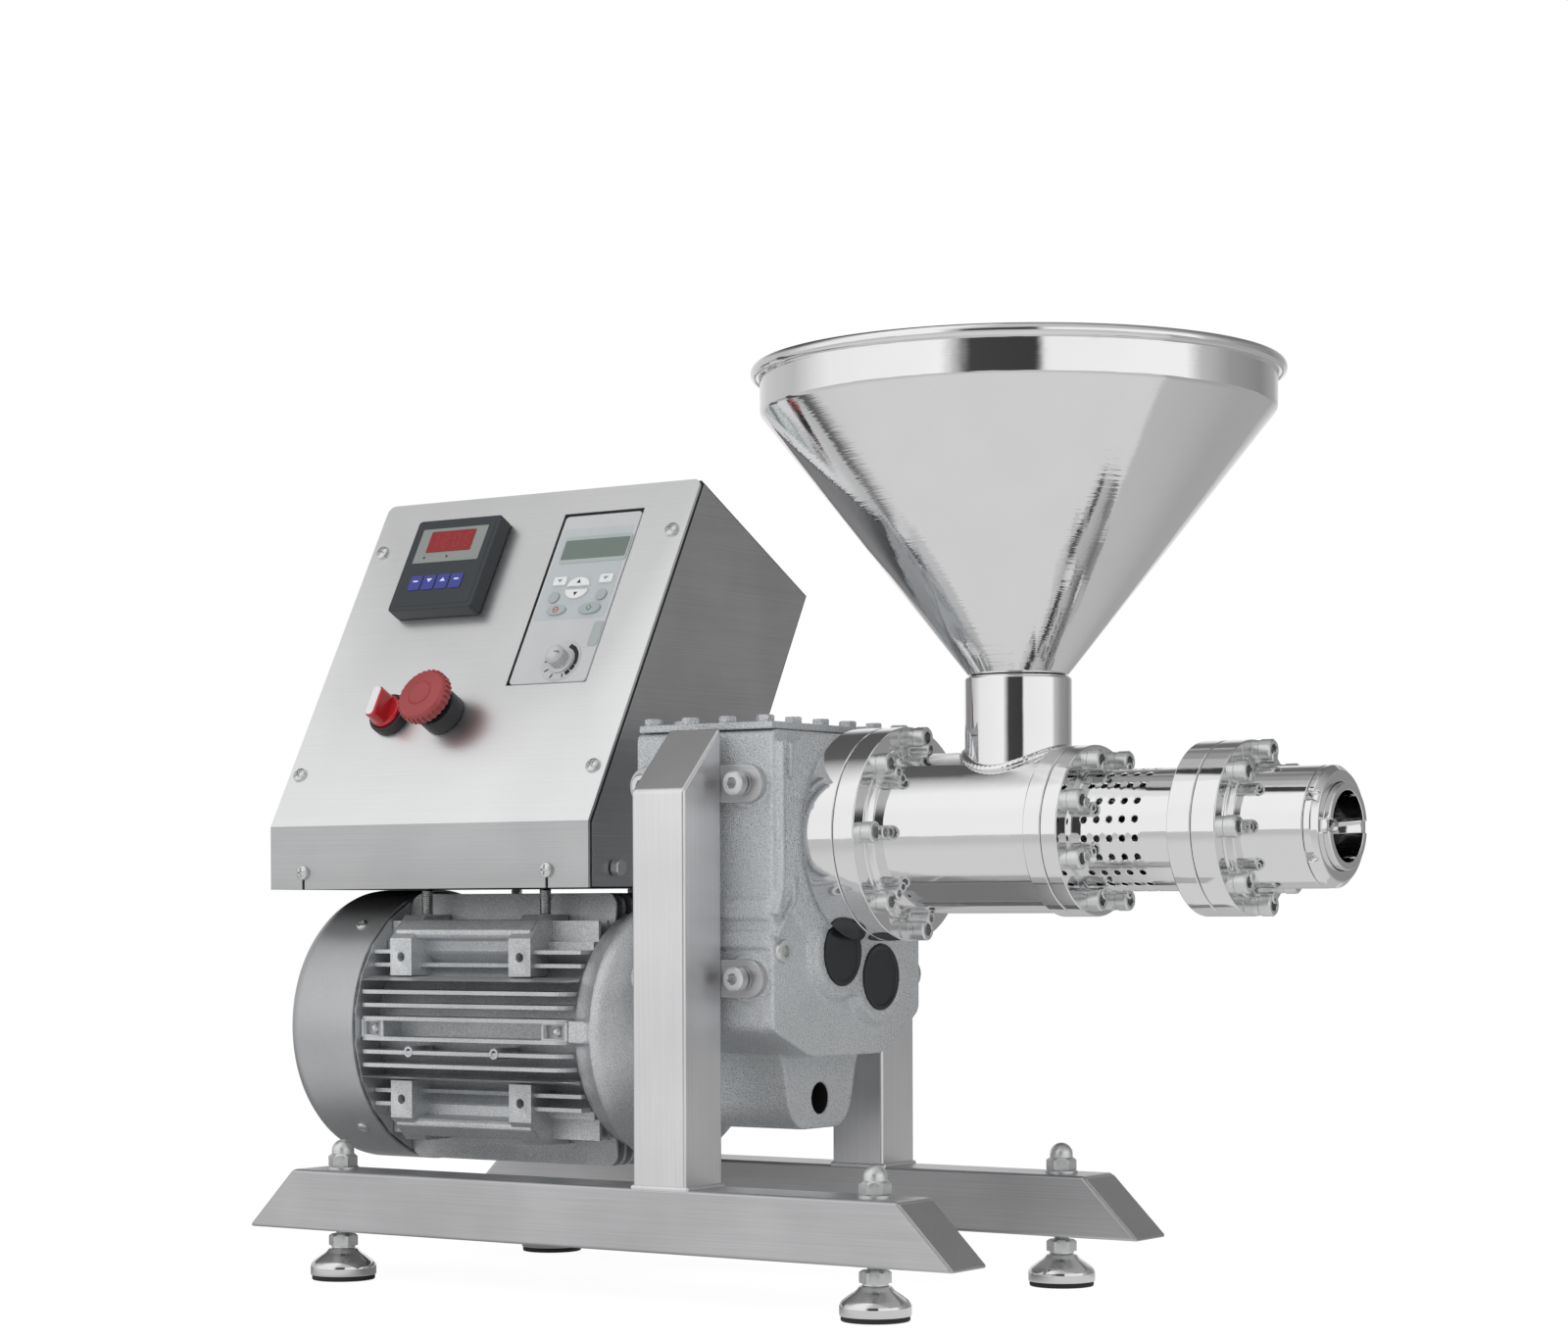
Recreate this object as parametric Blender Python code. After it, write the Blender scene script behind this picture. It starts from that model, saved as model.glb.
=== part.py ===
"""A screw oil press: a motor, a three-stage gearbox and a press barrel with a hopper, on a skid frame.

Metres, +Z up. The machine's own X starts at the posts' left face, Y at the barrel's middle plane and Z
at the floor. Its empty shifts it so that the whole press is centred over the origin.
"""

import math

import bmesh
import bpy
from mathutils import Matrix, Vector

# Clearances and cutters
FIT = 0.0003
RUNNING_GAP = 0.0001
SLACK = 0.0008
OVERRUN = 0.004
SINK = 0.0012

# Facets round a turned piece
FINE_SIDES = 24
ROUND_SIDES = 14
SMALL_SIDES = 8
SHARP_DEGREES = 32

# Frame of square tube
TUBE = 0.040
TUBE_WALL = 0.003
SKID_LENGTH = 0.5549
SKID_REACH = 0.3226
POST_HEIGHT = 0.2449
STRAP_LENGTH = 0.102
STRAP_HEIGHT = 0.024
STRAP_THICKNESS = 0.0058
STRAP_UPPER_Z = 0.323
STRAP_LOWER_Z = 0.2022

# Levelling feet
FOOT_INSET = 0.0668
FOOT_HEIGHT = 0.0334
FOOT_RADIUS = 0.0217
FOOT_PAD_HEIGHT = 0.005
FOOT_DOME_HEIGHT = 0.0158
FOOT_DOME_SHARES = ((1.0, 0.0), (1.0, 0.28), (0.93, 0.45), (0.72, 0.66), (0.52, 0.84), (0.44, 1.0))
HEX_FLATS = 0.017
STEM_RADIUS = 0.005
STEM_SOCKET = 0.007
STEM_ENTRY = 0.0125
NUT_HEX_HEIGHT = 0.009
NUT_DOME_RADIUS = 0.0074
NUT_DOME_HEIGHT = 0.0106
NUT_WALL = 0.003

# Gearbox housing
HOUSING_WIDTH = 0.1714
HOUSING_LEFT = -0.0306
HOUSING_LENGTH = 0.105
HOUSING_WALL = 0.007
COVER_THICKNESS = 0.0047
HOUSING_TOP = 0.3566
HOUSING_FRONT_BOTTOM = 0.170
HOUSING_REAR_BOTTOM = 0.178
HOUSING_FLOOR = 0.152
FLOOR_WIDTH = 0.084
LUG_BOTTOM = 0.104
LUG_THICKNESS = 0.060
LUG_SHARES = ((-1.0, 1.0), (-0.83, 0.22), (-0.57, 0.0), (0.57, 0.0), (0.83, 0.22), (1.0, 1.0))
LUG_HOLE_RADIUS = 0.008
LUG_HOLE_Z = 0.124
INPUT_BOSS_RADIUS = 0.058
INPUT_BOSS_LENGTH = 0.0224
OUTPUT_BOSS_RADIUS = 0.064
OUTPUT_BOSS_LENGTH = 0.0094
CAP_RADIUS = 0.021
CAP_THICKNESS = 0.006
CAP_PROUD = 0.0008
CAP_BOSS_WALL = 0.006
CAP_BOSS_LENGTH = 0.0056
INNER_BOSS_WALL = 0.006
INNER_BOSS_LENGTH = 0.0165

# Gear train: each shaft's place across and up, teeth, and face widths
MOTOR_Z = 0.1663
BARREL_Z = 0.2922
LAYSHAFT_1_Y = 0.0286
LAYSHAFT_1_Z = 0.2015
LAYSHAFT_2_Y = -0.0161
LAYSHAFT_2_Z = 0.2178
STAGE_1_TEETH = (11, 31)
STAGE_2_TEETH = (12, 36)
STAGE_3_TEETH = (12, 45)
STAGE_1_WIDTH = 0.014
STAGE_2_WIDTH = 0.018
STAGE_3_WIDTH = 0.026
GEAR_SPACE = 0.0045
ADDENDUM_SHARE = 0.8
DEDENDUM_SHARE = 1.15
TOOTH_TIP_SHARE = 0.12
TOOTH_ROOT_SHARE = 0.30
LAYSHAFT_RADIUS = 0.008
LAYSHAFT_ENTRY = 0.0035
MOTOR_SHAFT_RADIUS = 0.012
PINION_SEAT_RADIUS = 0.006
OUTPUT_SHAFT_RADIUS = 0.015
OUTPUT_SEAT_RADIUS = 0.0175
OUTPUT_COLLAR_RADIUS = 0.022
OUTPUT_COLLAR_LENGTH = 0.004
OUTPUT_BEARING_RADIUS = 0.031
OUTPUT_BEARING_WIDTH = 0.0155

# Press barrel, along X
FLANGE_RADIUS = 0.0673
ADAPTER_THICKNESS = 0.0217
ADAPTER_BORE_RADIUS = 0.034
SEAL_BORE_RADIUS = 0.018
SEAL_WALL_THICKNESS = 0.008
BARREL_FLANGE_THICKNESS = 0.0152
BARREL_RADIUS = 0.050
BARREL_LENGTH = 0.1230
BARREL_END_RADIUS = 0.0522
BARREL_END_LENGTH = 0.012
BARREL_BORE_RADIUS = 0.0313
NECK_RADIUS = 0.033
NECK_BORE_RADIUS = 0.029
NECK_TOP = 0.388
NECK_X = 0.1994
CAGE_FLANGE_RADIUS = 0.0522
CAGE_REAR_THICKNESS = 0.0109
CAGE_FRONT_THICKNESS = 0.0155
CAGE_RADIUS = 0.037
CAGE_LENGTH = 0.0735
CAGE_HOLE_RADIUS = 0.0021
CAGE_HOLE_PITCH = 0.0125
CAGE_ROWS = 20
CAGE_HOLES = 5
HEAD_FLANGE_THICKNESS = 0.0157
HEAD_RADIUS = 0.036
HEAD_LENGTH = 0.0475
HEAD_END_WALL = 0.012
NUT_RING_LENGTH = 0.0081
NUT_SLOT_WIDTH = 0.006
NUT_SLOT_DEPTH = 0.003
NUT_SLOTS = 6
SLEEVE_RADIUS = 0.0256
SLEEVE_BORE_RADIUS = 0.021
SLEEVE_PROUD = 0.0041
SLEEVE_LENGTH = 0.033
SLEEVE_NOTCH_WIDTH = 0.007
SLEEVE_NOTCH_DEPTH = 0.0025

# Press screw
SCREW_RADIUS = 0.030
SCREW_TENON_RADIUS = 0.010
SCREW_TENON_LENGTH = 0.020
SCREW_SHANK_RADIUS = 0.0145
SCREW_SHANK_LENGTH = 0.012
SCREW_TIP_RADIUS = 0.012
SCREW_TIP_LENGTH = 0.014
SCREW_END_GAP = 0.010
SCREW_CORE_SHARES = (0.42, 0.42, 0.46, 0.52, 0.62, 0.72, 0.80)
SCREW_PITCH_SHARES = (1.0, 1.0, 0.95, 0.85, 0.75, 0.68, 0.62)
SCREW_TURNS = 7
STEPS_PER_TURN = 10
RAMP_STEPS = 5
FLIGHT_WIDTH_SHARE = 0.17
CORE_CORNERS = 5

# Hopper
HOPPER_RADIUS = 0.1588
HOPPER_BEAD = 0.0057
HOPPER_BEAD_HEIGHT = 0.0075
HOPPER_BAND_HEIGHT = 0.0279
HOPPER_CONE_HEIGHT = 0.1617
HOPPER_FOOT_RADIUS = 0.0307
HOPPER_SPIGOT_LENGTH = 0.016
HOPPER_SHEET = 0.0015

# Motor
MOTOR_LEFT = -0.2625
MOTOR_LENGTH = 0.1762
MOTOR_BORE_RADIUS = 0.062
FIN_ROOT_RADIUS = 0.068
FIN_CORNER_RADIUS = 0.077
FIN_TIP_RADIUS = 0.090
RAIL_RADIUS = 0.082
FIN_THICKNESS = 0.0026
FIN_PITCH = 0.0089
FIN_CHANNEL = 0.0135
FINS_PER_HALF = 6
PAD_FACE = 0.0758
PAD_EDGE = 0.0353
PAD_CORNER = 0.0602
PAD_ROOT = 0.050
PAD_LENGTH = 0.0185
PAD_LEFT_X = -0.2357
PAD_RIGHT_X = -0.1339
CHANNEL_BOX_LENGTH = 0.020
CHANNEL_BOX_HEIGHT = 0.0125
CHANNEL_BOX_FACE = 0.086
SHIELD_RADIUS = 0.088
SHIELD_WALL = 0.006
SHIELD_OUTER_SHARES = ((0.0, 0.91), (0.36, 1.0), (0.46, 1.0), (0.66, 0.915), (0.86, 0.76), (1.0, 0.652))
SHIELD_INNER_SHARES = ((0.56, 0.84), (0.38, 0.92), (0.0, 0.83))
SHIELD_FLOOR_SHARE = 0.66
HUB_RADIUS = 0.033
MOTOR_BEARING_RADIUS = 0.026
MOTOR_BEARING_WIDTH = 0.015
REAR_SHIELD_THICKNESS = 0.0075
REAR_HUB_LENGTH = 0.019
COWL_RADIUS = 0.093
COWL_LENGTH = 0.0639
COWL_SHEET = 0.0015
COWL_LAP = 0.006
COWL_SLOTS = 12
COWL_SLOT_WIDTH = 0.007
COWL_SLOT_INNER = 0.030
COWL_SLOT_OUTER = 0.066
COWL_RIM_SHARES = ((0.0, 0.86), (0.10, 0.965), (0.22, 1.0))
FAN_RADIUS = 0.076
FAN_BLADES = 8
FAN_BLADE_WIDTH = 0.024
FAN_BLADE_THICKNESS = 0.003
FAN_HUB_RADIUS = 0.022
FAN_HUB_LENGTH = 0.026
FAN_DISC_THICKNESS = 0.003
FAN_GAP = 0.012
FAN_SEAT_RADIUS = 0.009
STATOR_LENGTH = 0.108
STATOR_BORE_RADIUS = 0.041
ROTOR_RADIUS = 0.040

# Control box: the sheet panel folds into a lip at its foot
BOX_LEFT = -0.3448
BOX_WIDTH = 0.2749
BOX_SHEET = 0.0018
BOX_BOTTOM = 0.2596
LIP_Y = -0.0848
LIP_HEIGHT = 0.0431
PANEL_LENGTH = 0.2637
PANEL_LEAN_DEGREES = 28.56
BOX_DEPTH = 0.145
PANEL_SHEET = 0.002
PANEL_CORNER_RADIUS = 0.006
ROD_RADIUS = 0.004
ROD_HALF_SPACING = 0.0482

# Panel pieces: across from the panel's left edge, up from its fold
CONTROLLER_ACROSS = 0.084
CONTROLLER_UP = 0.202
CONTROLLER_SIDE = 0.075
CONTROLLER_PROUD = 0.012
CONTROLLER_BODY_SIDE = 0.068
CONTROLLER_BODY_DEPTH = 0.075
CONTROLLER_CORNER_RADIUS = 0.003
CONTROLLER_RIM = 0.0045
CONTROLLER_RECESS = 0.0015
DRIVE_LEFT = 0.1695
DRIVE_RIGHT = 0.2343
DRIVE_BOTTOM = 0.106
DRIVE_TOP = 0.2406
DRIVE_PROUD = 0.0012
DRIVE_DEPTH = 0.095
DRIVE_FLANGE = 0.004
DRIVE_FLANGE_THICKNESS = 0.003
DRIVE_CORNER_RADIUS = 0.003
DISPLAY_ACROSS = 0.20525
DISPLAY_UP = 0.2118
DISPLAY_WIDTH = 0.0545
DISPLAY_HEIGHT = 0.0156
DISPLAY_RECESS = 0.001
KEY_POCKET_DEPTH = 0.003
KEY_PROUD = 0.0014
KEY_STOP_GAP = 0.0009
KEY_CORNER_RADIUS = 0.0012
UP_KEY = (0.2020, 0.1844)
DOWN_KEY = (0.2020, 0.1750)
LEFT_MENU_KEY = (0.1850, 0.1856)
RIGHT_MENU_KEY = (0.2241, 0.1856)
LEFT_ROUND_KEY = (0.1841, 0.1733)
RIGHT_ROUND_KEY = (0.2242, 0.1733)
STOP_KEY = (0.1899, 0.1629)
START_KEY = (0.2180, 0.1629)
ARROW_KEY_SIZE = (0.0100, 0.0066)
MENU_KEY_SIZE = (0.0095, 0.0055)
ROUND_KEY_SIZE = (0.0085, 0.0085)
WIDE_KEY_SIZE = (0.0160, 0.0062)
DRIVE_KNOB_PLACE = (0.209, 0.1222)
DRIVE_KNOB_RADIUS = 0.0115
DRIVE_KNOB_HEIGHT = 0.013
DRIVE_POST_RADIUS = 0.003
DRIVE_POST_HEIGHT = 0.008
ESTOP_PLACE = (0.122, 0.0845)
ESTOP_HEAD_RADIUS = 0.020
ESTOP_HEAD_FACE = 0.030
ESTOP_HEAD_SHARES = ((0.0, 0.50), (0.0, 0.92), (0.18, 1.0), (0.55, 1.0), (0.85, 0.90), (1.0, 0.62))
ESTOP_HEAD_THICKNESS = 0.011
ESTOP_STEM_RADIUS = 0.0075
ESTOP_STEM_DEPTH = 0.030
ESTOP_COLLAR_RADIUS = 0.0155
ESTOP_COLLAR_HEIGHT = 0.0125
ESTOP_THREAD_RADIUS = 0.0105
ESTOP_THREAD_DEPTH = 0.022
ESTOP_SPIGOT_RADIUS = 0.004
ESTOP_SPIGOT_LENGTH = 0.007
SELECTOR_PLACE = (0.075, 0.085)
SELECTOR_BEZEL_RADIUS = 0.015
SELECTOR_BEZEL_HEIGHT = 0.007
SELECTOR_KNOB_RADIUS = 0.0122
SELECTOR_KNOB_HEIGHT = 0.0095
SELECTOR_HANDLE_WIDTH = 0.0085
SELECTOR_FACE = 0.022
SELECTOR_THREAD_DEPTH = 0.022
SELECTOR_SHAFT_RADIUS = 0.006

# Values worked out from the sizes above
SKID_Y = HOUSING_WIDTH / 2 + FIT + STRAP_THICKNESS + TUBE / 2
SKID_LEFT = -SKID_REACH
SKID_RIGHT = SKID_LEFT + SKID_LENGTH
SKID_TOP = FOOT_HEIGHT + TUBE
FOOT_XS = {"left": SKID_LEFT + FOOT_INSET, "right": SKID_RIGHT - FOOT_INSET}
FOOT_YS = {"front": -SKID_Y, "rear": SKID_Y}
STRAP_X = TUBE / 2
HOUSING_RIGHT = HOUSING_LEFT + HOUSING_LENGTH
HOUSING_HALF = HOUSING_WIDTH / 2
INNER_LEFT = HOUSING_LEFT + HOUSING_WALL
INNER_RIGHT = HOUSING_RIGHT - HOUSING_WALL
CAP_FACE_X = HOUSING_RIGHT + CAP_BOSS_LENGTH
LAYSHAFTS = ((LAYSHAFT_1_Y, LAYSHAFT_1_Z), (LAYSHAFT_2_Y, LAYSHAFT_2_Z))
STAGE_1_X = INNER_LEFT + GEAR_SPACE
STAGE_2_X = STAGE_1_X + STAGE_1_WIDTH + GEAR_SPACE
STAGE_3_X = STAGE_2_X + STAGE_2_WIDTH + GEAR_SPACE
ADAPTER_X = HOUSING_RIGHT + OUTPUT_BOSS_LENGTH + FIT
BARREL_X = ADAPTER_X + ADAPTER_THICKNESS + FIT
TUBE_X = BARREL_X + BARREL_FLANGE_THICKNESS
CAGE_X = TUBE_X + BARREL_LENGTH + FIT
CAGE_TUBE_X = CAGE_X + CAGE_REAR_THICKNESS
CAGE_END_X = CAGE_TUBE_X + CAGE_LENGTH
HEAD_X = CAGE_END_X + CAGE_FRONT_THICKNESS + FIT
HEAD_TUBE_X = HEAD_X + HEAD_FLANGE_THICKNESS
HEAD_END_X = HEAD_TUBE_X + HEAD_LENGTH
NUT_RING_X = HEAD_END_X + FIT
NUT_RING_END_X = NUT_RING_X + NUT_RING_LENGTH
SLEEVE_END_X = NUT_RING_END_X + SLEEVE_PROUD
SLEEVE_X = SLEEVE_END_X - SLEEVE_LENGTH
MOTOR_RIGHT = MOTOR_LEFT + MOTOR_LENGTH
SHIELD_X = MOTOR_RIGHT + FIT
SHIELD_LENGTH = HOUSING_LEFT - FIT - SHIELD_X
SHIELD_FLOOR_X = HOUSING_LEFT - FIT - SHIELD_WALL - SHIELD_WALL
COWL_X = MOTOR_LEFT - COWL_LENGTH
COWL_SEAT_RADIUS = COWL_RADIUS - COWL_SHEET - FIT
REAR_SHIELD_X = MOTOR_LEFT - FIT - REAR_SHIELD_THICKNESS
LEAN = math.radians(PANEL_LEAN_DEGREES)
PANEL_UP = Vector((0, math.sin(LEAN), math.cos(LEAN)))
PANEL_OUT = Vector((0, -math.cos(LEAN), math.sin(LEAN)))
FOLD = Vector((0, LIP_Y, BOX_BOTTOM + LIP_HEIGHT))
BOX_REAR = FOLD + PANEL_UP * PANEL_LENGTH - PANEL_OUT * BOX_DEPTH
HOPPER_REACH = (HOPPER_RADIUS + HOPPER_BEAD) * math.cos(math.pi / FINE_SIDES)
MACHINE_CENTRE_X = (BOX_LEFT + SLEEVE_END_X) / 2
MACHINE_CENTRE_Y = (BOX_REAR.y - HOPPER_REACH) / 2


def material(name, colour, roughness, metallic):
    """A plain finish with the piece's colour."""
    made = bpy.data.materials.new(name)
    made.use_nodes = True
    shader = made.node_tree.nodes["Principled BSDF"]
    shader.inputs["Base Color"].default_value = (*colour, 1)
    shader.inputs["Roughness"].default_value = roughness
    shader.inputs["Metallic"].default_value = metallic
    made.diffuse_color = (*colour, 1)
    return made


FINISHES = {
    "steel": ((0.62, 0.62, 0.62), 0.35, 1.0),
    "polished": ((0.74, 0.74, 0.74), 0.10, 1.0),
    "brushed": ((0.58, 0.58, 0.57), 0.38, 1.0),
    "cast_paint": ((0.45, 0.46, 0.47), 0.45, 0.3),
    "cowl_paint": ((0.42, 0.43, 0.44), 0.40, 0.3),
    "black_plastic": ((0.02, 0.02, 0.02), 0.45, 0.0),
    "white_plastic": ((0.62, 0.63, 0.63), 0.45, 0.0),
    "red_plastic": ((0.55, 0.02, 0.02), 0.30, 0.0),
    "copper": ((0.60, 0.30, 0.15), 0.40, 1.0),
}


def clear_scene():
    for thing in list(bpy.data.objects):
        bpy.data.objects.remove(thing)


def object_of(name, bm):
    """An object from the mesh, with its faces outward."""
    bmesh.ops.recalc_face_normals(bm, faces=bm.faces)
    mesh = bpy.data.meshes.new(name)
    bm.to_mesh(mesh)
    bm.free()
    made = bpy.data.objects.new(name, mesh)
    bpy.context.scene.collection.objects.link(made)
    return made


def turn_to(axis, centre=(0, 0, 0)):
    """The matrix that lays a shape made along Z along the named axis, at a centre."""
    turns = {
        "X": Matrix(((0, 0, 1, 0), (1, 0, 0, 0), (0, 1, 0, 0), (0, 0, 0, 1))),
        "Y": Matrix(((1, 0, 0, 0), (0, 0, 1, 0), (0, 1, 0, 0), (0, 0, 0, 1))),
        "Z": Matrix.Identity(4),
    }
    return Matrix.Translation(centre) @ turns[axis]


def extruded(name, outline, start, end, axis="Z"):
    """A prism. Its outline is in (y, z), (x, z) or (x, y) for the axis X, Y or Z."""
    bm = bmesh.new()
    low = [bm.verts.new((a, b, start)) for a, b in outline]
    high = [bm.verts.new((a, b, end)) for a, b in outline]
    bm.faces.new(low)
    bm.faces.new(high)
    for i in range(len(outline)):
        j = (i + 1) % len(outline)
        bm.faces.new((low[i], low[j], high[j], high[i]))
    bm.transform(turn_to(axis))
    return object_of(name, bm)


def turned(name, profile, axis="Z", centre=(0, 0, 0), sides=ROUND_SIDES):
    """A turned solid. Its closed profile is a list of (radius, place along the axis)."""
    bm = bmesh.new()
    rings = []
    for radius, along in profile:
        count = sides if radius else 1
        turns = [2 * math.pi * (k + 0.5) / sides for k in range(count)]
        rings.append([bm.verts.new((radius * math.cos(t), radius * math.sin(t), along)) for t in turns])
    for i, one in enumerate(rings):
        two = rings[(i + 1) % len(rings)]
        if len(one) == 1 and len(two) == 1:
            continue
        for k in range(sides):
            corners = [one[k % len(one)], one[(k + 1) % len(one)], two[(k + 1) % len(two)], two[k % len(two)]]
            bm.faces.new(list(dict.fromkeys(corners)))
    bm.transform(turn_to(axis, centre))
    return object_of(name, bm)


def cylinder(name, radius, start, end, axis="Z", centre=(0, 0, 0), sides=ROUND_SIDES):
    return turned(name, [(0, start), (radius, start), (radius, end), (0, end)], axis, centre, sides)


def ring(name, outer, inner, start, end, axis="Z", centre=(0, 0, 0), sides=ROUND_SIDES):
    profile = [(outer, start), (outer, end), (inner, end), (inner, start)]
    return turned(name, profile, axis, centre, sides)


def box(name, low, high):
    outline = [(low[0], low[1]), (high[0], low[1]), (high[0], high[1]), (low[0], high[1])]
    return extruded(name, outline, low[2], high[2])


def combined(body, operation, tools, solver="EXACT"):
    """The body with each tool joined to it or cut out of it. The tools are removed."""
    for tool in tools:
        modifier = body.modifiers.new("Combine", "BOOLEAN")
        modifier.operation = operation
        modifier.solver = solver
        modifier.object = tool
        graph = bpy.context.evaluated_depsgraph_get()
        mesh = bpy.data.meshes.new_from_object(body.evaluated_get(graph))
        body.modifiers.clear()
        body.data = mesh
        bpy.data.objects.remove(tool)
    return body


def joined(body, *tools):
    return combined(body, "UNION", tools)


def cut(body, *tools):
    return combined(body, "DIFFERENCE", tools)


def cut_through_curve(body, *tools):
    """A cut where one round wall crosses another, which the exact solver leaves open."""
    return combined(body, "DIFFERENCE", tools, "MANIFOLD")


def gathered(name, pieces):
    """One mesh of several shapes that don't touch, for a single cut."""
    bm = bmesh.new()
    for piece in pieces:
        bm.from_mesh(piece.data)
        bpy.data.objects.remove(piece)
    return object_of(name, bm)


def moved(piece, matrix):
    piece.data.transform(matrix)
    return piece


def finished(piece, finish, parent, origin=(0, 0, 0)):
    """Gives a piece its finish, its origin and the empty that carries it."""
    piece.data.transform(Matrix.Translation(-Vector(origin)))
    piece.location = origin
    piece.parent = parent
    piece.data.materials.clear()
    piece.data.materials.append(material(piece.name + "_finish", *FINISHES[finish]))
    piece.data.shade_smooth()
    piece.data.set_sharp_from_angle(angle=math.radians(SHARP_DEGREES))
    return piece


def arc(radius, start_degrees, end_degrees, steps, centre=(0, 0)):
    """Points along an arc, both ends included."""
    sweep = end_degrees - start_degrees
    turns = [math.radians(start_degrees + sweep * k / steps) for k in range(steps + 1)]
    return [(centre[0] + radius * math.cos(t), centre[1] + radius * math.sin(t)) for t in turns]


def rounded_box(left, right, bottom, top, radius, steps=3):
    """The outline of a rectangle with round corners."""
    corners = (
        (right - radius, top - radius),
        (left + radius, top - radius),
        (left + radius, bottom + radius),
        (right - radius, bottom + radius),
    )
    points = []
    for k, corner in enumerate(corners):
        points += arc(radius, 90 * k, 90 * k + 90, steps, corner)
    return points


def slot_outline(length, height, steps=3):
    """The outline of a strap with round ends, about its middle."""
    radius = height / 2
    reach = length / 2 - radius
    return arc(radius, -90, 90, steps, (reach, 0)) + arc(radius, 90, 270, steps, (-reach, 0))


def hexagon(flats):
    radius = flats / 2 / math.cos(math.pi / 6)
    return [(radius * math.cos(k * math.pi / 3), radius * math.sin(k * math.pi / 3)) for k in range(6)]


def shifted(outline, along, up):
    return [(a + along, b + up) for a, b in outline]


def tube_side(left, right, bottom, top, inset=0):
    """The side of a skid: a bar whose two ends rise at 45 degrees."""
    lean = inset * math.sqrt(2)
    low = bottom + inset
    high = top - inset
    return [
        (left + inset + lean, low),
        (right - inset - lean, low),
        (right - (high - bottom) - lean, high),
        (left + (high - bottom) + lean, high),
    ]


def skid(name, y):
    """A closed tube with slanted ends, the bores of its two feet and the cap nuts above them."""
    span = SKID_LEFT, SKID_RIGHT, FOOT_HEIGHT, SKID_TOP
    bar = extruded(name, tube_side(*span), y - TUBE / 2, y + TUBE / 2, "Y")
    inner = y - TUBE / 2 + TUBE_WALL, y + TUBE / 2 - TUBE_WALL
    cut(bar, extruded("hollow", tube_side(*span, TUBE_WALL), *inner, "Y"))
    nut_top = SKID_TOP + NUT_HEX_HEIGHT + NUT_DOME_HEIGHT
    for x in FOOT_XS.values():
        flats = shifted(hexagon(HEX_FLATS), x, y)
        hex_part = extruded("hex", flats, SKID_TOP - SINK, SKID_TOP + NUT_HEX_HEIGHT)
        dome = [(0, SKID_TOP), (NUT_DOME_RADIUS, SKID_TOP)]
        base = SKID_TOP + NUT_HEX_HEIGHT + NUT_DOME_HEIGHT - NUT_DOME_RADIUS
        dome += arc(NUT_DOME_RADIUS, 0, 90, 3, (0, base))
        dome[-1] = (0, nut_top)
        joined(bar, hex_part, turned("dome", dome, centre=(x, y, 0), sides=SMALL_SIDES))
        bore = cylinder(
            "bore",
            STEM_RADIUS + FIT,
            FOOT_HEIGHT - OVERRUN,
            nut_top - NUT_WALL,
            centre=(x, y, 0),
            sides=SMALL_SIDES,
        )
        cut(bar, bore)
    return bar


def post(name, side):
    """A tube with a slanted cap, open to the skid below, and the two straps on its inner face."""
    outer = side * (SKID_Y + TUBE / 2)
    inner = side * (SKID_Y - TUBE / 2)
    foot = SKID_TOP + FIT
    low = SKID_TOP + POST_HEIGHT
    high = low + TUBE
    bar = extruded(name, [(outer, foot), (inner, foot), (inner, high), (outer, low)], 0, TUBE, "X")
    wall = side * TUBE_WALL
    lean = TUBE_WALL * math.sqrt(2)
    hollow = [
        (outer - wall, foot - OVERRUN),
        (inner + wall, foot - OVERRUN),
        (inner + wall, high - TUBE_WALL - lean),
        (outer - wall, low + TUBE_WALL - lean),
    ]
    cut(bar, extruded("hollow", hollow, TUBE_WALL, TUBE - TUBE_WALL, "X"))
    for z in (STRAP_UPPER_Z, STRAP_LOWER_Z):
        outline = shifted(slot_outline(STRAP_LENGTH, STRAP_HEIGHT), STRAP_X, z)
        faces = inner + side * SINK, inner - side * STRAP_THICKNESS
        joined(bar, extruded("strap", outline, *faces, "Y"))
    return bar


def foot_base(name):
    """A domed foot on its flat pad, with the socket of the stem."""
    top = FOOT_PAD_HEIGHT + FOOT_DOME_HEIGHT
    socket = STEM_RADIUS + FIT
    profile = [(0, 0), (FOOT_RADIUS, 0)]
    profile += [(FOOT_RADIUS * r, FOOT_PAD_HEIGHT + FOOT_DOME_HEIGHT * h) for r, h in FOOT_DOME_SHARES]
    profile += [(socket, top), (socket, top - STEM_SOCKET), (0, top - STEM_SOCKET)]
    return turned(name, profile)


def foot_stem(name):
    """The threaded stem of a foot, with the hexagon that turns it."""
    hex_bottom = FOOT_PAD_HEIGHT + FOOT_DOME_HEIGHT + FIT
    low = FOOT_PAD_HEIGHT + FOOT_DOME_HEIGHT - STEM_SOCKET + FIT
    stem = cylinder(name, STEM_RADIUS, low, SKID_TOP + STEM_ENTRY, sides=SMALL_SIDES)
    return joined(stem, extruded("hex", hexagon(HEX_FLATS), hex_bottom, FOOT_HEIGHT - FIT))


def build_frame(machine):
    finished(skid("skid_front", -SKID_Y), "brushed", machine)
    finished(skid("skid_rear", SKID_Y), "brushed", machine)
    finished(post("post_front", -1), "brushed", machine)
    finished(post("post_rear", 1), "brushed", machine)
    for depth, y in FOOT_YS.items():
        for side, x in FOOT_XS.items():
            for part, finish in ((foot_base, "polished"), (foot_stem, "steel")):
                piece = part(f"{part.__name__}_{depth}_{side}")
                finished(piece, finish, machine)
                piece.location = (x, y, 0)


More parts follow.
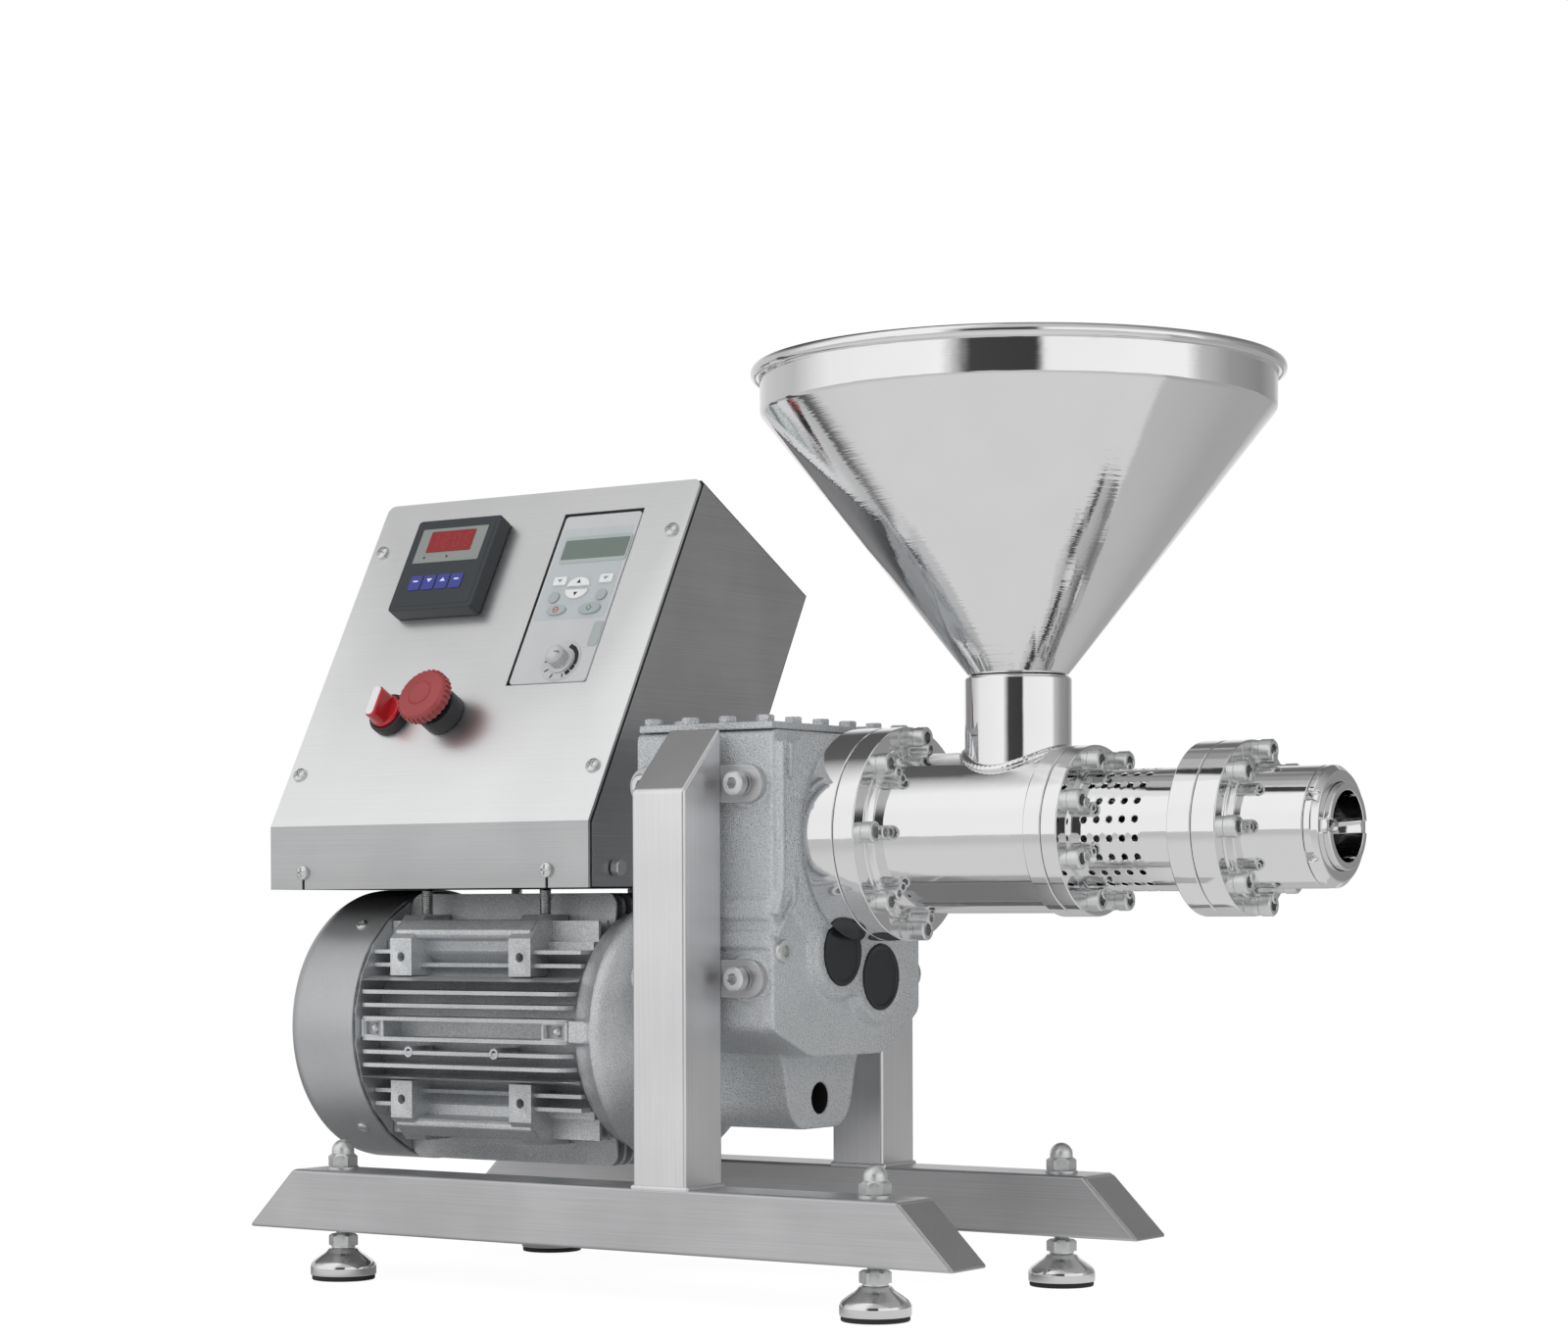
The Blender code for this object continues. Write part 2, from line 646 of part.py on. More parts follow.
def housing_outline(inset=0):
    """The gearbox seen along X: upright sides and a floor that slopes in to a narrow middle."""
    half = HOUSING_HALF - inset
    floor = FLOOR_WIDTH / 2
    return [
        (-half, HOUSING_TOP),
        (-half, HOUSING_FRONT_BOTTOM + inset),
        (-floor, HOUSING_FLOOR + inset),
        (floor, HOUSING_FLOOR + inset),
        (half, HOUSING_REAR_BOTTOM + inset),
        (half, HOUSING_TOP),
    ]


def gear_radii(teeth, distance):
    """The module and the two pitch radii of a pair of gears at this distance."""
    module = 2 * distance / sum(teeth)
    return module, module * teeth[0] / 2, module * teeth[1] / 2


def shaft_distance(one, two):
    return math.hypot(two[0] - one[0], two[1] - one[1])


INPUT = (0, MOTOR_Z)
OUTPUT = (0, BARREL_Z)
PINION_MODULE, PINION_RADIUS, _ = gear_radii(STAGE_1_TEETH, shaft_distance(INPUT, LAYSHAFTS[0]))
PINION_TIP_RADIUS = PINION_RADIUS + ADDENDUM_SHARE * PINION_MODULE


def gearbox_housing():
    """A cast box, open above, with a lug below and bosses where the shafts come through."""
    body = extruded("gearbox_housing", housing_outline(), HOUSING_LEFT, HOUSING_RIGHT, "X")
    lug_x = HOUSING_LEFT + HOUSING_LENGTH / 2
    lug_top = HOUSING_FLOOR + SINK
    lug = [(FLOOR_WIDTH / 2 * a, LUG_BOTTOM + (lug_top - LUG_BOTTOM) * b) for a, b in LUG_SHARES]
    faces = lug_x - LUG_THICKNESS / 2, lug_x + LUG_THICKNESS / 2
    joined(
        body,
        extruded("lug", lug, *faces, "X"),
        cylinder(
            "input_boss",
            INPUT_BOSS_RADIUS,
            HOUSING_LEFT,
            HOUSING_LEFT + INPUT_BOSS_LENGTH,
            "X",
            (0, 0, MOTOR_Z),
        ),
        cylinder(
            "output_boss",
            OUTPUT_BOSS_RADIUS,
            HOUSING_RIGHT - SINK,
            HOUSING_RIGHT + OUTPUT_BOSS_LENGTH,
            "X",
            (0, 0, BARREL_Z),
            FINE_SIDES,
        ),
    )
    for y, z in LAYSHAFTS:
        faces = HOUSING_RIGHT - SINK, CAP_FACE_X
        joined(body, cylinder("cap_boss", CAP_RADIUS + CAP_BOSS_WALL, *faces, "X", (0, y, z)))
    room = housing_outline(HOUSING_WALL)
    room[0] = (room[0][0], HOUSING_TOP + OVERRUN)
    room[-1] = (room[-1][0], HOUSING_TOP + OVERRUN)
    cut(body, extruded("room", room, INNER_LEFT, INNER_RIGHT, "X"))
    seat_radius = OUTPUT_BEARING_RADIUS + FIT
    inner_boss = ring(
        "inner_boss",
        seat_radius + INNER_BOSS_WALL,
        seat_radius,
        INNER_LEFT - SINK,
        INNER_LEFT + INNER_BOSS_LENGTH,
        "X",
        (0, 0, BARREL_Z),
    )
    joined(body, inner_boss)
    well = PINION_TIP_RADIUS + HOUSING_WALL / 2
    cut_through_curve(
        body,
        cylinder("well", well, INNER_LEFT, STAGE_2_X, "X", (0, 0, MOTOR_Z)),
        cylinder(
            "input_bore",
            PINION_TIP_RADIUS + SLACK,
            HOUSING_LEFT - OVERRUN,
            INNER_LEFT + OVERRUN,
            "X",
            (0, 0, MOTOR_Z),
        ),
        cylinder(
            "output_seat",
            seat_radius,
            INNER_RIGHT - SINK,
            HOUSING_RIGHT + OUTPUT_BOSS_LENGTH + OVERRUN,
            "X",
            (0, 0, BARREL_Z),
            FINE_SIDES,
        ),
        cylinder(
            "lug_hole",
            LUG_HOLE_RADIUS,
            lug_x - LUG_THICKNESS,
            lug_x + LUG_THICKNESS,
            "X",
            (0, 0, LUG_HOLE_Z),
            SMALL_SIDES,
        ),
    )
    for y, z in LAYSHAFTS:
        pocket_x = CAP_FACE_X + CAP_PROUD - CAP_THICKNESS - FIT
        bore = LAYSHAFT_RADIUS + FIT
        cut_through_curve(
            body,
            cylinder("pocket", CAP_RADIUS + FIT, pocket_x, CAP_FACE_X + OVERRUN, "X", (0, y, z)),
            cylinder("bore", bore, INNER_LEFT - LAYSHAFT_ENTRY - FIT, pocket_x + SINK, "X", (0, y, z)),
        )
    return body


def shaft_cap(name, y, z):
    """A pressed cap over a layshaft's end, with a shallow dish."""
    back = CAP_FACE_X + CAP_PROUD - CAP_THICKNESS
    front = CAP_FACE_X + CAP_PROUD
    rim = CAP_RADIUS - CAP_THICKNESS / 2
    dish = front - SINK
    profile = [(0, back), (CAP_RADIUS, back), (CAP_RADIUS, front), (rim, front), (rim, dish), (0, dish)]
    return turned(name, profile, "X", (0, y, z))


def gear_outline(teeth, radius, module, phase, centre):
    """A gear seen along its shaft: four points to each tooth."""
    pitch = 2 * math.pi / teeth
    root = radius - DEDENDUM_SHARE * module
    tip = radius + ADDENDUM_SHARE * module
    points = []
    for k in range(teeth):
        middle = phase + k * pitch
        flank = ((tip, TOOTH_TIP_SHARE), (root, TOOTH_ROOT_SHARE))
        corners = [(length, -share) for length, share in reversed(flank)]
        for length, share in (*corners, *flank):
            turn = middle + share * pitch
            points.append((centre[0] + length * math.cos(turn), centre[1] + length * math.sin(turn)))
    return points


def meshed_phase(driver_teeth, driver_phase, gear_teeth, one, two):
    """The phase that puts a tooth space of the second gear on a tooth of the first."""
    facing = math.atan2(two[1] - one[1], two[0] - one[0])
    part = (facing - driver_phase) * driver_teeth / (2 * math.pi)
    return facing + math.pi - (0.5 - part) * 2 * math.pi / gear_teeth


def stage(teeth, one, two, driver_phase):
    """Both outlines of a pair of gears in mesh, and the second gear's phase."""
    module, small, large = gear_radii(teeth, shaft_distance(one, two))
    phase = meshed_phase(teeth[0], driver_phase, teeth[1], one, two)
    driver = gear_outline(teeth[0], small, module, driver_phase, one)
    driven = gear_outline(teeth[1], large, module, phase, two)
    return driver, driven


def bored_gear(name, outline, start, width, place, bore_radius):
    wheel = extruded(name, outline, start, start + width, "X")
    ends = start - OVERRUN, start + width + OVERRUN
    return cut(wheel, cylinder("bore", bore_radius, *ends, "X", (0, *place)))


def layshaft(name, place, pinion, start, width):
    """A plain shaft with its pinion cut in one with it."""
    ends = INNER_LEFT - LAYSHAFT_ENTRY, CAP_FACE_X + CAP_PROUD - CAP_THICKNESS - FIT - FIT
    shaft = cylinder(name, LAYSHAFT_RADIUS, *ends, "X", (0, *place))
    return joined(shaft, extruded("pinion", pinion, start, start + width, "X"))


def output_shaft():
    """The hollow-ended shaft that carries the last gear and drives the screw."""
    left = INNER_LEFT + FIT
    seat = STAGE_3_X - FIT
    collar = STAGE_3_X + STAGE_3_WIDTH + FIT
    end = BARREL_X
    socket = end - SCREW_TENON_LENGTH - FIT
    tenon = SCREW_TENON_RADIUS + FIT
    profile = [
        (0, left),
        (OUTPUT_SHAFT_RADIUS, left),
        (OUTPUT_SHAFT_RADIUS, seat),
        (OUTPUT_SEAT_RADIUS, seat),
        (OUTPUT_SEAT_RADIUS, collar),
        (OUTPUT_COLLAR_RADIUS, collar),
        (OUTPUT_COLLAR_RADIUS, collar + OUTPUT_COLLAR_LENGTH),
        (OUTPUT_SHAFT_RADIUS, collar + OUTPUT_COLLAR_LENGTH),
        (OUTPUT_SHAFT_RADIUS, end),
        (tenon, end),
        (tenon, socket),
        (0, socket),
    ]
    return turned("output_shaft", profile, "X", (0, 0, BARREL_Z))


def bearing(name, outer, shaft_radius, start, width, z):
    """A bearing whose bore clears the shaft's corners at every turn."""
    inner = (shaft_radius + RUNNING_GAP) / math.cos(math.pi / ROUND_SIDES)
    return ring(name, outer, inner, start, start + width, "X", (0, 0, z))


def build_gearbox(machine):
    finished(gearbox_housing(), "cast_paint", machine)
    cover_low = (HOUSING_LEFT, -HOUSING_HALF, HOUSING_TOP + FIT)
    cover_high = (HOUSING_RIGHT, HOUSING_HALF, HOUSING_TOP + FIT + COVER_THICKNESS)
    finished(box("gearbox_cover", cover_low, cover_high), "cast_paint", machine)
    finished(shaft_cap("shaft_cap_far", *LAYSHAFTS[0]), "black_plastic", machine)
    finished(shaft_cap("shaft_cap_near", *LAYSHAFTS[1]), "black_plastic", machine)

    pinion_1, wheel_1 = stage(STAGE_1_TEETH, INPUT, LAYSHAFTS[0], 0)
    pinion_2, wheel_2 = stage(STAGE_2_TEETH, LAYSHAFTS[0], LAYSHAFTS[1], 0)
    pinion_3, wheel_3 = stage(STAGE_3_TEETH, LAYSHAFTS[1], OUTPUT, 0)
    bore = LAYSHAFT_RADIUS + FIT
    motor_pinion = bored_gear(
        "motor_pinion", pinion_1, STAGE_1_X, STAGE_1_WIDTH, INPUT, PINION_SEAT_RADIUS + FIT
    )
    finished(motor_pinion, "steel", machine, (0, *INPUT))
    shaft_1 = layshaft("layshaft_1", LAYSHAFTS[0], pinion_2, STAGE_2_X, STAGE_2_WIDTH)
    finished(shaft_1, "steel", machine, (0, *LAYSHAFTS[0]))
    gear_1 = bored_gear("layshaft_1_gear", wheel_1, STAGE_1_X, STAGE_1_WIDTH, LAYSHAFTS[0], bore)
    finished(gear_1, "steel", machine, (0, *LAYSHAFTS[0]))
    shaft_2 = layshaft("layshaft_2", LAYSHAFTS[1], pinion_3, STAGE_3_X, STAGE_3_WIDTH)
    finished(shaft_2, "steel", machine, (0, *LAYSHAFTS[1]))
    gear_2 = bored_gear("layshaft_2_gear", wheel_2, STAGE_2_X, STAGE_2_WIDTH, LAYSHAFTS[1], bore)
    finished(gear_2, "steel", machine, (0, *LAYSHAFTS[1]))
    gear_3 = bored_gear("output_gear", wheel_3, STAGE_3_X, STAGE_3_WIDTH, OUTPUT, OUTPUT_SEAT_RADIUS + FIT)
    finished(gear_3, "steel", machine, (0, *OUTPUT))
    finished(output_shaft(), "steel", machine, (0, *OUTPUT))
    front_x = ADAPTER_X - FIT - OUTPUT_BEARING_WIDTH
    for name, x in (("output_bearing_rear", INNER_LEFT + FIT), ("output_bearing_front", front_x)):
        radii = OUTPUT_BEARING_RADIUS, OUTPUT_SHAFT_RADIUS
        finished(bearing(name, *radii, x, OUTPUT_BEARING_WIDTH, BARREL_Z), "steel", machine)


def adapter_flange():
    """The ring between the gearbox and the barrel, with the seal's bore round the shaft."""
    seal_x = ADAPTER_X + ADAPTER_THICKNESS - SEAL_WALL_THICKNESS
    end = ADAPTER_X + ADAPTER_THICKNESS
    profile = [
        (FLANGE_RADIUS, ADAPTER_X),
        (FLANGE_RADIUS, end),
        (SEAL_BORE_RADIUS, end),
        (SEAL_BORE_RADIUS, seal_x),
        (ADAPTER_BORE_RADIUS, seal_x),
        (ADAPTER_BORE_RADIUS, ADAPTER_X),
    ]
    return turned("adapter_flange", profile, "X", (0, 0, BARREL_Z), FINE_SIDES)


def feed_barrel():
    """The flanged barrel with the hopper's neck welded on and the feed throat below it."""
    end = TUBE_X + BARREL_LENGTH
    profile = [
        (0, BARREL_X),
        (FLANGE_RADIUS, BARREL_X),
        (FLANGE_RADIUS, TUBE_X),
        (BARREL_RADIUS, TUBE_X),
        (BARREL_RADIUS, end - BARREL_END_LENGTH),
        (BARREL_END_RADIUS, end - BARREL_END_LENGTH),
        (BARREL_END_RADIUS, end),
        (0, end),
    ]
    barrel = turned("feed_barrel", profile, "X", (0, 0, BARREL_Z), FINE_SIDES)
    upright = (NECK_X, 0, 0)
    joined(barrel, cylinder("neck", NECK_RADIUS, BARREL_Z, NECK_TOP, centre=upright, sides=FINE_SIDES))
    ends = BARREL_X - OVERRUN, end + OVERRUN
    mouth = NECK_TOP + OVERRUN
    return cut_through_curve(
        barrel,
        cylinder("bore", BARREL_BORE_RADIUS, *ends, "X", (0, 0, BARREL_Z), FINE_SIDES),
        cylinder("throat", NECK_BORE_RADIUS, BARREL_Z, mouth, centre=upright, sides=FINE_SIDES),
    )


def drain_cage():
    """The perforated tube that lets the oil out, between its two flanges."""
    front = CAGE_END_X + CAGE_FRONT_THICKNESS
    profile = [
        (CAGE_FLANGE_RADIUS, CAGE_X),
        (CAGE_FLANGE_RADIUS, CAGE_TUBE_X),
        (CAGE_RADIUS, CAGE_TUBE_X),
        (CAGE_RADIUS, CAGE_END_X),
        (CAGE_FLANGE_RADIUS, CAGE_END_X),
        (CAGE_FLANGE_RADIUS, front),
        (BARREL_BORE_RADIUS, front),
        (BARREL_BORE_RADIUS, CAGE_X),
    ]
    cage = turned("drain_cage", profile, "X", (0, 0, BARREL_Z), CAGE_ROWS)
    holes = []
    middle = (CAGE_TUBE_X + CAGE_END_X) / 2
    outline = arc(CAGE_HOLE_RADIUS, 45, 315, 3)
    for row in range(CAGE_ROWS):
        turn = Matrix.Rotation(2 * math.pi * row / CAGE_ROWS, 4, "X")
        for k in range(CAGE_HOLES):
            x = middle + (k - (CAGE_HOLES - 1) / 2) * CAGE_HOLE_PITCH
            ends = BARREL_BORE_RADIUS - SINK, CAGE_RADIUS + SINK
            hole = extruded("hole", shifted(outline, x, 0), *ends)
            holes.append(moved(hole, Matrix.Translation((0, 0, BARREL_Z)) @ turn))
    return cut(cage, gathered("holes", holes))


def press_head():
    """The head that the cake leaves through, threaded for the ring nut and the sleeve."""
    inner = HEAD_END_X - HEAD_END_WALL
    sleeve = SLEEVE_RADIUS + FIT
    profile = [
        (CAGE_FLANGE_RADIUS, HEAD_X),
        (CAGE_FLANGE_RADIUS, HEAD_TUBE_X),
        (HEAD_RADIUS, HEAD_TUBE_X),
        (HEAD_RADIUS, HEAD_END_X),
        (sleeve, HEAD_END_X),
        (sleeve, inner),
        (BARREL_BORE_RADIUS, inner),
        (BARREL_BORE_RADIUS, HEAD_X),
    ]
    return turned("press_head", profile, "X", (0, 0, BARREL_Z), FINE_SIDES)


def rim_slots(body, count, width, depth, outer, start, end, turn_degrees=0):
    """Spanner slots cut across a ring's rim."""
    for k in range(count):
        slot = box("slot", (start, -width / 2, outer - depth), (end, width / 2, outer + OVERRUN))
        turn = Matrix.Rotation(math.radians(turn_degrees + 360 * k / count), 4, "X")
        cut(body, moved(slot, Matrix.Translation((0, 0, BARREL_Z)) @ turn))
    return body


def ring_nut():
    radii = HEAD_RADIUS, SLEEVE_RADIUS + FIT
    nut = ring("ring_nut", *radii, NUT_RING_X, NUT_RING_END_X, "X", (0, 0, BARREL_Z), FINE_SIDES)
    ends = NUT_RING_X - OVERRUN, NUT_RING_END_X + OVERRUN
    return rim_slots(nut, NUT_SLOTS, NUT_SLOT_WIDTH, NUT_SLOT_DEPTH, HEAD_RADIUS, *ends)


def outlet_sleeve():
    """The sleeve that is screwed in or out to set the gap round the screw's tip."""
    radii = SLEEVE_RADIUS, SLEEVE_BORE_RADIUS
    sleeve = ring("outlet_sleeve", *radii, SLEEVE_X, SLEEVE_END_X, "X", (0, 0, BARREL_Z), FINE_SIDES)
    ends = SLEEVE_END_X - SLEEVE_NOTCH_DEPTH, SLEEVE_END_X + OVERRUN
    wall = SLEEVE_RADIUS - SLEEVE_BORE_RADIUS
    return rim_slots(sleeve, 2, SLEEVE_NOTCH_WIDTH, wall + SINK, SLEEVE_RADIUS, *ends, 90)


def between(shares, part):
    """The value at this part of the way along a table of shares."""
    place = part * (len(shares) - 1)
    i = min(int(place), len(shares) - 2)
    return shares[i] + (shares[i + 1] - shares[i]) * (place - i)


def press_screw():
    """A tapered screw: its core grows and its pitch shrinks along the cage, so the seed is squeezed."""
    start = BARREL_X + FIT + SCREW_SHANK_LENGTH
    end = SLEEVE_X - SCREW_END_GAP - SCREW_TIP_LENGTH
    steps = SCREW_TURNS * STEPS_PER_TURN
    pitches = [between(SCREW_PITCH_SHARES, i / steps) for i in range(steps)]
    bm = bmesh.new()
    sections = []
    for i in range(steps + 1):
        core = SCREW_RADIUS * between(SCREW_CORE_SHARES, i / steps)
        lift = min(1, (i + 1) / RAMP_STEPS, (steps - i + 1) / RAMP_STEPS)
        crest = core + (SCREW_RADIUS - core) * lift
        half = math.pi * FLIGHT_WIDTH_SHARE
        places = [(core, -half), (crest, -half), (crest, half), (core, half)]
        open_turn = 2 * math.pi - 2 * half
        places += [(core, half + open_turn * (k + 1) / CORE_CORNERS) for k in range(CORE_CORNERS - 1)]
        x = start + (end - start) * sum(pitches[:i]) / sum(pitches)
        turn = 2 * math.pi * i / STEPS_PER_TURN
        corners = [(x, r * math.cos(turn + a), r * math.sin(turn + a)) for r, a in places]
        sections.append([bm.verts.new(corner) for corner in corners])
    for one, two in zip(sections, sections[1:]):
        for k in range(len(one)):
            j = (k + 1) % len(one)
            bm.faces.new((one[k], two[k], two[j], one[j]))
    bm.faces.new(sections[0])
    bm.faces.new(reversed(sections[-1]))
    bmesh.ops.triangulate(bm, faces=bm.faces)
    bm.transform(Matrix.Translation((0, 0, BARREL_Z)))
    screw = object_of("press_screw", bm)
    tail = [
        (0, BARREL_X - SCREW_TENON_LENGTH),
        (SCREW_TENON_RADIUS, BARREL_X - SCREW_TENON_LENGTH),
        (SCREW_TENON_RADIUS, BARREL_X + FIT),
        (SCREW_SHANK_RADIUS, BARREL_X + FIT),
        (SCREW_SHANK_RADIUS, start + SINK),
        (0, start + SINK),
    ]
    core = SCREW_RADIUS * SCREW_CORE_SHARES[-1] + SINK
    tip = [
        (0, end - SINK),
        (core, end - SINK),
        (core, end + SINK),
        (SCREW_TIP_RADIUS, end + SCREW_TIP_LENGTH),
        (0, end + SCREW_TIP_LENGTH),
    ]
    place = (0, 0, BARREL_Z)
    ends = turned("tail", tail, "X", place), turned("tip", tip, "X", place)
    return combined(screw, "UNION", ends, "MANIFOLD")


def hopper():
    """The sheet funnel: a rolled bead, a short band, the cone and the spigot in the barrel's neck."""
    foot = NECK_TOP + FIT
    band = foot + HOPPER_CONE_HEIGHT
    top = band + HOPPER_BAND_HEIGHT
    bead_bottom = top - HOPPER_BEAD_HEIGHT
    spigot = NECK_BORE_RADIUS - FIT
    low = foot - HOPPER_SPIGOT_LENGTH
    lean = math.hypot(HOPPER_CONE_HEIGHT, HOPPER_RADIUS - HOPPER_FOOT_RADIUS) / HOPPER_CONE_HEIGHT
    inside = HOPPER_SHEET * lean
    edge = HOPPER_BEAD / 3
    profile = [
        (spigot, low),
        (spigot, foot),
        (HOPPER_FOOT_RADIUS, foot),
        (HOPPER_RADIUS, band),
        (HOPPER_RADIUS, bead_bottom),
        (HOPPER_RADIUS + HOPPER_BEAD, bead_bottom + edge),
        (HOPPER_RADIUS + HOPPER_BEAD, top - edge),
        (HOPPER_RADIUS + HOPPER_BEAD - edge, top),
        (HOPPER_RADIUS, top),
        (HOPPER_RADIUS - HOPPER_SHEET, top - edge),
        (HOPPER_RADIUS - HOPPER_SHEET, band),
        (spigot - HOPPER_SHEET, foot + (spigot - HOPPER_SHEET - HOPPER_FOOT_RADIUS + inside) / (
            (HOPPER_RADIUS - HOPPER_FOOT_RADIUS) / HOPPER_CONE_HEIGHT
        )),
        (spigot - HOPPER_SHEET, low),
    ]
    return turned("hopper", profile, centre=(NECK_X, 0, 0), sides=FINE_SIDES)


def build_barrel(machine):
    finished(adapter_flange(), "polished", machine)
    finished(feed_barrel(), "polished", machine)
    finished(drain_cage(), "polished", machine)
    finished(press_head(), "polished", machine)
    finished(ring_nut(), "polished", machine)
    finished(outlet_sleeve(), "steel", machine)
    finished(press_screw(), "steel", machine, (0, *OUTPUT))
    finished(hopper(), "polished", machine, (NECK_X, 0, NECK_TOP))


def fin_outline():
    """The motor's housing seen along X: straight fins on four sides, and a rail at each corner."""
    points = []
    middles = [FIN_CHANNEL / 2 + k * FIN_PITCH for k in range(FINS_PER_HALF)]
    middles = [-m for m in reversed(middles)] + middles
    corner = RAIL_RADIUS / math.sqrt(2)
    for side in range(4):
        turn = Matrix.Rotation(side * math.pi / 2, 2)
        for i, middle in enumerate(middles):
            first = i == 0
            last = i == len(middles) - 1
            low = middle - FIN_THICKNESS / 2
            high = middle + FIN_THICKNESS / 2
            root_low = FIN_CORNER_RADIUS if last else FIN_ROOT_RADIUS
            root_high = FIN_CORNER_RADIUS if first else FIN_ROOT_RADIUS
            flank = []
            if first:
                flank.append((corner, -corner))
                flank.append((corner, low))
            else:
                flank.append((math.sqrt(root_low**2 - low**2), low))
            flank.append((math.sqrt(FIN_TIP_RADIUS**2 - low**2), low))
            flank.append((math.sqrt(FIN_TIP_RADIUS**2 - high**2), high))
            if last:
                flank.append((corner, high))
            else:
                flank.append((math.sqrt(root_high**2 - high**2), high))
            points += [tuple(turn @ Vector(p)) for p in flank]
    return shifted(points, 0, MOTOR_Z)


def motor_housing():
    """The finned casting with its eight foot pads and the boxes in its side channels."""
    body = extruded("motor_housing", fin_outline(), MOTOR_LEFT, MOTOR_RIGHT, "X")
    pad = [
        (PAD_EDGE, PAD_FACE),
        (PAD_CORNER, PAD_FACE),
        (PAD_FACE, PAD_CORNER),
        (PAD_FACE, PAD_EDGE),
        (PAD_ROOT, PAD_EDGE),
        (PAD_EDGE, PAD_ROOT),
    ]
    centre = Matrix.Translation((0, 0, MOTOR_Z))
    for x in (PAD_LEFT_X, PAD_RIGHT_X):
        for k in range(4):
            block = extruded("pad", pad, x - PAD_LENGTH / 2, x + PAD_LENGTH / 2, "X")
            joined(body, moved(block, centre @ Matrix.Rotation(k * math.pi / 2, 4, "X")))
    height = CHANNEL_BOX_HEIGHT / 2
    for x in (MOTOR_LEFT, MOTOR_RIGHT - CHANNEL_BOX_LENGTH):
        for k in (0, 2):
            low = (x, FIN_ROOT_RADIUS - SINK, -height)
            high = (x + CHANNEL_BOX_LENGTH, CHANNEL_BOX_FACE, height)
            block = box("channel_box", low, high)
            joined(body, moved(block, centre @ Matrix.Rotation(k * math.pi / 2, 4, "X")))
    ends = MOTOR_LEFT - OVERRUN, MOTOR_RIGHT + OVERRUN
    return cut(body, cylinder("bore", MOTOR_BORE_RADIUS, *ends, "X", (0, 0, MOTOR_Z), FINE_SIDES))


def motor_drive_shield():
    """The domed end shield that meets the gearbox, with the front bearing's seat in its hub."""
    end = SHIELD_X + SHIELD_LENGTH
    bore = MOTOR_SHAFT_RADIUS + SLACK
    seat = MOTOR_BEARING_RADIUS + FIT
    seat_x = SHIELD_FLOOR_X + SHIELD_WALL - FIT
    hub_x = SHIELD_FLOOR_X - MOTOR_BEARING_WIDTH
    profile = [(SHIELD_RADIUS * r, SHIELD_X + SHIELD_LENGTH * a) for a, r in SHIELD_OUTER_SHARES]
    profile += [(bore, end), (bore, seat_x), (seat, seat_x), (seat, hub_x), (HUB_RADIUS, hub_x)]
    profile += [(HUB_RADIUS, SHIELD_FLOOR_X)]
    profile += [(SHIELD_RADIUS * SHIELD_FLOOR_SHARE, SHIELD_FLOOR_X)]
    profile += [(SHIELD_RADIUS * r, SHIELD_X + SHIELD_LENGTH * a) for a, r in SHIELD_INNER_SHARES]
    return turned("motor_drive_shield", profile, "X", (0, 0, MOTOR_Z), FINE_SIDES)


def motor_rear_shield():
    """The flat end shield that carries the cowl, with the rear bearing's seat in its hub."""
    end = MOTOR_LEFT - FIT
    bore = MOTOR_SHAFT_RADIUS + SLACK
    seat = MOTOR_BEARING_RADIUS + FIT
    hub_end = end + REAR_HUB_LENGTH
    profile = [
        (COWL_SEAT_RADIUS, REAR_SHIELD_X),
        (COWL_SEAT_RADIUS, end),
        (HUB_RADIUS, end),
        (HUB_RADIUS, hub_end),
        (seat, hub_end),
        (seat, hub_end - MOTOR_BEARING_WIDTH - FIT),
        (bore, hub_end - MOTOR_BEARING_WIDTH - FIT),
        (bore, REAR_SHIELD_X),
    ]
    return turned("motor_rear_shield", profile, "X", (0, 0, MOTOR_Z), FINE_SIDES)


def fan_cowl():
    """The sheet cup over the fan, with round edges and the air slots in its end."""
    open_end = MOTOR_LEFT - FIT - REAR_SHIELD_THICKNESS + COWL_LAP
    outer = [(COWL_RADIUS * r, COWL_X + COWL_LENGTH * a) for a, r in COWL_RIM_SHARES]
    inner = [(radius - COWL_SHEET, along + COWL_SHEET * (k == 0)) for k, (radius, along) in enumerate(outer)]
    profile = [(0, COWL_X)] + outer + [(COWL_RADIUS, open_end), (COWL_RADIUS - COWL_SHEET, open_end)]
    profile += inner[::-1] + [(0, COWL_X + COWL_SHEET)]
    cowl = turned("fan_cowl", profile, "X", (0, 0, MOTOR_Z), FINE_SIDES)
    slots = []
    for k in range(COWL_SLOTS):
        low = (COWL_X - OVERRUN, -COWL_SLOT_WIDTH / 2, COWL_SLOT_INNER)
        high = (COWL_X + COWL_SHEET + OVERRUN, COWL_SLOT_WIDTH / 2, COWL_SLOT_OUTER)
        turn = Matrix.Rotation(2 * math.pi * (k + 0.5) / COWL_SLOTS, 4, "X")
        slots.append(moved(box("slot", low, high), Matrix.Translation((0, 0, MOTOR_Z)) @ turn))
    return cut(cowl, gathered("slots", slots))


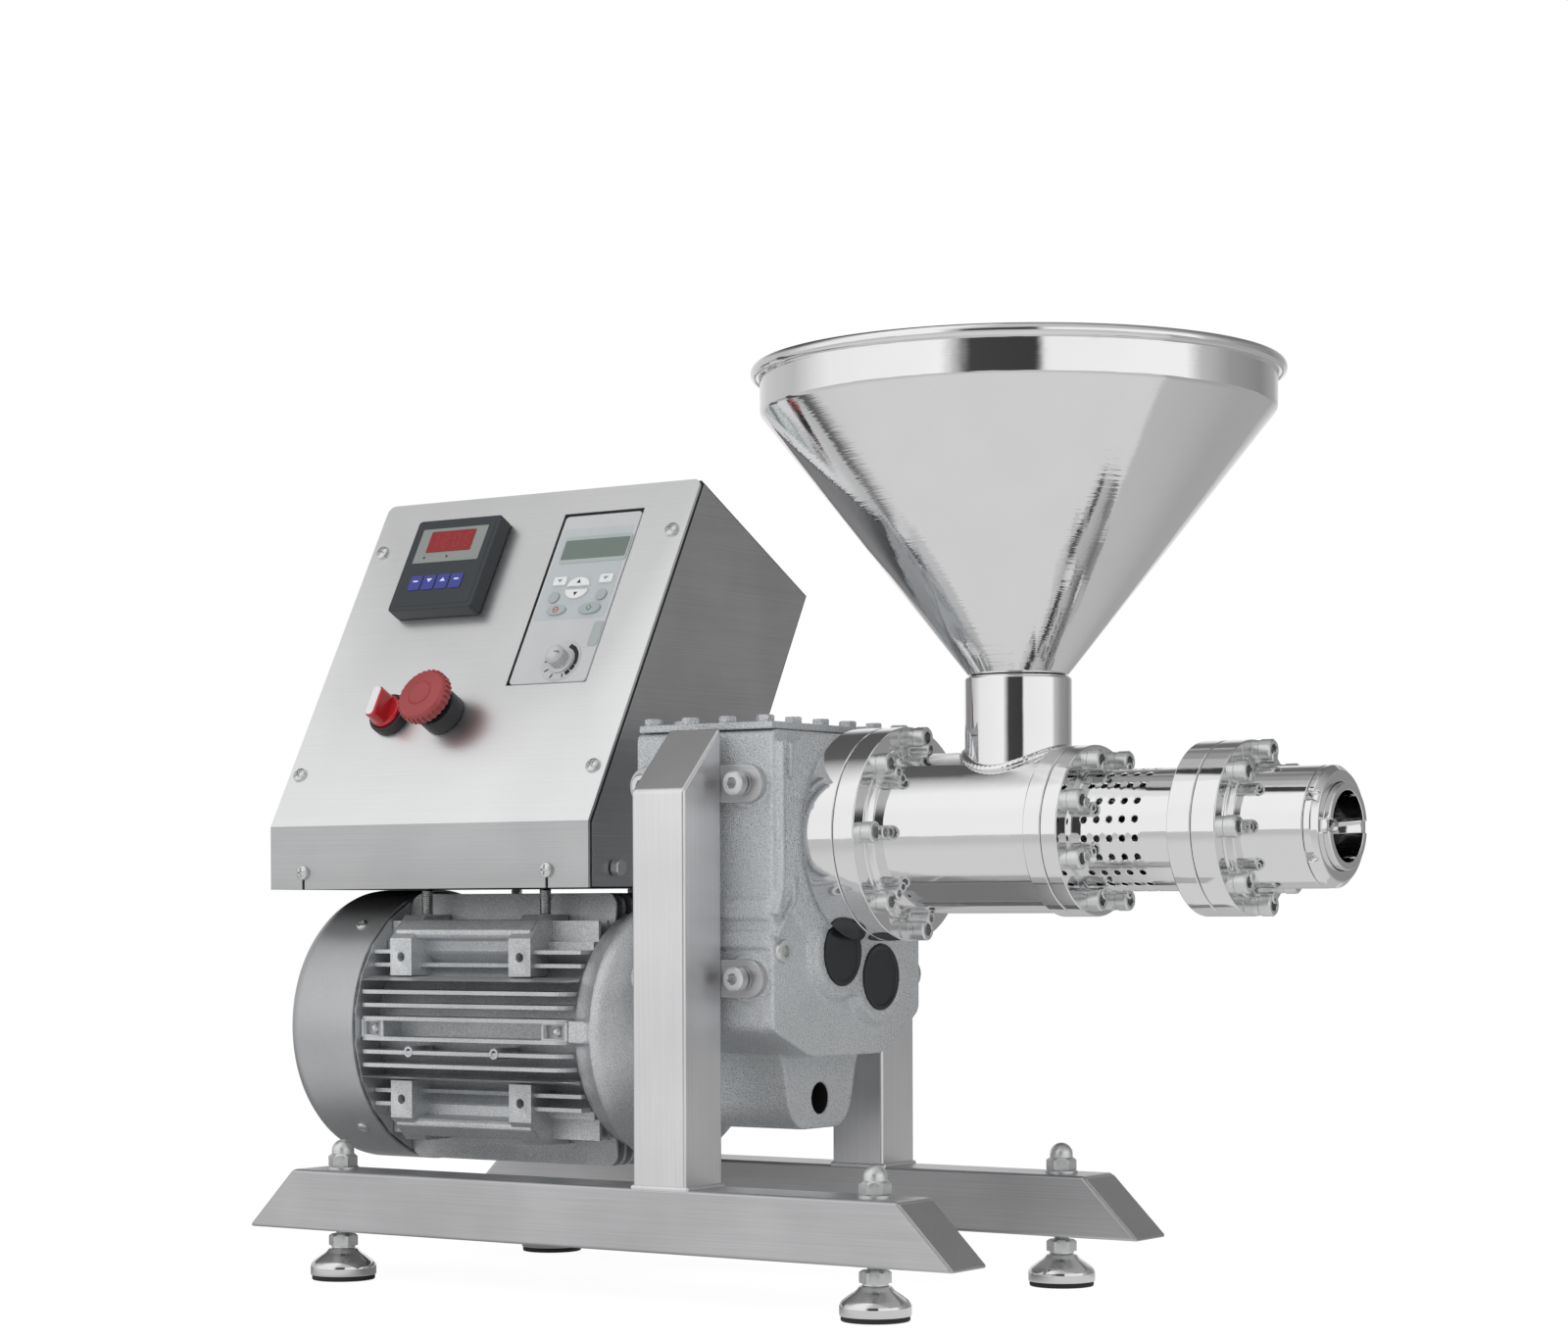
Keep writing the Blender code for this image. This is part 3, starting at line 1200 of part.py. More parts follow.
def rotor_shaft():
    """The rotor's core on its shaft, stepped down for the fan behind and the pinion in front."""
    core_x = MOTOR_LEFT + (MOTOR_LENGTH - STATOR_LENGTH) / 2
    left = REAR_SHIELD_X - FAN_GAP - FAN_HUB_LENGTH
    fan_step = REAR_SHIELD_X - FAN_GAP / 2
    pinion_step = HOUSING_LEFT + FIT
    end = STAGE_1_X + STAGE_1_WIDTH + FIT
    profile = [
        (0, left),
        (FAN_SEAT_RADIUS, left),
        (FAN_SEAT_RADIUS, fan_step),
        (MOTOR_SHAFT_RADIUS, fan_step),
        (MOTOR_SHAFT_RADIUS, core_x),
        (ROTOR_RADIUS, core_x),
        (ROTOR_RADIUS, core_x + STATOR_LENGTH),
        (MOTOR_SHAFT_RADIUS, core_x + STATOR_LENGTH),
        (MOTOR_SHAFT_RADIUS, pinion_step),
        (PINION_SEAT_RADIUS, pinion_step),
        (PINION_SEAT_RADIUS, end),
        (0, end),
    ]
    return turned("rotor_shaft", profile, "X", (0, 0, MOTOR_Z))


def fan():
    """A radial fan: flat blades on a thin disc round the hub."""
    right = REAR_SHIELD_X - FAN_GAP
    left = right - FAN_HUB_LENGTH
    disc_x = right - FAN_DISC_THICKNESS
    bore = FAN_SEAT_RADIUS + FIT
    profile = [
        (bore, left),
        (FAN_HUB_RADIUS, left),
        (FAN_HUB_RADIUS, disc_x),
        (FAN_RADIUS, disc_x),
        (FAN_RADIUS, right),
        (bore, right),
    ]
    wheel = turned("fan", profile, "X", (0, 0, MOTOR_Z))
    for k in range(FAN_BLADES):
        low = (right - FAN_BLADE_WIDTH, -FAN_BLADE_THICKNESS / 2, FAN_HUB_RADIUS - SINK)
        high = (disc_x + SINK, FAN_BLADE_THICKNESS / 2, FAN_RADIUS - SINK)
        turn = Matrix.Rotation(2 * math.pi * (k + 0.25) / FAN_BLADES, 4, "X")
        joined(wheel, moved(box("blade", low, high), Matrix.Translation((0, 0, MOTOR_Z)) @ turn))
    return wheel


def build_motor(machine):
    finished(motor_housing(), "cast_paint", machine)
    finished(motor_drive_shield(), "cast_paint", machine)
    finished(motor_rear_shield(), "cast_paint", machine)
    finished(fan_cowl(), "cowl_paint", machine)
    finished(rotor_shaft(), "steel", machine, (0, *INPUT))
    finished(fan(), "black_plastic", machine, (0, *INPUT))
    stator_x = MOTOR_LEFT + (MOTOR_LENGTH - STATOR_LENGTH) / 2
    stator_outer = MOTOR_BORE_RADIUS - FIT
    stator = ring(
        "stator",
        stator_outer,
        STATOR_BORE_RADIUS,
        stator_x,
        stator_x + STATOR_LENGTH,
        "X",
        (0, 0, MOTOR_Z),
        FINE_SIDES,
    )
    finished(stator, "copper", machine)
    front_x = SHIELD_FLOOR_X + SHIELD_WALL - FIT - FIT - MOTOR_BEARING_WIDTH
    rear_x = MOTOR_LEFT - FIT + REAR_HUB_LENGTH - MOTOR_BEARING_WIDTH
    for name, x in (("motor_bearing_front", front_x), ("motor_bearing_rear", rear_x)):
        radii = MOTOR_BEARING_RADIUS, MOTOR_SHAFT_RADIUS
        finished(bearing(name, *radii, x, MOTOR_BEARING_WIDTH, MOTOR_Z), "steel", machine)


def along_panel(up, out):
    """The (y, z) of a place on the panel, up from its fold and out from its face."""
    place = FOLD + PANEL_UP * up + PANEL_OUT * out
    return (place.y, place.z)


def panel_matrix():
    """Lays a shape made flat, with X across, Y up and Z out, on the panel's face."""
    turn = Matrix.Rotation(math.pi / 2 - LEAN, 4, "X")
    return Matrix.Translation((BOX_LEFT, FOLD.y, FOLD.z)) @ turn


def front_panel():
    """The bent sheet with its cut-outs for the controller, the drive and the two switches."""
    bend = PANEL_SHEET * math.tan(LEAN / 2)
    profile = [
        (LIP_Y, BOX_BOTTOM),
        (LIP_Y, BOX_BOTTOM + LIP_HEIGHT),
        along_panel(PANEL_LENGTH, 0),
        along_panel(PANEL_LENGTH, -PANEL_SHEET),
        (LIP_Y + PANEL_SHEET, BOX_BOTTOM + LIP_HEIGHT - bend),
        (LIP_Y + PANEL_SHEET, BOX_BOTTOM),
    ]
    sheet = extruded("front_panel", profile, BOX_LEFT, BOX_LEFT + BOX_WIDTH, "X")
    place = panel_matrix()
    depth = -PANEL_SHEET - OVERRUN, OVERRUN
    half = CONTROLLER_BODY_SIDE / 2 + FIT
    across, up = CONTROLLER_ACROSS, CONTROLLER_UP
    window = box("window", (across - half, up - half, depth[0]), (across + half, up + half, depth[1]))
    edges = DRIVE_LEFT - FIT, DRIVE_RIGHT + FIT, DRIVE_BOTTOM - FIT, DRIVE_TOP + FIT
    opening = rounded_box(*edges, DRIVE_CORNER_RADIUS + FIT)
    holes = [window, extruded("opening", opening, *depth)]
    thread = ESTOP_THREAD_RADIUS + FIT
    for centre in (ESTOP_PLACE, SELECTOR_PLACE):
        holes.append(cylinder("hole", thread, *depth, centre=(*centre, 0)))
    for left in (0, BOX_WIDTH):
        centre = abs(left - PANEL_CORNER_RADIUS)
        side = 1 if left else -1
        outline = [(left + side * OVERRUN, PANEL_LENGTH + OVERRUN), (centre, PANEL_LENGTH + OVERRUN)]
        edge = arc(PANEL_CORNER_RADIUS, 90, 90 - side * 90, 4, (centre, PANEL_LENGTH - PANEL_CORNER_RADIUS))
        outline += edge + [(left + side * OVERRUN, PANEL_LENGTH - PANEL_CORNER_RADIUS)]
        holes.append(extruded("corner", outline, *depth))
    return cut(sheet, *[moved(hole, place) for hole in holes])


def box_outline(inset=0):
    """The control box seen along X, behind its panel."""
    front = -PANEL_SHEET - FIT
    front_y = LIP_Y + PANEL_SHEET + FIT
    bend = front * -math.tan(LEAN / 2)
    depth = -BOX_DEPTH + inset
    top = PANEL_LENGTH - inset
    back_top = FOLD + PANEL_UP * top + PANEL_OUT * depth
    drop = (back_top.z - BOX_BOTTOM - inset) / PANEL_UP.z
    back_bottom = back_top - PANEL_UP * drop
    return [
        (front_y, BOX_BOTTOM + inset),
        (back_bottom.y, back_bottom.z),
        (back_top.y, back_top.z),
        along_panel(top, front),
        (front_y, BOX_BOTTOM + LIP_HEIGHT - bend),
    ]


def box_body():
    """The sheet box, open towards its panel, on the four rods that stand on the motor's pads."""
    shell = extruded("box_body", box_outline(), BOX_LEFT, BOX_LEFT + BOX_WIDTH, "X")
    outline = box_outline(BOX_SHEET)
    outline[0] = (outline[0][0] - OVERRUN, outline[0][1])
    outline[3] = along_panel(PANEL_LENGTH - BOX_SHEET, OVERRUN)
    outline[4] = (outline[4][0] - OVERRUN, outline[4][1])
    ends = BOX_LEFT + BOX_SHEET, BOX_LEFT + BOX_WIDTH - BOX_SHEET
    cut(shell, extruded("room", outline, *ends, "X"))
    low = MOTOR_Z + PAD_FACE + FIT
    for x in (PAD_LEFT_X, PAD_RIGHT_X):
        for y in (-ROD_HALF_SPACING, ROD_HALF_SPACING):
            ends = low, BOX_BOTTOM + SINK
            joined(shell, cylinder("rod", ROD_RADIUS, *ends, centre=(x, y, 0), sides=SMALL_SIDES))
    return shell


def temperature_controller():
    """A square controller: its bezel on the panel, its display sunk in it, its body behind."""
    half = CONTROLLER_SIDE / 2
    bezel = extruded(
        "temperature_controller",
        rounded_box(-half, half, -half, half, CONTROLLER_CORNER_RADIUS),
        FIT,
        CONTROLLER_PROUD,
    )
    body_half = CONTROLLER_BODY_SIDE / 2
    low = (-body_half, -body_half, -CONTROLLER_BODY_DEPTH)
    high = (body_half, body_half, FIT + SINK)
    joined(bezel, box("body", low, high))
    inner = half - CONTROLLER_RIM
    window = rounded_box(-inner, inner, -inner, inner, CONTROLLER_CORNER_RADIUS)
    depth = CONTROLLER_PROUD - CONTROLLER_RECESS, CONTROLLER_PROUD + OVERRUN
    return cut(bezel, extruded("window", window, *depth))


def key_outline(size, grow=0):
    """A key's outline about its middle: round where its sides are equal, else a rounded box."""
    half_width = size[0] / 2 + grow
    half_height = size[1] / 2 + grow
    if size[0] == size[1]:
        return rounded_box(-half_width, half_width, -half_height, half_height, half_height, 2)
    return rounded_box(-half_width, half_width, -half_height, half_height, KEY_CORNER_RADIUS + grow, 1)


DRIVE_KEYS = {
    "key_up": (UP_KEY, ARROW_KEY_SIZE),
    "key_down": (DOWN_KEY, ARROW_KEY_SIZE),
    "key_menu_left": (LEFT_MENU_KEY, MENU_KEY_SIZE),
    "key_menu_right": (RIGHT_MENU_KEY, MENU_KEY_SIZE),
    "key_round_left": (LEFT_ROUND_KEY, ROUND_KEY_SIZE),
    "key_round_right": (RIGHT_ROUND_KEY, ROUND_KEY_SIZE),
    "key_stop": (STOP_KEY, WIDE_KEY_SIZE),
    "key_start": (START_KEY, WIDE_KEY_SIZE),
}


def drive_unit():
    """The speed drive: its face in the panel's cut-out, a flange behind the sheet and its body."""
    outline = rounded_box(DRIVE_LEFT, DRIVE_RIGHT, DRIVE_BOTTOM, DRIVE_TOP, DRIVE_CORNER_RADIUS)
    unit = extruded("drive_unit", outline, -DRIVE_DEPTH, DRIVE_PROUD)
    back = -PANEL_SHEET - FIT
    low = (DRIVE_LEFT - DRIVE_FLANGE, DRIVE_BOTTOM - DRIVE_FLANGE, back - DRIVE_FLANGE_THICKNESS)
    high = (DRIVE_RIGHT + DRIVE_FLANGE, DRIVE_TOP + DRIVE_FLANGE, back)
    joined(unit, box("flange", low, high))
    knob = (*DRIVE_KNOB_PLACE, 0)
    post_top = DRIVE_PROUD + DRIVE_POST_HEIGHT
    joined(unit, cylinder("post", DRIVE_POST_RADIUS, 0, post_top, centre=knob, sides=SMALL_SIDES))
    half_width = DISPLAY_WIDTH / 2
    half_height = DISPLAY_HEIGHT / 2
    glass = rounded_box(-half_width, half_width, -half_height, half_height, KEY_CORNER_RADIUS)
    window = shifted(glass, DISPLAY_ACROSS, DISPLAY_UP)
    cut(unit, extruded("window", window, DRIVE_PROUD - DISPLAY_RECESS, DRIVE_PROUD + OVERRUN))
    for place, size in DRIVE_KEYS.values():
        pocket = shifted(key_outline(size, FIT), *place)
        cut(unit, extruded("pocket", pocket, DRIVE_PROUD - KEY_POCKET_DEPTH, DRIVE_PROUD + OVERRUN))
    return unit


def drive_knob():
    """The speed knob: a ribbed cap over the drive's post."""
    base = DRIVE_PROUD + FIT
    top = base + DRIVE_KNOB_HEIGHT
    bore = DRIVE_POST_RADIUS + FIT
    ceiling = DRIVE_PROUD + DRIVE_POST_HEIGHT + FIT
    rim = DRIVE_KNOB_RADIUS - SINK
    profile = [
        (bore, base),
        (DRIVE_KNOB_RADIUS, base),
        (rim, top - SINK),
        (rim - SINK, top),
        (0, top),
        (0, ceiling),
        (bore, ceiling),
    ]
    return turned("drive_knob", profile)


def estop_collar():
    """The black collar on the panel and its threaded tube through the hole."""
    bore = ESTOP_STEM_RADIUS + FIT
    profile = [
        (bore, -ESTOP_THREAD_DEPTH),
        (ESTOP_THREAD_RADIUS, -ESTOP_THREAD_DEPTH),
        (ESTOP_THREAD_RADIUS, FIT),
        (ESTOP_COLLAR_RADIUS, FIT),
        (ESTOP_COLLAR_RADIUS, ESTOP_COLLAR_HEIGHT - SINK),
        (ESTOP_COLLAR_RADIUS - SINK, ESTOP_COLLAR_HEIGHT),
        (bore, ESTOP_COLLAR_HEIGHT),
    ]
    return turned("estop_collar", profile)


def estop_stem():
    """The plunger under the mushroom head, with the spigot that the head turns on."""
    head_x = ESTOP_HEAD_FACE - ESTOP_HEAD_THICKNESS - FIT
    profile = [
        (0, -ESTOP_STEM_DEPTH),
        (ESTOP_STEM_RADIUS, -ESTOP_STEM_DEPTH),
        (ESTOP_STEM_RADIUS, head_x),
        (ESTOP_SPIGOT_RADIUS, head_x),
        (ESTOP_SPIGOT_RADIUS, head_x + ESTOP_SPIGOT_LENGTH),
        (0, head_x + ESTOP_SPIGOT_LENGTH),
    ]
    return turned("estop_stem", profile)


def estop_head():
    """The red mushroom head, bored for its spigot."""
    base = ESTOP_HEAD_FACE - ESTOP_HEAD_THICKNESS
    bore = ESTOP_SPIGOT_RADIUS + FIT
    ceiling = base + ESTOP_SPIGOT_LENGTH
    profile = [(bore, base)]
    profile += [(ESTOP_HEAD_RADIUS * r, base + ESTOP_HEAD_THICKNESS * h) for h, r in ESTOP_HEAD_SHARES]
    profile += [(0, ESTOP_HEAD_FACE), (0, ceiling), (bore, ceiling)]
    return turned("estop_head", profile)


def selector_bezel():
    bore = SELECTOR_SHAFT_RADIUS + FIT
    profile = [
        (bore, -SELECTOR_THREAD_DEPTH),
        (ESTOP_THREAD_RADIUS, -SELECTOR_THREAD_DEPTH),
        (ESTOP_THREAD_RADIUS, FIT),
        (SELECTOR_BEZEL_RADIUS, FIT),
        (SELECTOR_BEZEL_RADIUS, SELECTOR_BEZEL_HEIGHT - SINK),
        (SELECTOR_BEZEL_RADIUS - SINK, SELECTOR_BEZEL_HEIGHT),
        (bore, SELECTOR_BEZEL_HEIGHT),
    ]
    return turned("selector_bezel", profile)


def selector_knob():
    """The round knob with the bar that is gripped to turn it."""
    base = SELECTOR_BEZEL_HEIGHT + FIT
    top = base + SELECTOR_KNOB_HEIGHT
    profile = [
        (0, -SELECTOR_THREAD_DEPTH),
        (SELECTOR_SHAFT_RADIUS, -SELECTOR_THREAD_DEPTH),
        (SELECTOR_SHAFT_RADIUS, base),
        (SELECTOR_KNOB_RADIUS, base),
        (SELECTOR_KNOB_RADIUS, top - SINK),
        (SELECTOR_KNOB_RADIUS - SINK, top),
        (0, top),
    ]
    knob = turned("selector_knob", profile)
    bar = slot_outline(2 * SELECTOR_KNOB_RADIUS - SINK, SELECTOR_HANDLE_WIDTH)
    upright = [(-b, a) for a, b in bar]
    return joined(knob, extruded("bar", upright, top - SINK, SELECTOR_FACE))


def build_control_box(machine):
    finished(front_panel(), "brushed", machine)
    finished(box_body(), "brushed", machine)
    panel = bpy.data.objects.new("panel_frame", None)
    bpy.context.scene.collection.objects.link(panel)
    panel.parent = machine
    panel.matrix_local = panel_matrix()
    finished(drive_unit(), "white_plastic", panel)
    placed = (
        (temperature_controller(), "black_plastic", (CONTROLLER_ACROSS, CONTROLLER_UP)),
        (drive_knob(), "black_plastic", DRIVE_KNOB_PLACE),
        (estop_collar(), "black_plastic", ESTOP_PLACE),
        (estop_stem(), "black_plastic", ESTOP_PLACE),
        (estop_head(), "red_plastic", ESTOP_PLACE),
        (selector_bezel(), "black_plastic", SELECTOR_PLACE),
        (selector_knob(), "red_plastic", SELECTOR_PLACE),
    )
    for piece, finish, place in placed:
        finished(piece, finish, panel)
        piece.location = (*place, 0)
    for name, (place, size) in DRIVE_KEYS.items():
        foot = DRIVE_PROUD - KEY_POCKET_DEPTH + KEY_STOP_GAP
        key = extruded(name, key_outline(size), foot, DRIVE_PROUD + KEY_PROUD)
        finished(key, "white_plastic", panel)
        key.location = (*place, 0)


def main():
    clear_scene()
    machine = bpy.data.objects.new("machine_frame", None)
    bpy.context.scene.collection.objects.link(machine)
    machine.location = (-MACHINE_CENTRE_X, -MACHINE_CENTRE_Y, 0)
    build_frame(machine)
    build_gearbox(machine)
    build_barrel(machine)
    build_motor(machine)
    build_control_box(machine)


main()
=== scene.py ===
"""The looks of the screw oil press: its castings, polished barrel, brushed sheet and panel.

Metres, +Z up. Sizes are given in the machine's own place: X from the posts' left face, Y from the
barrel's middle plane and Z from the floor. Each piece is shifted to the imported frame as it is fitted.
"""

import math

import bmesh
import bpy
from mathutils import Matrix, Vector


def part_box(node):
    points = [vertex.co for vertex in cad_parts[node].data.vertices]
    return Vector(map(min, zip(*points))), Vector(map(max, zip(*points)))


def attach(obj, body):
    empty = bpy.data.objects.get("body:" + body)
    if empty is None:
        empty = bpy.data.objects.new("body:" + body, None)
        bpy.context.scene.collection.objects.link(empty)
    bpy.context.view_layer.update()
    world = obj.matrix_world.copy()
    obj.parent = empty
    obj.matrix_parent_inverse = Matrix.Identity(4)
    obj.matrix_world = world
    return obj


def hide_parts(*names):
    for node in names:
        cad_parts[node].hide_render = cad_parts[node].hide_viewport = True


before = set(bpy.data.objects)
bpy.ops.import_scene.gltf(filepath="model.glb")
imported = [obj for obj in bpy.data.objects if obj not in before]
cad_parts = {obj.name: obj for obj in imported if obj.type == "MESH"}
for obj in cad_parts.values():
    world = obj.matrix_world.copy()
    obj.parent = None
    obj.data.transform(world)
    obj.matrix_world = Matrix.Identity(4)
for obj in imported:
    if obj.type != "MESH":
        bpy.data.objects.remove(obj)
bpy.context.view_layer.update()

BARREL_LOW, BARREL_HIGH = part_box("adapter_flange")

SIDES = 96
SMALL_SIDES = 48
FINE_SIDES = 128
FIT = 0.0003

# Camera, from the photograph
CAMERA_PLACE = Vector((1.2515, -1.7968, 0.2453))
CAMERA_YAW = 34.34
CAMERA_PITCH = -0.62
CAMERA_ROLL = -0.18
CAMERA_LENS = 77.334
CAMERA_SHIFT_UP = 0.17597

# Frame
TUBE = 0.040
TUBE_CORNER = 0.0022
SKID_Y = 0.1118
SKID_LEFT = -0.3226
SKID_RIGHT = 0.2323
SKID_BOTTOM = 0.0334
SKID_TOP = 0.0734
POST_LOW_TOP = 0.3183
STRAP_LENGTH = 0.102
STRAP_HEIGHT = 0.024
STRAP_THICKNESS = 0.0058
STRAP_HEIGHTS = (0.323, 0.2022)
STRAP_SCREW_REACH = 0.035
FOOT_XS = {"left": -0.2558, "right": 0.1655}
FOOT_YS = {"front": -SKID_Y, "rear": SKID_Y}
FOOT_RADIUS = 0.0217
FOOT_PAD = 0.005
FOOT_DOME = 0.0158
FOOT_DOME_SHARES = ((1.0, 0.0), (1.0, 0.28), (0.93, 0.45), (0.72, 0.66), (0.52, 0.84), (0.44, 1.0))
HEX_FLATS = 0.017
STEM_RADIUS = 0.005

# Gearbox
BOX_LEFT_X = -0.0306
BOX_RIGHT_X = 0.0744
BOX_HALF = 0.0857
BOX_TOP = 0.3566
COVER_THICKNESS = 0.0047
BOX_FRONT_BOTTOM = 0.170
BOX_REAR_BOTTOM = 0.178
BOX_FLOOR = 0.152
FLOOR_HALF = 0.042
LUG_LOW = 0.1046
LUG_HALF = 0.030
LUG_HOLE_Z = 0.124
RIB_WIDTH = 0.0040
RIB_PROUD = 0.0048
MOTOR_Z = 0.1663
BARREL_Z = 0.2922
MOTOR_AXIS = (0, 0, MOTOR_Z)
BARREL_AXIS = (0, 0, BARREL_Z)
CAP_PLACES = {"far": (0.0286, 0.2015), "near": (-0.0161, 0.2178)}
CAP_RADIUS = 0.021
CAP_FACE = 0.0808
CAP_BOSS_FACE = 0.0800

# Barrel, along X
ADAPTER_ENDS = (0.0841, 0.1058)
ORIGIN = Vector((BARREL_LOW.x - ADAPTER_ENDS[0], (BARREL_LOW.y + BARREL_HIGH.y) / 2, 0))
BARREL_FLANGE_ENDS = (0.1061, 0.1213)
FLANGE_RADIUS = 0.0673
BARREL_RADIUS = 0.050
BARREL_END = 0.2443
BARREL_COLLAR_RADIUS = 0.0522
NECK_X = 0.1994
NECK_RADIUS = 0.033
NECK_BORE = 0.029
NECK_TOP = 0.388
BORE_RADIUS = 0.0313
CAGE_ENDS = (0.2446, 0.2555, 0.3290, 0.3445)
CAGE_FLANGE_RADIUS = 0.0522
CAGE_RADIUS = 0.037
CAGE_HOLE_PITCH = 0.0086
CAGE_HOLES_FROM = 0.0055
CAGE_HOLE_RADIUS = 0.0021
CAGE_ROWS = 20
CAGE_COLUMNS = 5
HEAD_ENDS = (0.3448, 0.3605, 0.4080)
HEAD_RADIUS = 0.036
NUT_ENDS = (0.4083, 0.4164)
SLEEVE_ENDS = (0.3875, 0.4205)
SLEEVE_RADIUS = 0.0256
SLEEVE_BORE = 0.021
ADAPTER_BORE = 0.018

# Hopper
HOPPER_FOOT_Z = 0.3883
HOPPER_BAND_Z = 0.5500
HOPPER_TOP = 0.5779
HOPPER_RADIUS = 0.1588
HOPPER_FOOT_RADIUS = 0.0307
HOPPER_BEAD = 0.0057
HOPPER_BEAD_HEIGHT = 0.0075
HOPPER_SHEET = 0.0015
SPIGOT_LENGTH = 0.016

# Motor
MOTOR_LEFT = -0.2625
MOTOR_RIGHT = -0.0863
FIN_ROOT = 0.068
FIN_CORNER = 0.077
FIN_TIP = 0.090
FIN_THICKNESS = 0.0026
FIN_PITCH = 0.0089
FIN_CHANNEL = 0.0135
FINS_PER_HALF = 6
RAIL_RADIUS = 0.082
PAD_FACE = 0.0758
PAD_EDGE = 0.0353
PAD_CORNER = 0.0602
PAD_ROOT = 0.050
PAD_LENGTH = 0.0185
PAD_HOLE_RADIUS = 0.0032
PAD_XS = (-0.2357, -0.1339)
SHIELD_ENDS = (-0.0860, -0.0309)
SHIELD_RADIUS = 0.088
SHIELD_SHARES = ((0.0, 0.91), (0.20, 0.93), (0.36, 1.0), (0.46, 1.0), (0.66, 0.915), (0.86, 0.76),
                 (1.0, 0.652))
COWL_ENDS = (-0.3264, -0.2643)
COWL_RADIUS = 0.093
COWL_FLAT = 0.0780
COWL_CORNER = 0.015
COWL_SHEET = 0.0015

# Control box
BOX_LEFT = -0.3448
BOX_WIDTH = 0.2749
BOX_BOTTOM = 0.2596
LIP_Y = -0.0848
LIP_HEIGHT = 0.0431
PANEL_LENGTH = 0.2637
LEAN = math.radians(28.56)
BOX_DEPTH = 0.145
PANEL_SHEET = 0.002
SEAM = 0.0032
ROD_RADIUS = 0.004
ROD_Y = 0.0482
PANEL_UP = Vector((0, math.sin(LEAN), math.cos(LEAN)))
PANEL_OUT = Vector((0, -math.cos(LEAN), math.sin(LEAN)))
FOLD = Vector((0, LIP_Y, BOX_BOTTOM + LIP_HEIGHT))
PANEL = Matrix.Translation((BOX_LEFT, FOLD.y, FOLD.z)) @ Matrix.Rotation(math.pi / 2 - LEAN, 4, "X")
CONTROLLER_PLACE = (0.084, 0.202)
CONTROLLER_SIDE = 0.075
CONTROLLER_PROUD = 0.012
DRIVE_SPAN = (0.1695, 0.2343, 0.106, 0.2406)
DRIVE_PROUD = 0.0012
DISPLAY_PLACE = (0.20525, 0.2118)
DISPLAY_SIZE = (0.0545, 0.0156)
KNOB_PLACE = (0.209, 0.1222)
ESTOP_PLACE = (0.122, 0.0845)
SELECTOR_PLACE = (0.075, 0.085)


class Shade:
    """A socket of a node tree; arithmetic on it adds Math nodes."""

    def __init__(self, finish, socket):
        self.finish = finish
        self.socket = socket

    def maths(self, operation, *values):
        return self.finish.node("ShaderNodeMath", {"operation": operation}, dict(enumerate(values)))

    def __add__(self, other):
        return self.maths("ADD", self, other)

    def __sub__(self, other):
        return self.maths("SUBTRACT", self, other)

    def __rsub__(self, other):
        return self.maths("SUBTRACT", other, self)

    def __mul__(self, other):
        return self.maths("MULTIPLY", self, other)

    def __truediv__(self, other):
        return self.maths("DIVIDE", self, other)

    __radd__ = __add__
    __rmul__ = __mul__

    def eased(self, low, high, start=0.0, end=1.0):
        """This value, eased from start to end as it goes from low to high."""
        settings = {"interpolation_type": "SMOOTHSTEP"}
        return self.finish.node("ShaderNodeMapRange", settings,
                                {0: self, 1: low, 2: high, 3: start, 4: end})


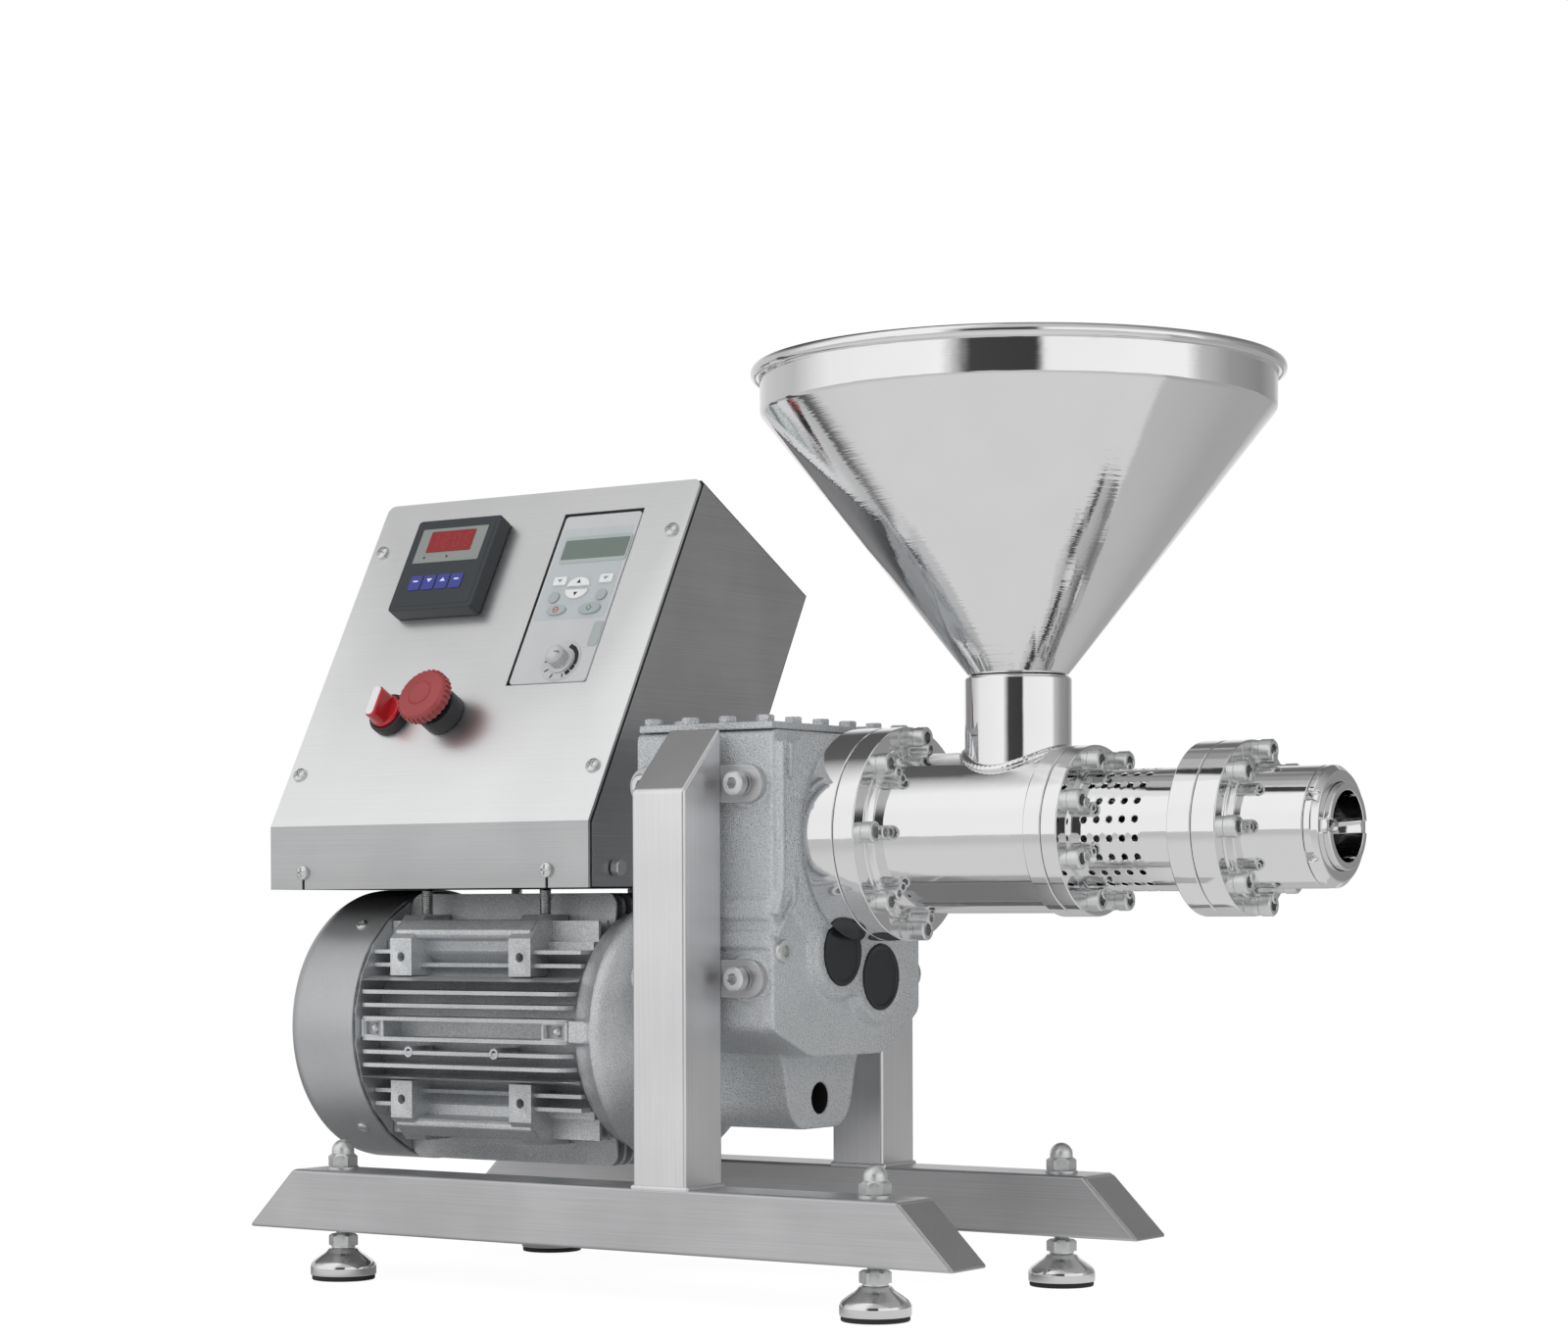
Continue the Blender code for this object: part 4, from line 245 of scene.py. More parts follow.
class Finish:
    """A material with one Principled shader, or another shader that is put in its place."""

    def __init__(self, name, colour=(0.5, 0.5, 0.5), roughness=0.5, metallic=0.0, **fixed):
        self.material = bpy.data.materials.new(name)
        self.material.use_nodes = True
        self.nodes = self.material.node_tree.nodes
        self.links = self.material.node_tree.links
        self.shader = self.nodes["Principled BSDF"]
        self.put("Base Color", (*colour, 1))
        self.put("Roughness", roughness)
        self.put("Metallic", metallic)
        for key, value in fixed.items():
            self.put(key.replace("_", " "), value)

    def node(self, kind, settings=(), sockets=(), output=0):
        """Adds a node: first its settings, then the values or links of its sockets."""
        made = self.nodes.new(kind)
        for key, value in dict(settings).items():
            if key == "stops":
                ramp = made.color_ramp
                while len(ramp.elements) < len(value):
                    ramp.elements.new(0.5)
                for stop, (place, level) in zip(ramp.elements, value):
                    stop.position = place
                    stop.color = (level, level, level, 1)
            else:
                setattr(made, key, value)
        for key, value in dict(sockets).items():
            if isinstance(value, Shade):
                self.links.new(value.socket, made.inputs[key])
            else:
                made.inputs[key].default_value = value
        return Shade(self, made.outputs[output])

    def put(self, key, value):
        """Sets or links one socket of the shader."""
        if isinstance(value, Shade):
            self.links.new(value.socket, self.shader.inputs[key])
        else:
            self.shader.inputs[key].default_value = value

    def place(self, stretch=(1, 1, 1)):
        """The surface's own place in metres, stretched along each axis."""
        spot = self.node("ShaderNodeTexCoord", output="Object")
        return self.node("ShaderNodeMapping", {}, {"Vector": spot, "Scale": stretch})

    def noise(self, stretch, detail=2.0, rough=0.5):
        """Noise whose grain is one over the stretch, in metres."""
        sockets = {"Vector": self.place(stretch), "Scale": 1.0, "Detail": detail, "Roughness": rough}
        return self.node("ShaderNodeTexNoise", {}, sockets)

    def mixed(self, share, one, two):
        """A colour between two others."""
        return self.node("ShaderNodeMix", {"data_type": "RGBA"}, {0: share, 6: (*one, 1), 7: (*two, 1)}, 2)

    def rough_skin(self, height, distance, strength=1.0):
        self.put("Normal", self.node("ShaderNodeBump", {}, {"Height": height, "Distance": distance,
                                                           "Strength": strength}))


def brushed_steel(name, grain, light, dark, roughness):
    """Sheet or tube ground along one axis, with fine streaks and a cloudy sheen."""
    fine = [1500, 1500, 1500]
    fine["XYZ".index(grain)] = 9
    made = Finish(name, metallic=1.0)
    streaks = made.noise(fine, 3.0, 0.7)
    clouds = made.noise((14, 14, 14), 2.0)
    made.put("Base Color", made.mixed((streaks * 0.7 + clouds * 0.5 - 0.1).eased(0.2, 0.8), dark, light))
    made.put("Roughness", roughness + (streaks - 0.5) * 0.16)
    made.rough_skin(streaks, 0.00004, 0.6)
    return made.material


def cast_silver(name, light, dark, roughness, grain, relief):
    """Silver paint over a casting: a pebbled skin with bright flecks."""
    made = Finish(name, metallic=0.7)
    pebbles = made.noise((1 / grain,) * 3, 2.0, 0.6)
    clouds = made.noise((16, 16, 16), 2.0)
    made.put("Base Color", made.mixed((pebbles * 0.8 + clouds * 0.4 - 0.1).eased(0.25, 0.8), dark, light))
    made.put("Roughness", roughness + (pebbles - 0.5) * 0.22)
    made.rough_skin(pebbles, relief)
    return made.material


def polished_steel(name, level, roughness, wave=0.0, ripple=0.0):
    """Mirror-polished steel, with a slow waviness and the ripples that spinning leaves."""
    made = Finish(name, metallic=1.0)
    haze = made.noise((30, 30, 30), 3.0)
    made.put("Base Color", made.mixed(haze, (level * 0.95,) * 3, (level, level, level * 1.01)))
    made.put("Roughness", roughness + (haze - 0.45).eased(0.0, 0.4) * 0.06)
    height = haze * wave
    if ripple:
        rings = made.noise((26, 26, 620), 2.0, 0.7)
        height = height + rings * ripple
    made.rough_skin(height, 0.001)
    return made.material


def plated_steel(name, level, roughness):
    """Zinc plate with a faint mottle, as on the screws and rods."""
    made = Finish(name, metallic=1.0)
    mottle = made.noise((420, 420, 420), 2.0)
    made.put("Base Color", made.mixed(mottle, (level * 0.80, level * 0.82, level * 0.82), (level,) * 3))
    made.put("Roughness", roughness + (mottle - 0.5) * 0.2)
    made.rough_skin(mottle, 0.00005)
    return made.material


def moulded(name, colour, roughness, grain=0.0006, relief=0.00003, **fixed):
    """Moulded plastic with a fine skin and slight changes of tone."""
    made = Finish(name, **fixed)
    skin = made.noise((1 / grain,) * 3, 2.0)
    tone = made.noise((40, 40, 40), 2.0)
    darker = tuple(c * 0.88 for c in colour)
    made.put("Base Color", made.mixed(tone, darker, colour))
    made.put("Roughness", roughness + (skin - 0.5) * 0.12)
    made.rough_skin(skin, relief)
    return made.material


def lit_display(name, colour, glow):
    """A display's filter with a little light of its own."""
    made = Finish(name, colour, 0.12)
    tone = made.noise((90, 60, 60), 2.0)
    made.put("Base Color", made.mixed(tone, tuple(c * 0.8 for c in colour), colour))
    made.put("Emission Color", made.mixed(tone, tuple(c * 0.8 for c in colour), colour))
    made.shader.inputs["Emission Strength"].default_value = glow
    return made.material


SKID_STEEL = brushed_steel("skid_steel", "X", (0.64, 0.64, 0.65), (0.49, 0.49, 0.50), 0.36)
# A brighter copy of the skids' steel for the posts: painted light, as posts and skids are the same tube.
POST_STEEL_PAINTED_LIGHT = brushed_steel("post_steel_painted_light", "Z", (0.86, 0.86, 0.87), (0.72, 0.72, 0.73), 0.34)
PANEL_STEEL = brushed_steel("panel_steel", "X", (0.88, 0.885, 0.89), (0.80, 0.805, 0.81), 0.34)
# A darker copy of the panel's steel for the lip's front faces: painted shade, as the lip is the same sheet.
LIP_STEEL_PAINTED_SHADE = brushed_steel("lip_steel_painted_shade", "X", (0.54, 0.545, 0.55), (0.44, 0.445, 0.45), 0.34)
# A darker copy of the panel's steel for the box's shell: painted shade on the box's sides.
SIDE_STEEL_PAINTED_SHADE = brushed_steel("side_steel_painted_shade", "Y", (0.60, 0.60, 0.61), (0.46, 0.46, 0.47), 0.40)
CASTING = cast_silver("casting_paint", (0.80, 0.825, 0.845), (0.58, 0.60, 0.62), 0.30, 0.0011, 0.0013)
MOTOR_PAINT = cast_silver("motor_paint", (0.80, 0.82, 0.84), (0.44, 0.45, 0.46), 0.34, 0.0009, 0.00035)
COWL_PAINT = cast_silver("cowl_paint", (0.56, 0.57, 0.58), (0.44, 0.45, 0.46), 0.34, 0.0006, 0.00008)
BARREL_STEEL = polished_steel("barrel_steel", 0.86, 0.05, 0.15)
HOPPER_STEEL = polished_steel("hopper_steel", 0.88, 0.05, 0.22, 0.075)
CHROME = polished_steel("foot_chrome", 0.80, 0.05, 0.05)
ZINC = plated_steel("screw_zinc", 0.84, 0.38)
MACHINED = plated_steel("machined_steel", 0.60, 0.32)
COPPER = moulded("winding_copper", (0.55, 0.26, 0.12), 0.4, 0.001, 0.0003)
RUBBER = moulded("foot_rubber", (0.018, 0.018, 0.019), 0.7)
BLACK = moulded("black_plastic", (0.022, 0.023, 0.025), 0.45)
CHARCOAL = moulded("controller_plastic", (0.032, 0.037, 0.042), 0.42)
CAP_BLACK = moulded("cap_black", (0.014, 0.017, 0.020), 0.33)
GREY_LABEL = moulded("grey_label", (0.26, 0.28, 0.27), 0.4)
DRIVE_WHITE = moulded("drive_white", (0.56, 0.57, 0.58), 0.42)
KEYPAD_GREY = moulded("keypad_grey", (0.50, 0.535, 0.55), 0.38)
KEY_WHITE = moulded("key_white", (0.80, 0.81, 0.81), 0.36)
KEY_GREY = moulded("key_grey", (0.40, 0.44, 0.44), 0.36)
DISPLAY_GREEN = moulded("display_green", (0.16, 0.20, 0.18), 0.18)
DISPLAY_RIM = moulded("display_rim", (0.42, 0.47, 0.46), 0.32)
# Black ink for printed marks; also painted shade: the cup inside the lug's bore, the body in the gap behind
# the panel, and the colour given to hole cutters.
INK_AND_PAINTED_SHADE = moulded("black_ink_and_painted_shade", (0.012, 0.012, 0.013), 0.5)
WHITE_INK = moulded("white_ink", (0.80, 0.80, 0.80), 0.5)
RED_INK = moulded("red_ink", (0.42, 0.03, 0.04), 0.5)
GREEN_INK = moulded("green_ink", (0.05, 0.22, 0.14), 0.5)
BLUE_KEY = moulded("blue_key", (0.045, 0.055, 0.30), 0.35)
STOP_RED = moulded("stop_red", (0.34, 0.050, 0.054), 0.38, Coat_Weight=0.15)
SELECTOR_RED = moulded("selector_red", (0.50, 0.012, 0.020), 0.14, Coat_Weight=0.6)
RED_DISPLAY = lit_display("red_display", (0.24, 0.012, 0.016), 0.12)
RED_DIGITS = lit_display("red_digits", (0.36, 0.03, 0.03), 0.15)


def settled(bm, name, material, sharp=35):
    """A finished mesh object with its faces out and its edges sharp where they should be."""
    bmesh.ops.recalc_face_normals(bm, faces=bm.faces)
    mesh = bpy.data.meshes.new(name)
    bm.to_mesh(mesh)
    bm.free()
    made = bpy.data.objects.new(name, mesh)
    bpy.context.scene.collection.objects.link(made)
    mesh.materials.append(material)
    mesh.shade_smooth()
    mesh.set_sharp_from_angle(angle=math.radians(sharp))
    return made


def baked(piece):
    """Turns a piece's modifiers into its mesh."""
    graph = bpy.context.evaluated_depsgraph_get()
    mesh = bpy.data.meshes.new_from_object(piece.evaluated_get(graph), depsgraph=graph)
    piece.modifiers.clear()
    piece.data = mesh
    return piece


def bevelled(piece, width, segments=2, angle=30):
    edge = piece.modifiers.new("edge", "BEVEL")
    edge.width = width
    edge.segments = segments
    edge.limit_method = "ANGLE"
    edge.angle_limit = math.radians(angle)
    edge.harden_normals = True
    return baked(piece)


def combined(piece, others, operation="DIFFERENCE"):
    """Cuts other shapes out of a piece, or joins them to it."""
    for other in others:
        step = piece.modifiers.new("step", "BOOLEAN")
        step.operation = operation
        step.solver = "EXACT"
        step.object = other
    baked(piece)
    for other in others:
        bpy.data.objects.remove(other)
    return piece


def gathered(name, pieces):
    """One object from several, each with its own place already in its mesh."""
    bm = bmesh.new()
    materials = []
    for piece in pieces:
        first = len(bm.faces)
        bm.from_mesh(piece.data)
        bm.faces.ensure_lookup_table()
        for face in bm.faces[first:]:
            used = piece.data.materials[face.material_index]
            if used not in materials:
                materials.append(used)
            face.material_index = materials.index(used)
        bpy.data.objects.remove(piece)
    mesh = bpy.data.meshes.new(name)
    bm.to_mesh(mesh)
    bm.free()
    for used in materials:
        mesh.materials.append(used)
    made = bpy.data.objects.new(name, mesh)
    bpy.context.scene.collection.objects.link(made)
    return made


def moved(piece, matrix):
    piece.data.transform(matrix)
    if matrix.determinant() < 0:
        piece.data.flip_normals()
    return piece


def softened(profile, radius, steps=3, closed=True):
    """Rounds the corners of a profile, each with a short curve no longer than its edges allow."""
    points = []
    count = len(profile)
    for i, corner in enumerate(profile):
        corner = Vector(corner)
        if not closed and i in (0, count - 1):
            points.append(tuple(corner))
            continue
        before = Vector(profile[i - 1]) - corner
        after = Vector(profile[(i + 1) % count]) - corner
        reach = min(radius, before.length * 0.45, after.length * 0.45)
        if before.normalized().dot(after.normalized()) < -0.985 or reach <= 0:
            points.append(tuple(corner))
            continue
        start = corner + before.normalized() * reach
        end = corner + after.normalized() * reach
        for k in range(steps + 1):
            t = k / steps
            points.append(tuple(start * (1 - t) ** 2 + corner * 2 * t * (1 - t) + end * t * t))
    return points


def station_radius(station, turn):
    """The radius of a lathe station at this turn: round, or a hexagon across its flats."""
    if len(station) == 2:
        return station[0]
    return station[0] / 2 / math.cos((turn + math.pi / 6) % (math.pi / 3) - math.pi / 6)


AXES = {
    "X": Matrix(((0, 0, 1, 0), (1, 0, 0, 0), (0, 1, 0, 0), (0, 0, 0, 1))),
    "Y": Matrix(((0, 1, 0, 0), (0, 0, 1, 0), (1, 0, 0, 0), (0, 0, 0, 1))),
    "Z": Matrix.Identity(4),
}


def lathed(name, stations, material, axis="X", centre=(0, 0, 0), sides=SIDES, sharp=35):
    """A turned piece from (radius, along) stations; a third value makes a station a hexagon."""
    bm = bmesh.new()
    rings = []
    for station in stations:
        count = sides if station[0] > 1e-7 else 1
        ring = []
        for k in range(count):
            turn = 2 * math.pi * k / sides
            r = station_radius(station, turn) if count > 1 else 0
            ring.append(bm.verts.new((r * math.cos(turn), r * math.sin(turn), station[1])))
        rings.append(ring)
    pairs = list(zip(rings, rings[1:]))
    if len(rings[0]) > 1 and len(rings[-1]) > 1:
        pairs.append((rings[-1], rings[0]))
    for one, two in pairs:
        for k in range(sides):
            j = (k + 1) % sides
            corners = [one[k % len(one)], one[j % len(one)], two[j % len(two)], two[k % len(two)]]
            bm.faces.new(list(dict.fromkeys(corners)))
    bm.transform(Matrix.Translation(centre) @ AXES[axis])
    made = settled(bm, name, material, sharp)
    weigh = made.modifiers.new("weigh", "WEIGHTED_NORMAL")
    weigh.keep_sharp = True
    return baked(made)


def ring_profile(outer, inner, start, end):
    return [(inner, start), (outer, start), (outer, end), (inner, end)]


def prism(name, outline, start, end, material, axis="Z", bevel=0, segments=2):
    """An outline pushed along an axis. For X it lies in (y, z), for Y in (z, x), for Z in (x, y)."""
    bm = bmesh.new()
    low = [bm.verts.new((a, b, start)) for a, b in outline]
    high = [bm.verts.new((a, b, end)) for a, b in outline]
    bm.faces.new(low)
    bm.faces.new(high)
    for k in range(len(low)):
        j = (k + 1) % len(low)
        bm.faces.new((low[k], low[j], high[j], high[k]))
    bm.transform(AXES[axis])
    made = settled(bm, name, material)
    return bevelled(made, bevel, segments) if bevel else made


def block(name, low, high, material, bevel=0, segments=2):
    """A cuboid between two corners, in machine places."""
    outline = [(low[0], low[1]), (high[0], low[1]), (high[0], high[1]), (low[0], high[1])]
    return prism(name, outline, low[2], high[2], material, "Z", bevel, segments)


def arc(radius, start, end, steps, centre=(0, 0)):
    """Points along an arc in degrees, both ends included."""
    turns = [math.radians(start + (end - start) * k / steps) for k in range(steps + 1)]
    return [(centre[0] + radius * math.cos(t), centre[1] + radius * math.sin(t)) for t in turns]


def rounded(left, right, bottom, top, radius, steps=6):
    """A rectangle's outline with round corners."""
    middles = ((right - radius, top - radius), (left + radius, top - radius),
               (left + radius, bottom + radius), (right - radius, bottom + radius))
    points = []
    for k, middle in enumerate(middles):
        points += arc(radius, 90 * k, 90 * k + 90, steps, middle)
    return points


def about(centre, width, height, radius, steps=6):
    """A round-cornered rectangle about its middle."""
    x, y = centre
    return rounded(x - width / 2, x + width / 2, y - height / 2, y + height / 2, radius, steps)


def fitted(piece, body, *nodes, slot=None):
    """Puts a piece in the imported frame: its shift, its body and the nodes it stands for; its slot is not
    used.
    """
    piece.data.transform(Matrix.Translation(ORIGIN))
    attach(piece, body)
    if nodes:
        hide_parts(*nodes)
    return piece


class Tree:
    """A Geometry Nodes tree with named inputs; its result is realized and given one finish."""

    def __init__(self, name, sizes):
        self.group = bpy.data.node_groups.new(name, "GeometryNodeTree")
        face = self.group.interface
        face.new_socket("Geometry", in_out="OUTPUT", socket_type="NodeSocketGeometry")
        face.new_socket("Geometry", in_out="INPUT", socket_type="NodeSocketGeometry")
        for label, kind in (*sizes, ("Finish", "Material")):
            face.new_socket(label, in_out="INPUT", socket_type="NodeSocket" + kind)
        self.start = self.group.nodes.new("NodeGroupInput")

    def size(self, label):
        return self.start.outputs[label]

    def node(self, kind, settings=(), sockets=(), output=0):
        """Adds a node: first its settings, then the values or links of its sockets."""
        made = self.group.nodes.new(kind)
        for key, value in dict(settings).items():
            setattr(made, key, value)
        for key, value in dict(sockets).items():
            if isinstance(value, bpy.types.NodeSocket):
                self.group.links.new(value, made.inputs[key])
            else:
                made.inputs[key].default_value = value
        return made.outputs[output]

    def maths(self, operation, *values):
        return self.node("ShaderNodeMath", {"operation": operation}, dict(enumerate(values)))

    def end(self, geometry):
        whole = self.node("GeometryNodeRealizeInstances", {}, {"Geometry": geometry})
        painted = self.node("GeometryNodeSetMaterial", {},
                            {"Geometry": whole, "Material": self.size("Finish")})
        out = self.group.nodes.new("NodeGroupOutput")
        self.group.links.new(painted, out.inputs[0])
        return self

    def grown(self, name, values):
        """Runs the tree with these input values and keeps the result as a plain mesh."""
        made = bpy.data.objects.new(name, bpy.data.meshes.new(name))
        bpy.context.scene.collection.objects.link(made)
        run = made.modifiers.new("run", "NODES")
        run.node_group = self.group
        for item in self.group.interface.items_tree:
            if item.in_out == "INPUT" and item.name in values:
                run[item.identifier] = values[item.name]
        return baked(made)


def screw_ring_tree():
    """Copies of one screw on a circle about X, each turned by chance about its own axis."""
    sizes = (("Screw", "Object"), ("Count", "Int"), ("Pitch Radius", "Float"), ("Start Turn", "Vector"),
             ("Middle", "Vector"), ("Seed", "Int"))
    tree = Tree("screw_ring", sizes)
    circle = tree.node("GeometryNodeMeshCircle", {}, {"Vertices": tree.size("Count"),
                                                      "Radius": tree.size("Pitch Radius")})
    spun = tree.node("GeometryNodeTransform", {},
                     {"Geometry": circle, "Rotation": tree.size("Start Turn")})
    upright = tree.node("GeometryNodeTransform", {}, {"Geometry": spun, "Rotation": (0, -math.pi / 2, 0),
                                                      "Translation": tree.size("Middle")})
    return on_points(tree, upright, (2 * math.pi, 0, 0))


def screw_grid_tree():
    """Copies of one screw on a grid in the XY plane."""
    sizes = (("Screw", "Object"), ("Columns", "Int"), ("Rows", "Int"), ("Length", "Float"),
             ("Width", "Float"),
             ("Middle", "Vector"), ("Seed", "Int"))
    tree = Tree("screw_grid", sizes)
    grid = tree.node("GeometryNodeMeshGrid", {}, {
        "Size X": tree.size("Length"), "Size Y": tree.size("Width"),
        "Vertices X": tree.size("Columns"), "Vertices Y": tree.size("Rows")})
    placed = tree.node("GeometryNodeTransform", {}, {"Geometry": grid, "Translation": tree.size("Middle")})
    return on_points(tree, placed, (0, 0, 2 * math.pi))


def on_points(tree, points, most_turn):
    """Ends a tree with its screw on each point, turned by chance up to the given turns."""
    chance = tree.node("FunctionNodeRandomValue", {"data_type": "FLOAT_VECTOR"},
                       {0: (0, 0, 0), 1: most_turn, "Seed": tree.size("Seed")})
    turn = tree.node("FunctionNodeEulerToRotation", {}, {0: chance})
    screw = tree.node("GeometryNodeObjectInfo", {}, {"Object": tree.size("Screw")}, "Geometry")
    placed = tree.node("GeometryNodeInstanceOnPoints", {},
                       {"Points": points, "Instance": screw, "Rotation": turn})
    return tree.end(placed)


SCREW_RING = screw_ring_tree()
SCREW_GRID = screw_grid_tree()


def screw_ring(name, screw, count, pitch_radius, start_degrees, x, z, seed=1, finish=None):
    """A ring of screws about the barrel; its start is counted from above towards the rear."""
    return SCREW_RING.grown(name, {
        "Screw": screw, "Count": count, "Pitch Radius": pitch_radius,
        "Start Turn": (0, 0, math.radians(start_degrees)), "Middle": (x, 0, z), "Seed": seed,
        "Finish": finish or ZINC})


def screw_grid(name, screw, columns, rows, length, width, middle, seed=1, finish=None):
    return SCREW_GRID.grown(name, {
        "Screw": screw, "Columns": columns, "Rows": rows, "Length": length, "Width": width,
        "Middle": middle, "Seed": seed, "Finish": finish or ZINC})


def socket_screw(name, head, height, flats, shank, rise, axis="X"):
    """A socket-head screw on its washers: its head stands clear of the seat by the rise."""
    top = rise + height
    edge = head * 0.10
    stations = [(0, 0), (head * 0.96, 0), (head * 0.96, height * 0.16), (shank, height * 0.18),
                (shank, rise),
                (head - edge, rise), (head, rise + edge),
                (head, top - edge * 1.5), (head - edge * 1.5, top), (flats * 0.58, top),
                (flats, top - edge * 0.5, "hex"), (flats, top - height * 0.78, "hex"),
                (0, top - height * 0.80)]
    return lathed(name, stations, ZINC, axis, sides=24, sharp=40)


def pan_screw(name, head, height, axis="Z"):
    """A low-domed screw with a cross recess."""
    stations = [(0, 0), (head, 0), (head, height * 0.30), (head * 0.93, height * 0.62),
                (head * 0.70, height * 0.88),
                (head * 0.35, height), (0, height * 1.02)]
    made = lathed(name, stations, ZINC, axis, sides=32)
    arm = head * 0.62
    half = head * 0.13
    deep = height * 0.45
    cutters = [block("arm", (-arm, -half, deep), (arm, half, height * 2), ZINC),
               block("arm", (-half, -arm, deep), (half, arm, height * 2), ZINC)]
    for cutter in cutters:
        moved(cutter, AXES[axis])
    return combined(made, cutters)


def hex_bolt(name, flats, height, axis="Z"):
    """A hexagon head on its washer face."""
    stations = [(0, 0), (flats * 0.52, 0), (flats * 0.52, height * 0.10),
                (flats * 0.97, height * 0.12, "hex"),
                (flats, height * 0.2, "hex"), (flats, height * 0.86, "hex"), (flats * 0.47, height),
                (0, height)]
    return lathed(name, stations, ZINC, axis, sides=24)


def hidden(piece):
    """Takes a pattern piece away once its copies are made."""
    bpy.data.objects.remove(piece)


def skid(side):
    """One skid of square tube: both ends slanted and closed by a welded plate."""
    y = FOOT_YS[side]
    outline = [(SKID_BOTTOM, SKID_LEFT), (SKID_TOP, SKID_LEFT + TUBE), (SKID_TOP, SKID_RIGHT - TUBE),
               (SKID_BOTTOM, SKID_RIGHT)]
    bar = prism("skid", outline, y - TUBE / 2, y + TUBE / 2, SKID_STEEL, "Y", TUBE_CORNER, 3)
    seam = 0.0006
    ends = []
    for end, way in ((SKID_LEFT, 1), (SKID_RIGHT, -1)):
        inset = 0.0014
        plate = [(SKID_BOTTOM + inset, end + way * inset - way * seam),
                 (SKID_TOP - inset, end + way * (TUBE - inset) - way * seam),
                 (SKID_TOP - inset, end + way * TUBE), (SKID_BOTTOM + inset, end + way * 3 * inset)]
        ends.append(prism("end", plate, y - TUBE / 2 + inset, y + TUBE / 2 - inset, SKID_STEEL, "Y",
                          0.0005))
    return gathered("skid_" + side, [bar, *ends])


def post(side):
    """One post: a tube with a slanted cap and a thin weld round its foot."""
    sign = -1 if side == "front" else 1
    outer = sign * (SKID_Y + TUBE / 2)
    inner = sign * (SKID_Y - TUBE / 2)
    outline = [(outer, SKID_TOP), (inner, SKID_TOP), (inner, POST_LOW_TOP + TUBE), (outer, POST_LOW_TOP)]
    # The post and its foot weld take the brighter copy of the tube steel, as painted light.
    bar = prism("tube", outline, 0, TUBE, POST_STEEL_PAINTED_LIGHT, "X", TUBE_CORNER, 3)
    weld = 0.0022
    low, high = sorted((outer, inner))
    foot = block("weld", (-weld, low - weld * 0.2, SKID_TOP - weld),
                 (TUBE + weld, high + weld * 0.2, SKID_TOP + weld),
                 POST_STEEL_PAINTED_LIGHT, weld * 0.9, 3)
    pieces = [bar, foot]
    reach = STRAP_LENGTH / 2 - STRAP_HEIGHT / 2
    for z in STRAP_HEIGHTS:
        half = STRAP_HEIGHT / 2
        outline = arc(half, -90, 90, 14, (reach + TUBE / 2, z))
        outline += arc(half, 90, 270, 14, (TUBE / 2 - reach, z))
        outline = [(b, a) for a, b in outline]
        faces = sorted((inner - sign * STRAP_THICKNESS, inner + sign * 0.0004))
        pieces.append(prism("strap", outline, *faces, SKID_STEEL, "Y", 0.0009, 2))
    return gathered("post_" + side, pieces)


def strap_screws(side):
    """Four socket screws that hold a post's two straps to the gearbox."""
    sign = -1 if side == "front" else 1
    screw = socket_screw("pattern", 0.0075, 0.0078, 0.0062, 0.0042, 0.0028, "Z")
    made = screw_grid("strap_screws_" + side, screw, 2, 2, 2 * STRAP_SCREW_REACH,
                      STRAP_HEIGHTS[0] - STRAP_HEIGHTS[1],
                      (0, 0, 0), 3)
    hidden(screw)
    seat = sign * (SKID_Y - TUBE / 2)
    turn = Matrix.Rotation(-sign * math.pi / 2, 4, "X")
    return moved(made, Matrix.Translation((TUBE / 2, seat, sum(STRAP_HEIGHTS) / 2)) @ turn)


def cap_nut(x, y):
    """The domed nut on a foot's stem, with its washer."""
    z = SKID_TOP
    flats = HEX_FLATS
    stations = [(0, z), (0.0105, z), (0.0105, z + 0.0016), (flats * 0.48, z + 0.0016),
                (flats * 0.98, z + 0.0019, "hex"),
                (flats, z + 0.0026, "hex"), (flats, z + 0.0084, "hex"), (flats * 0.47, z + 0.0098),
                (0.0074, z + 0.0102)]
    stations += [(r, z + 0.0122 + h) for r, h in arc(0.0074, 0, 90, 8)]
    stations[-1] = (0, z + 0.0196)
    return lathed("cap_nut", stations, ZINC, "Z", (x, y, 0), 48)


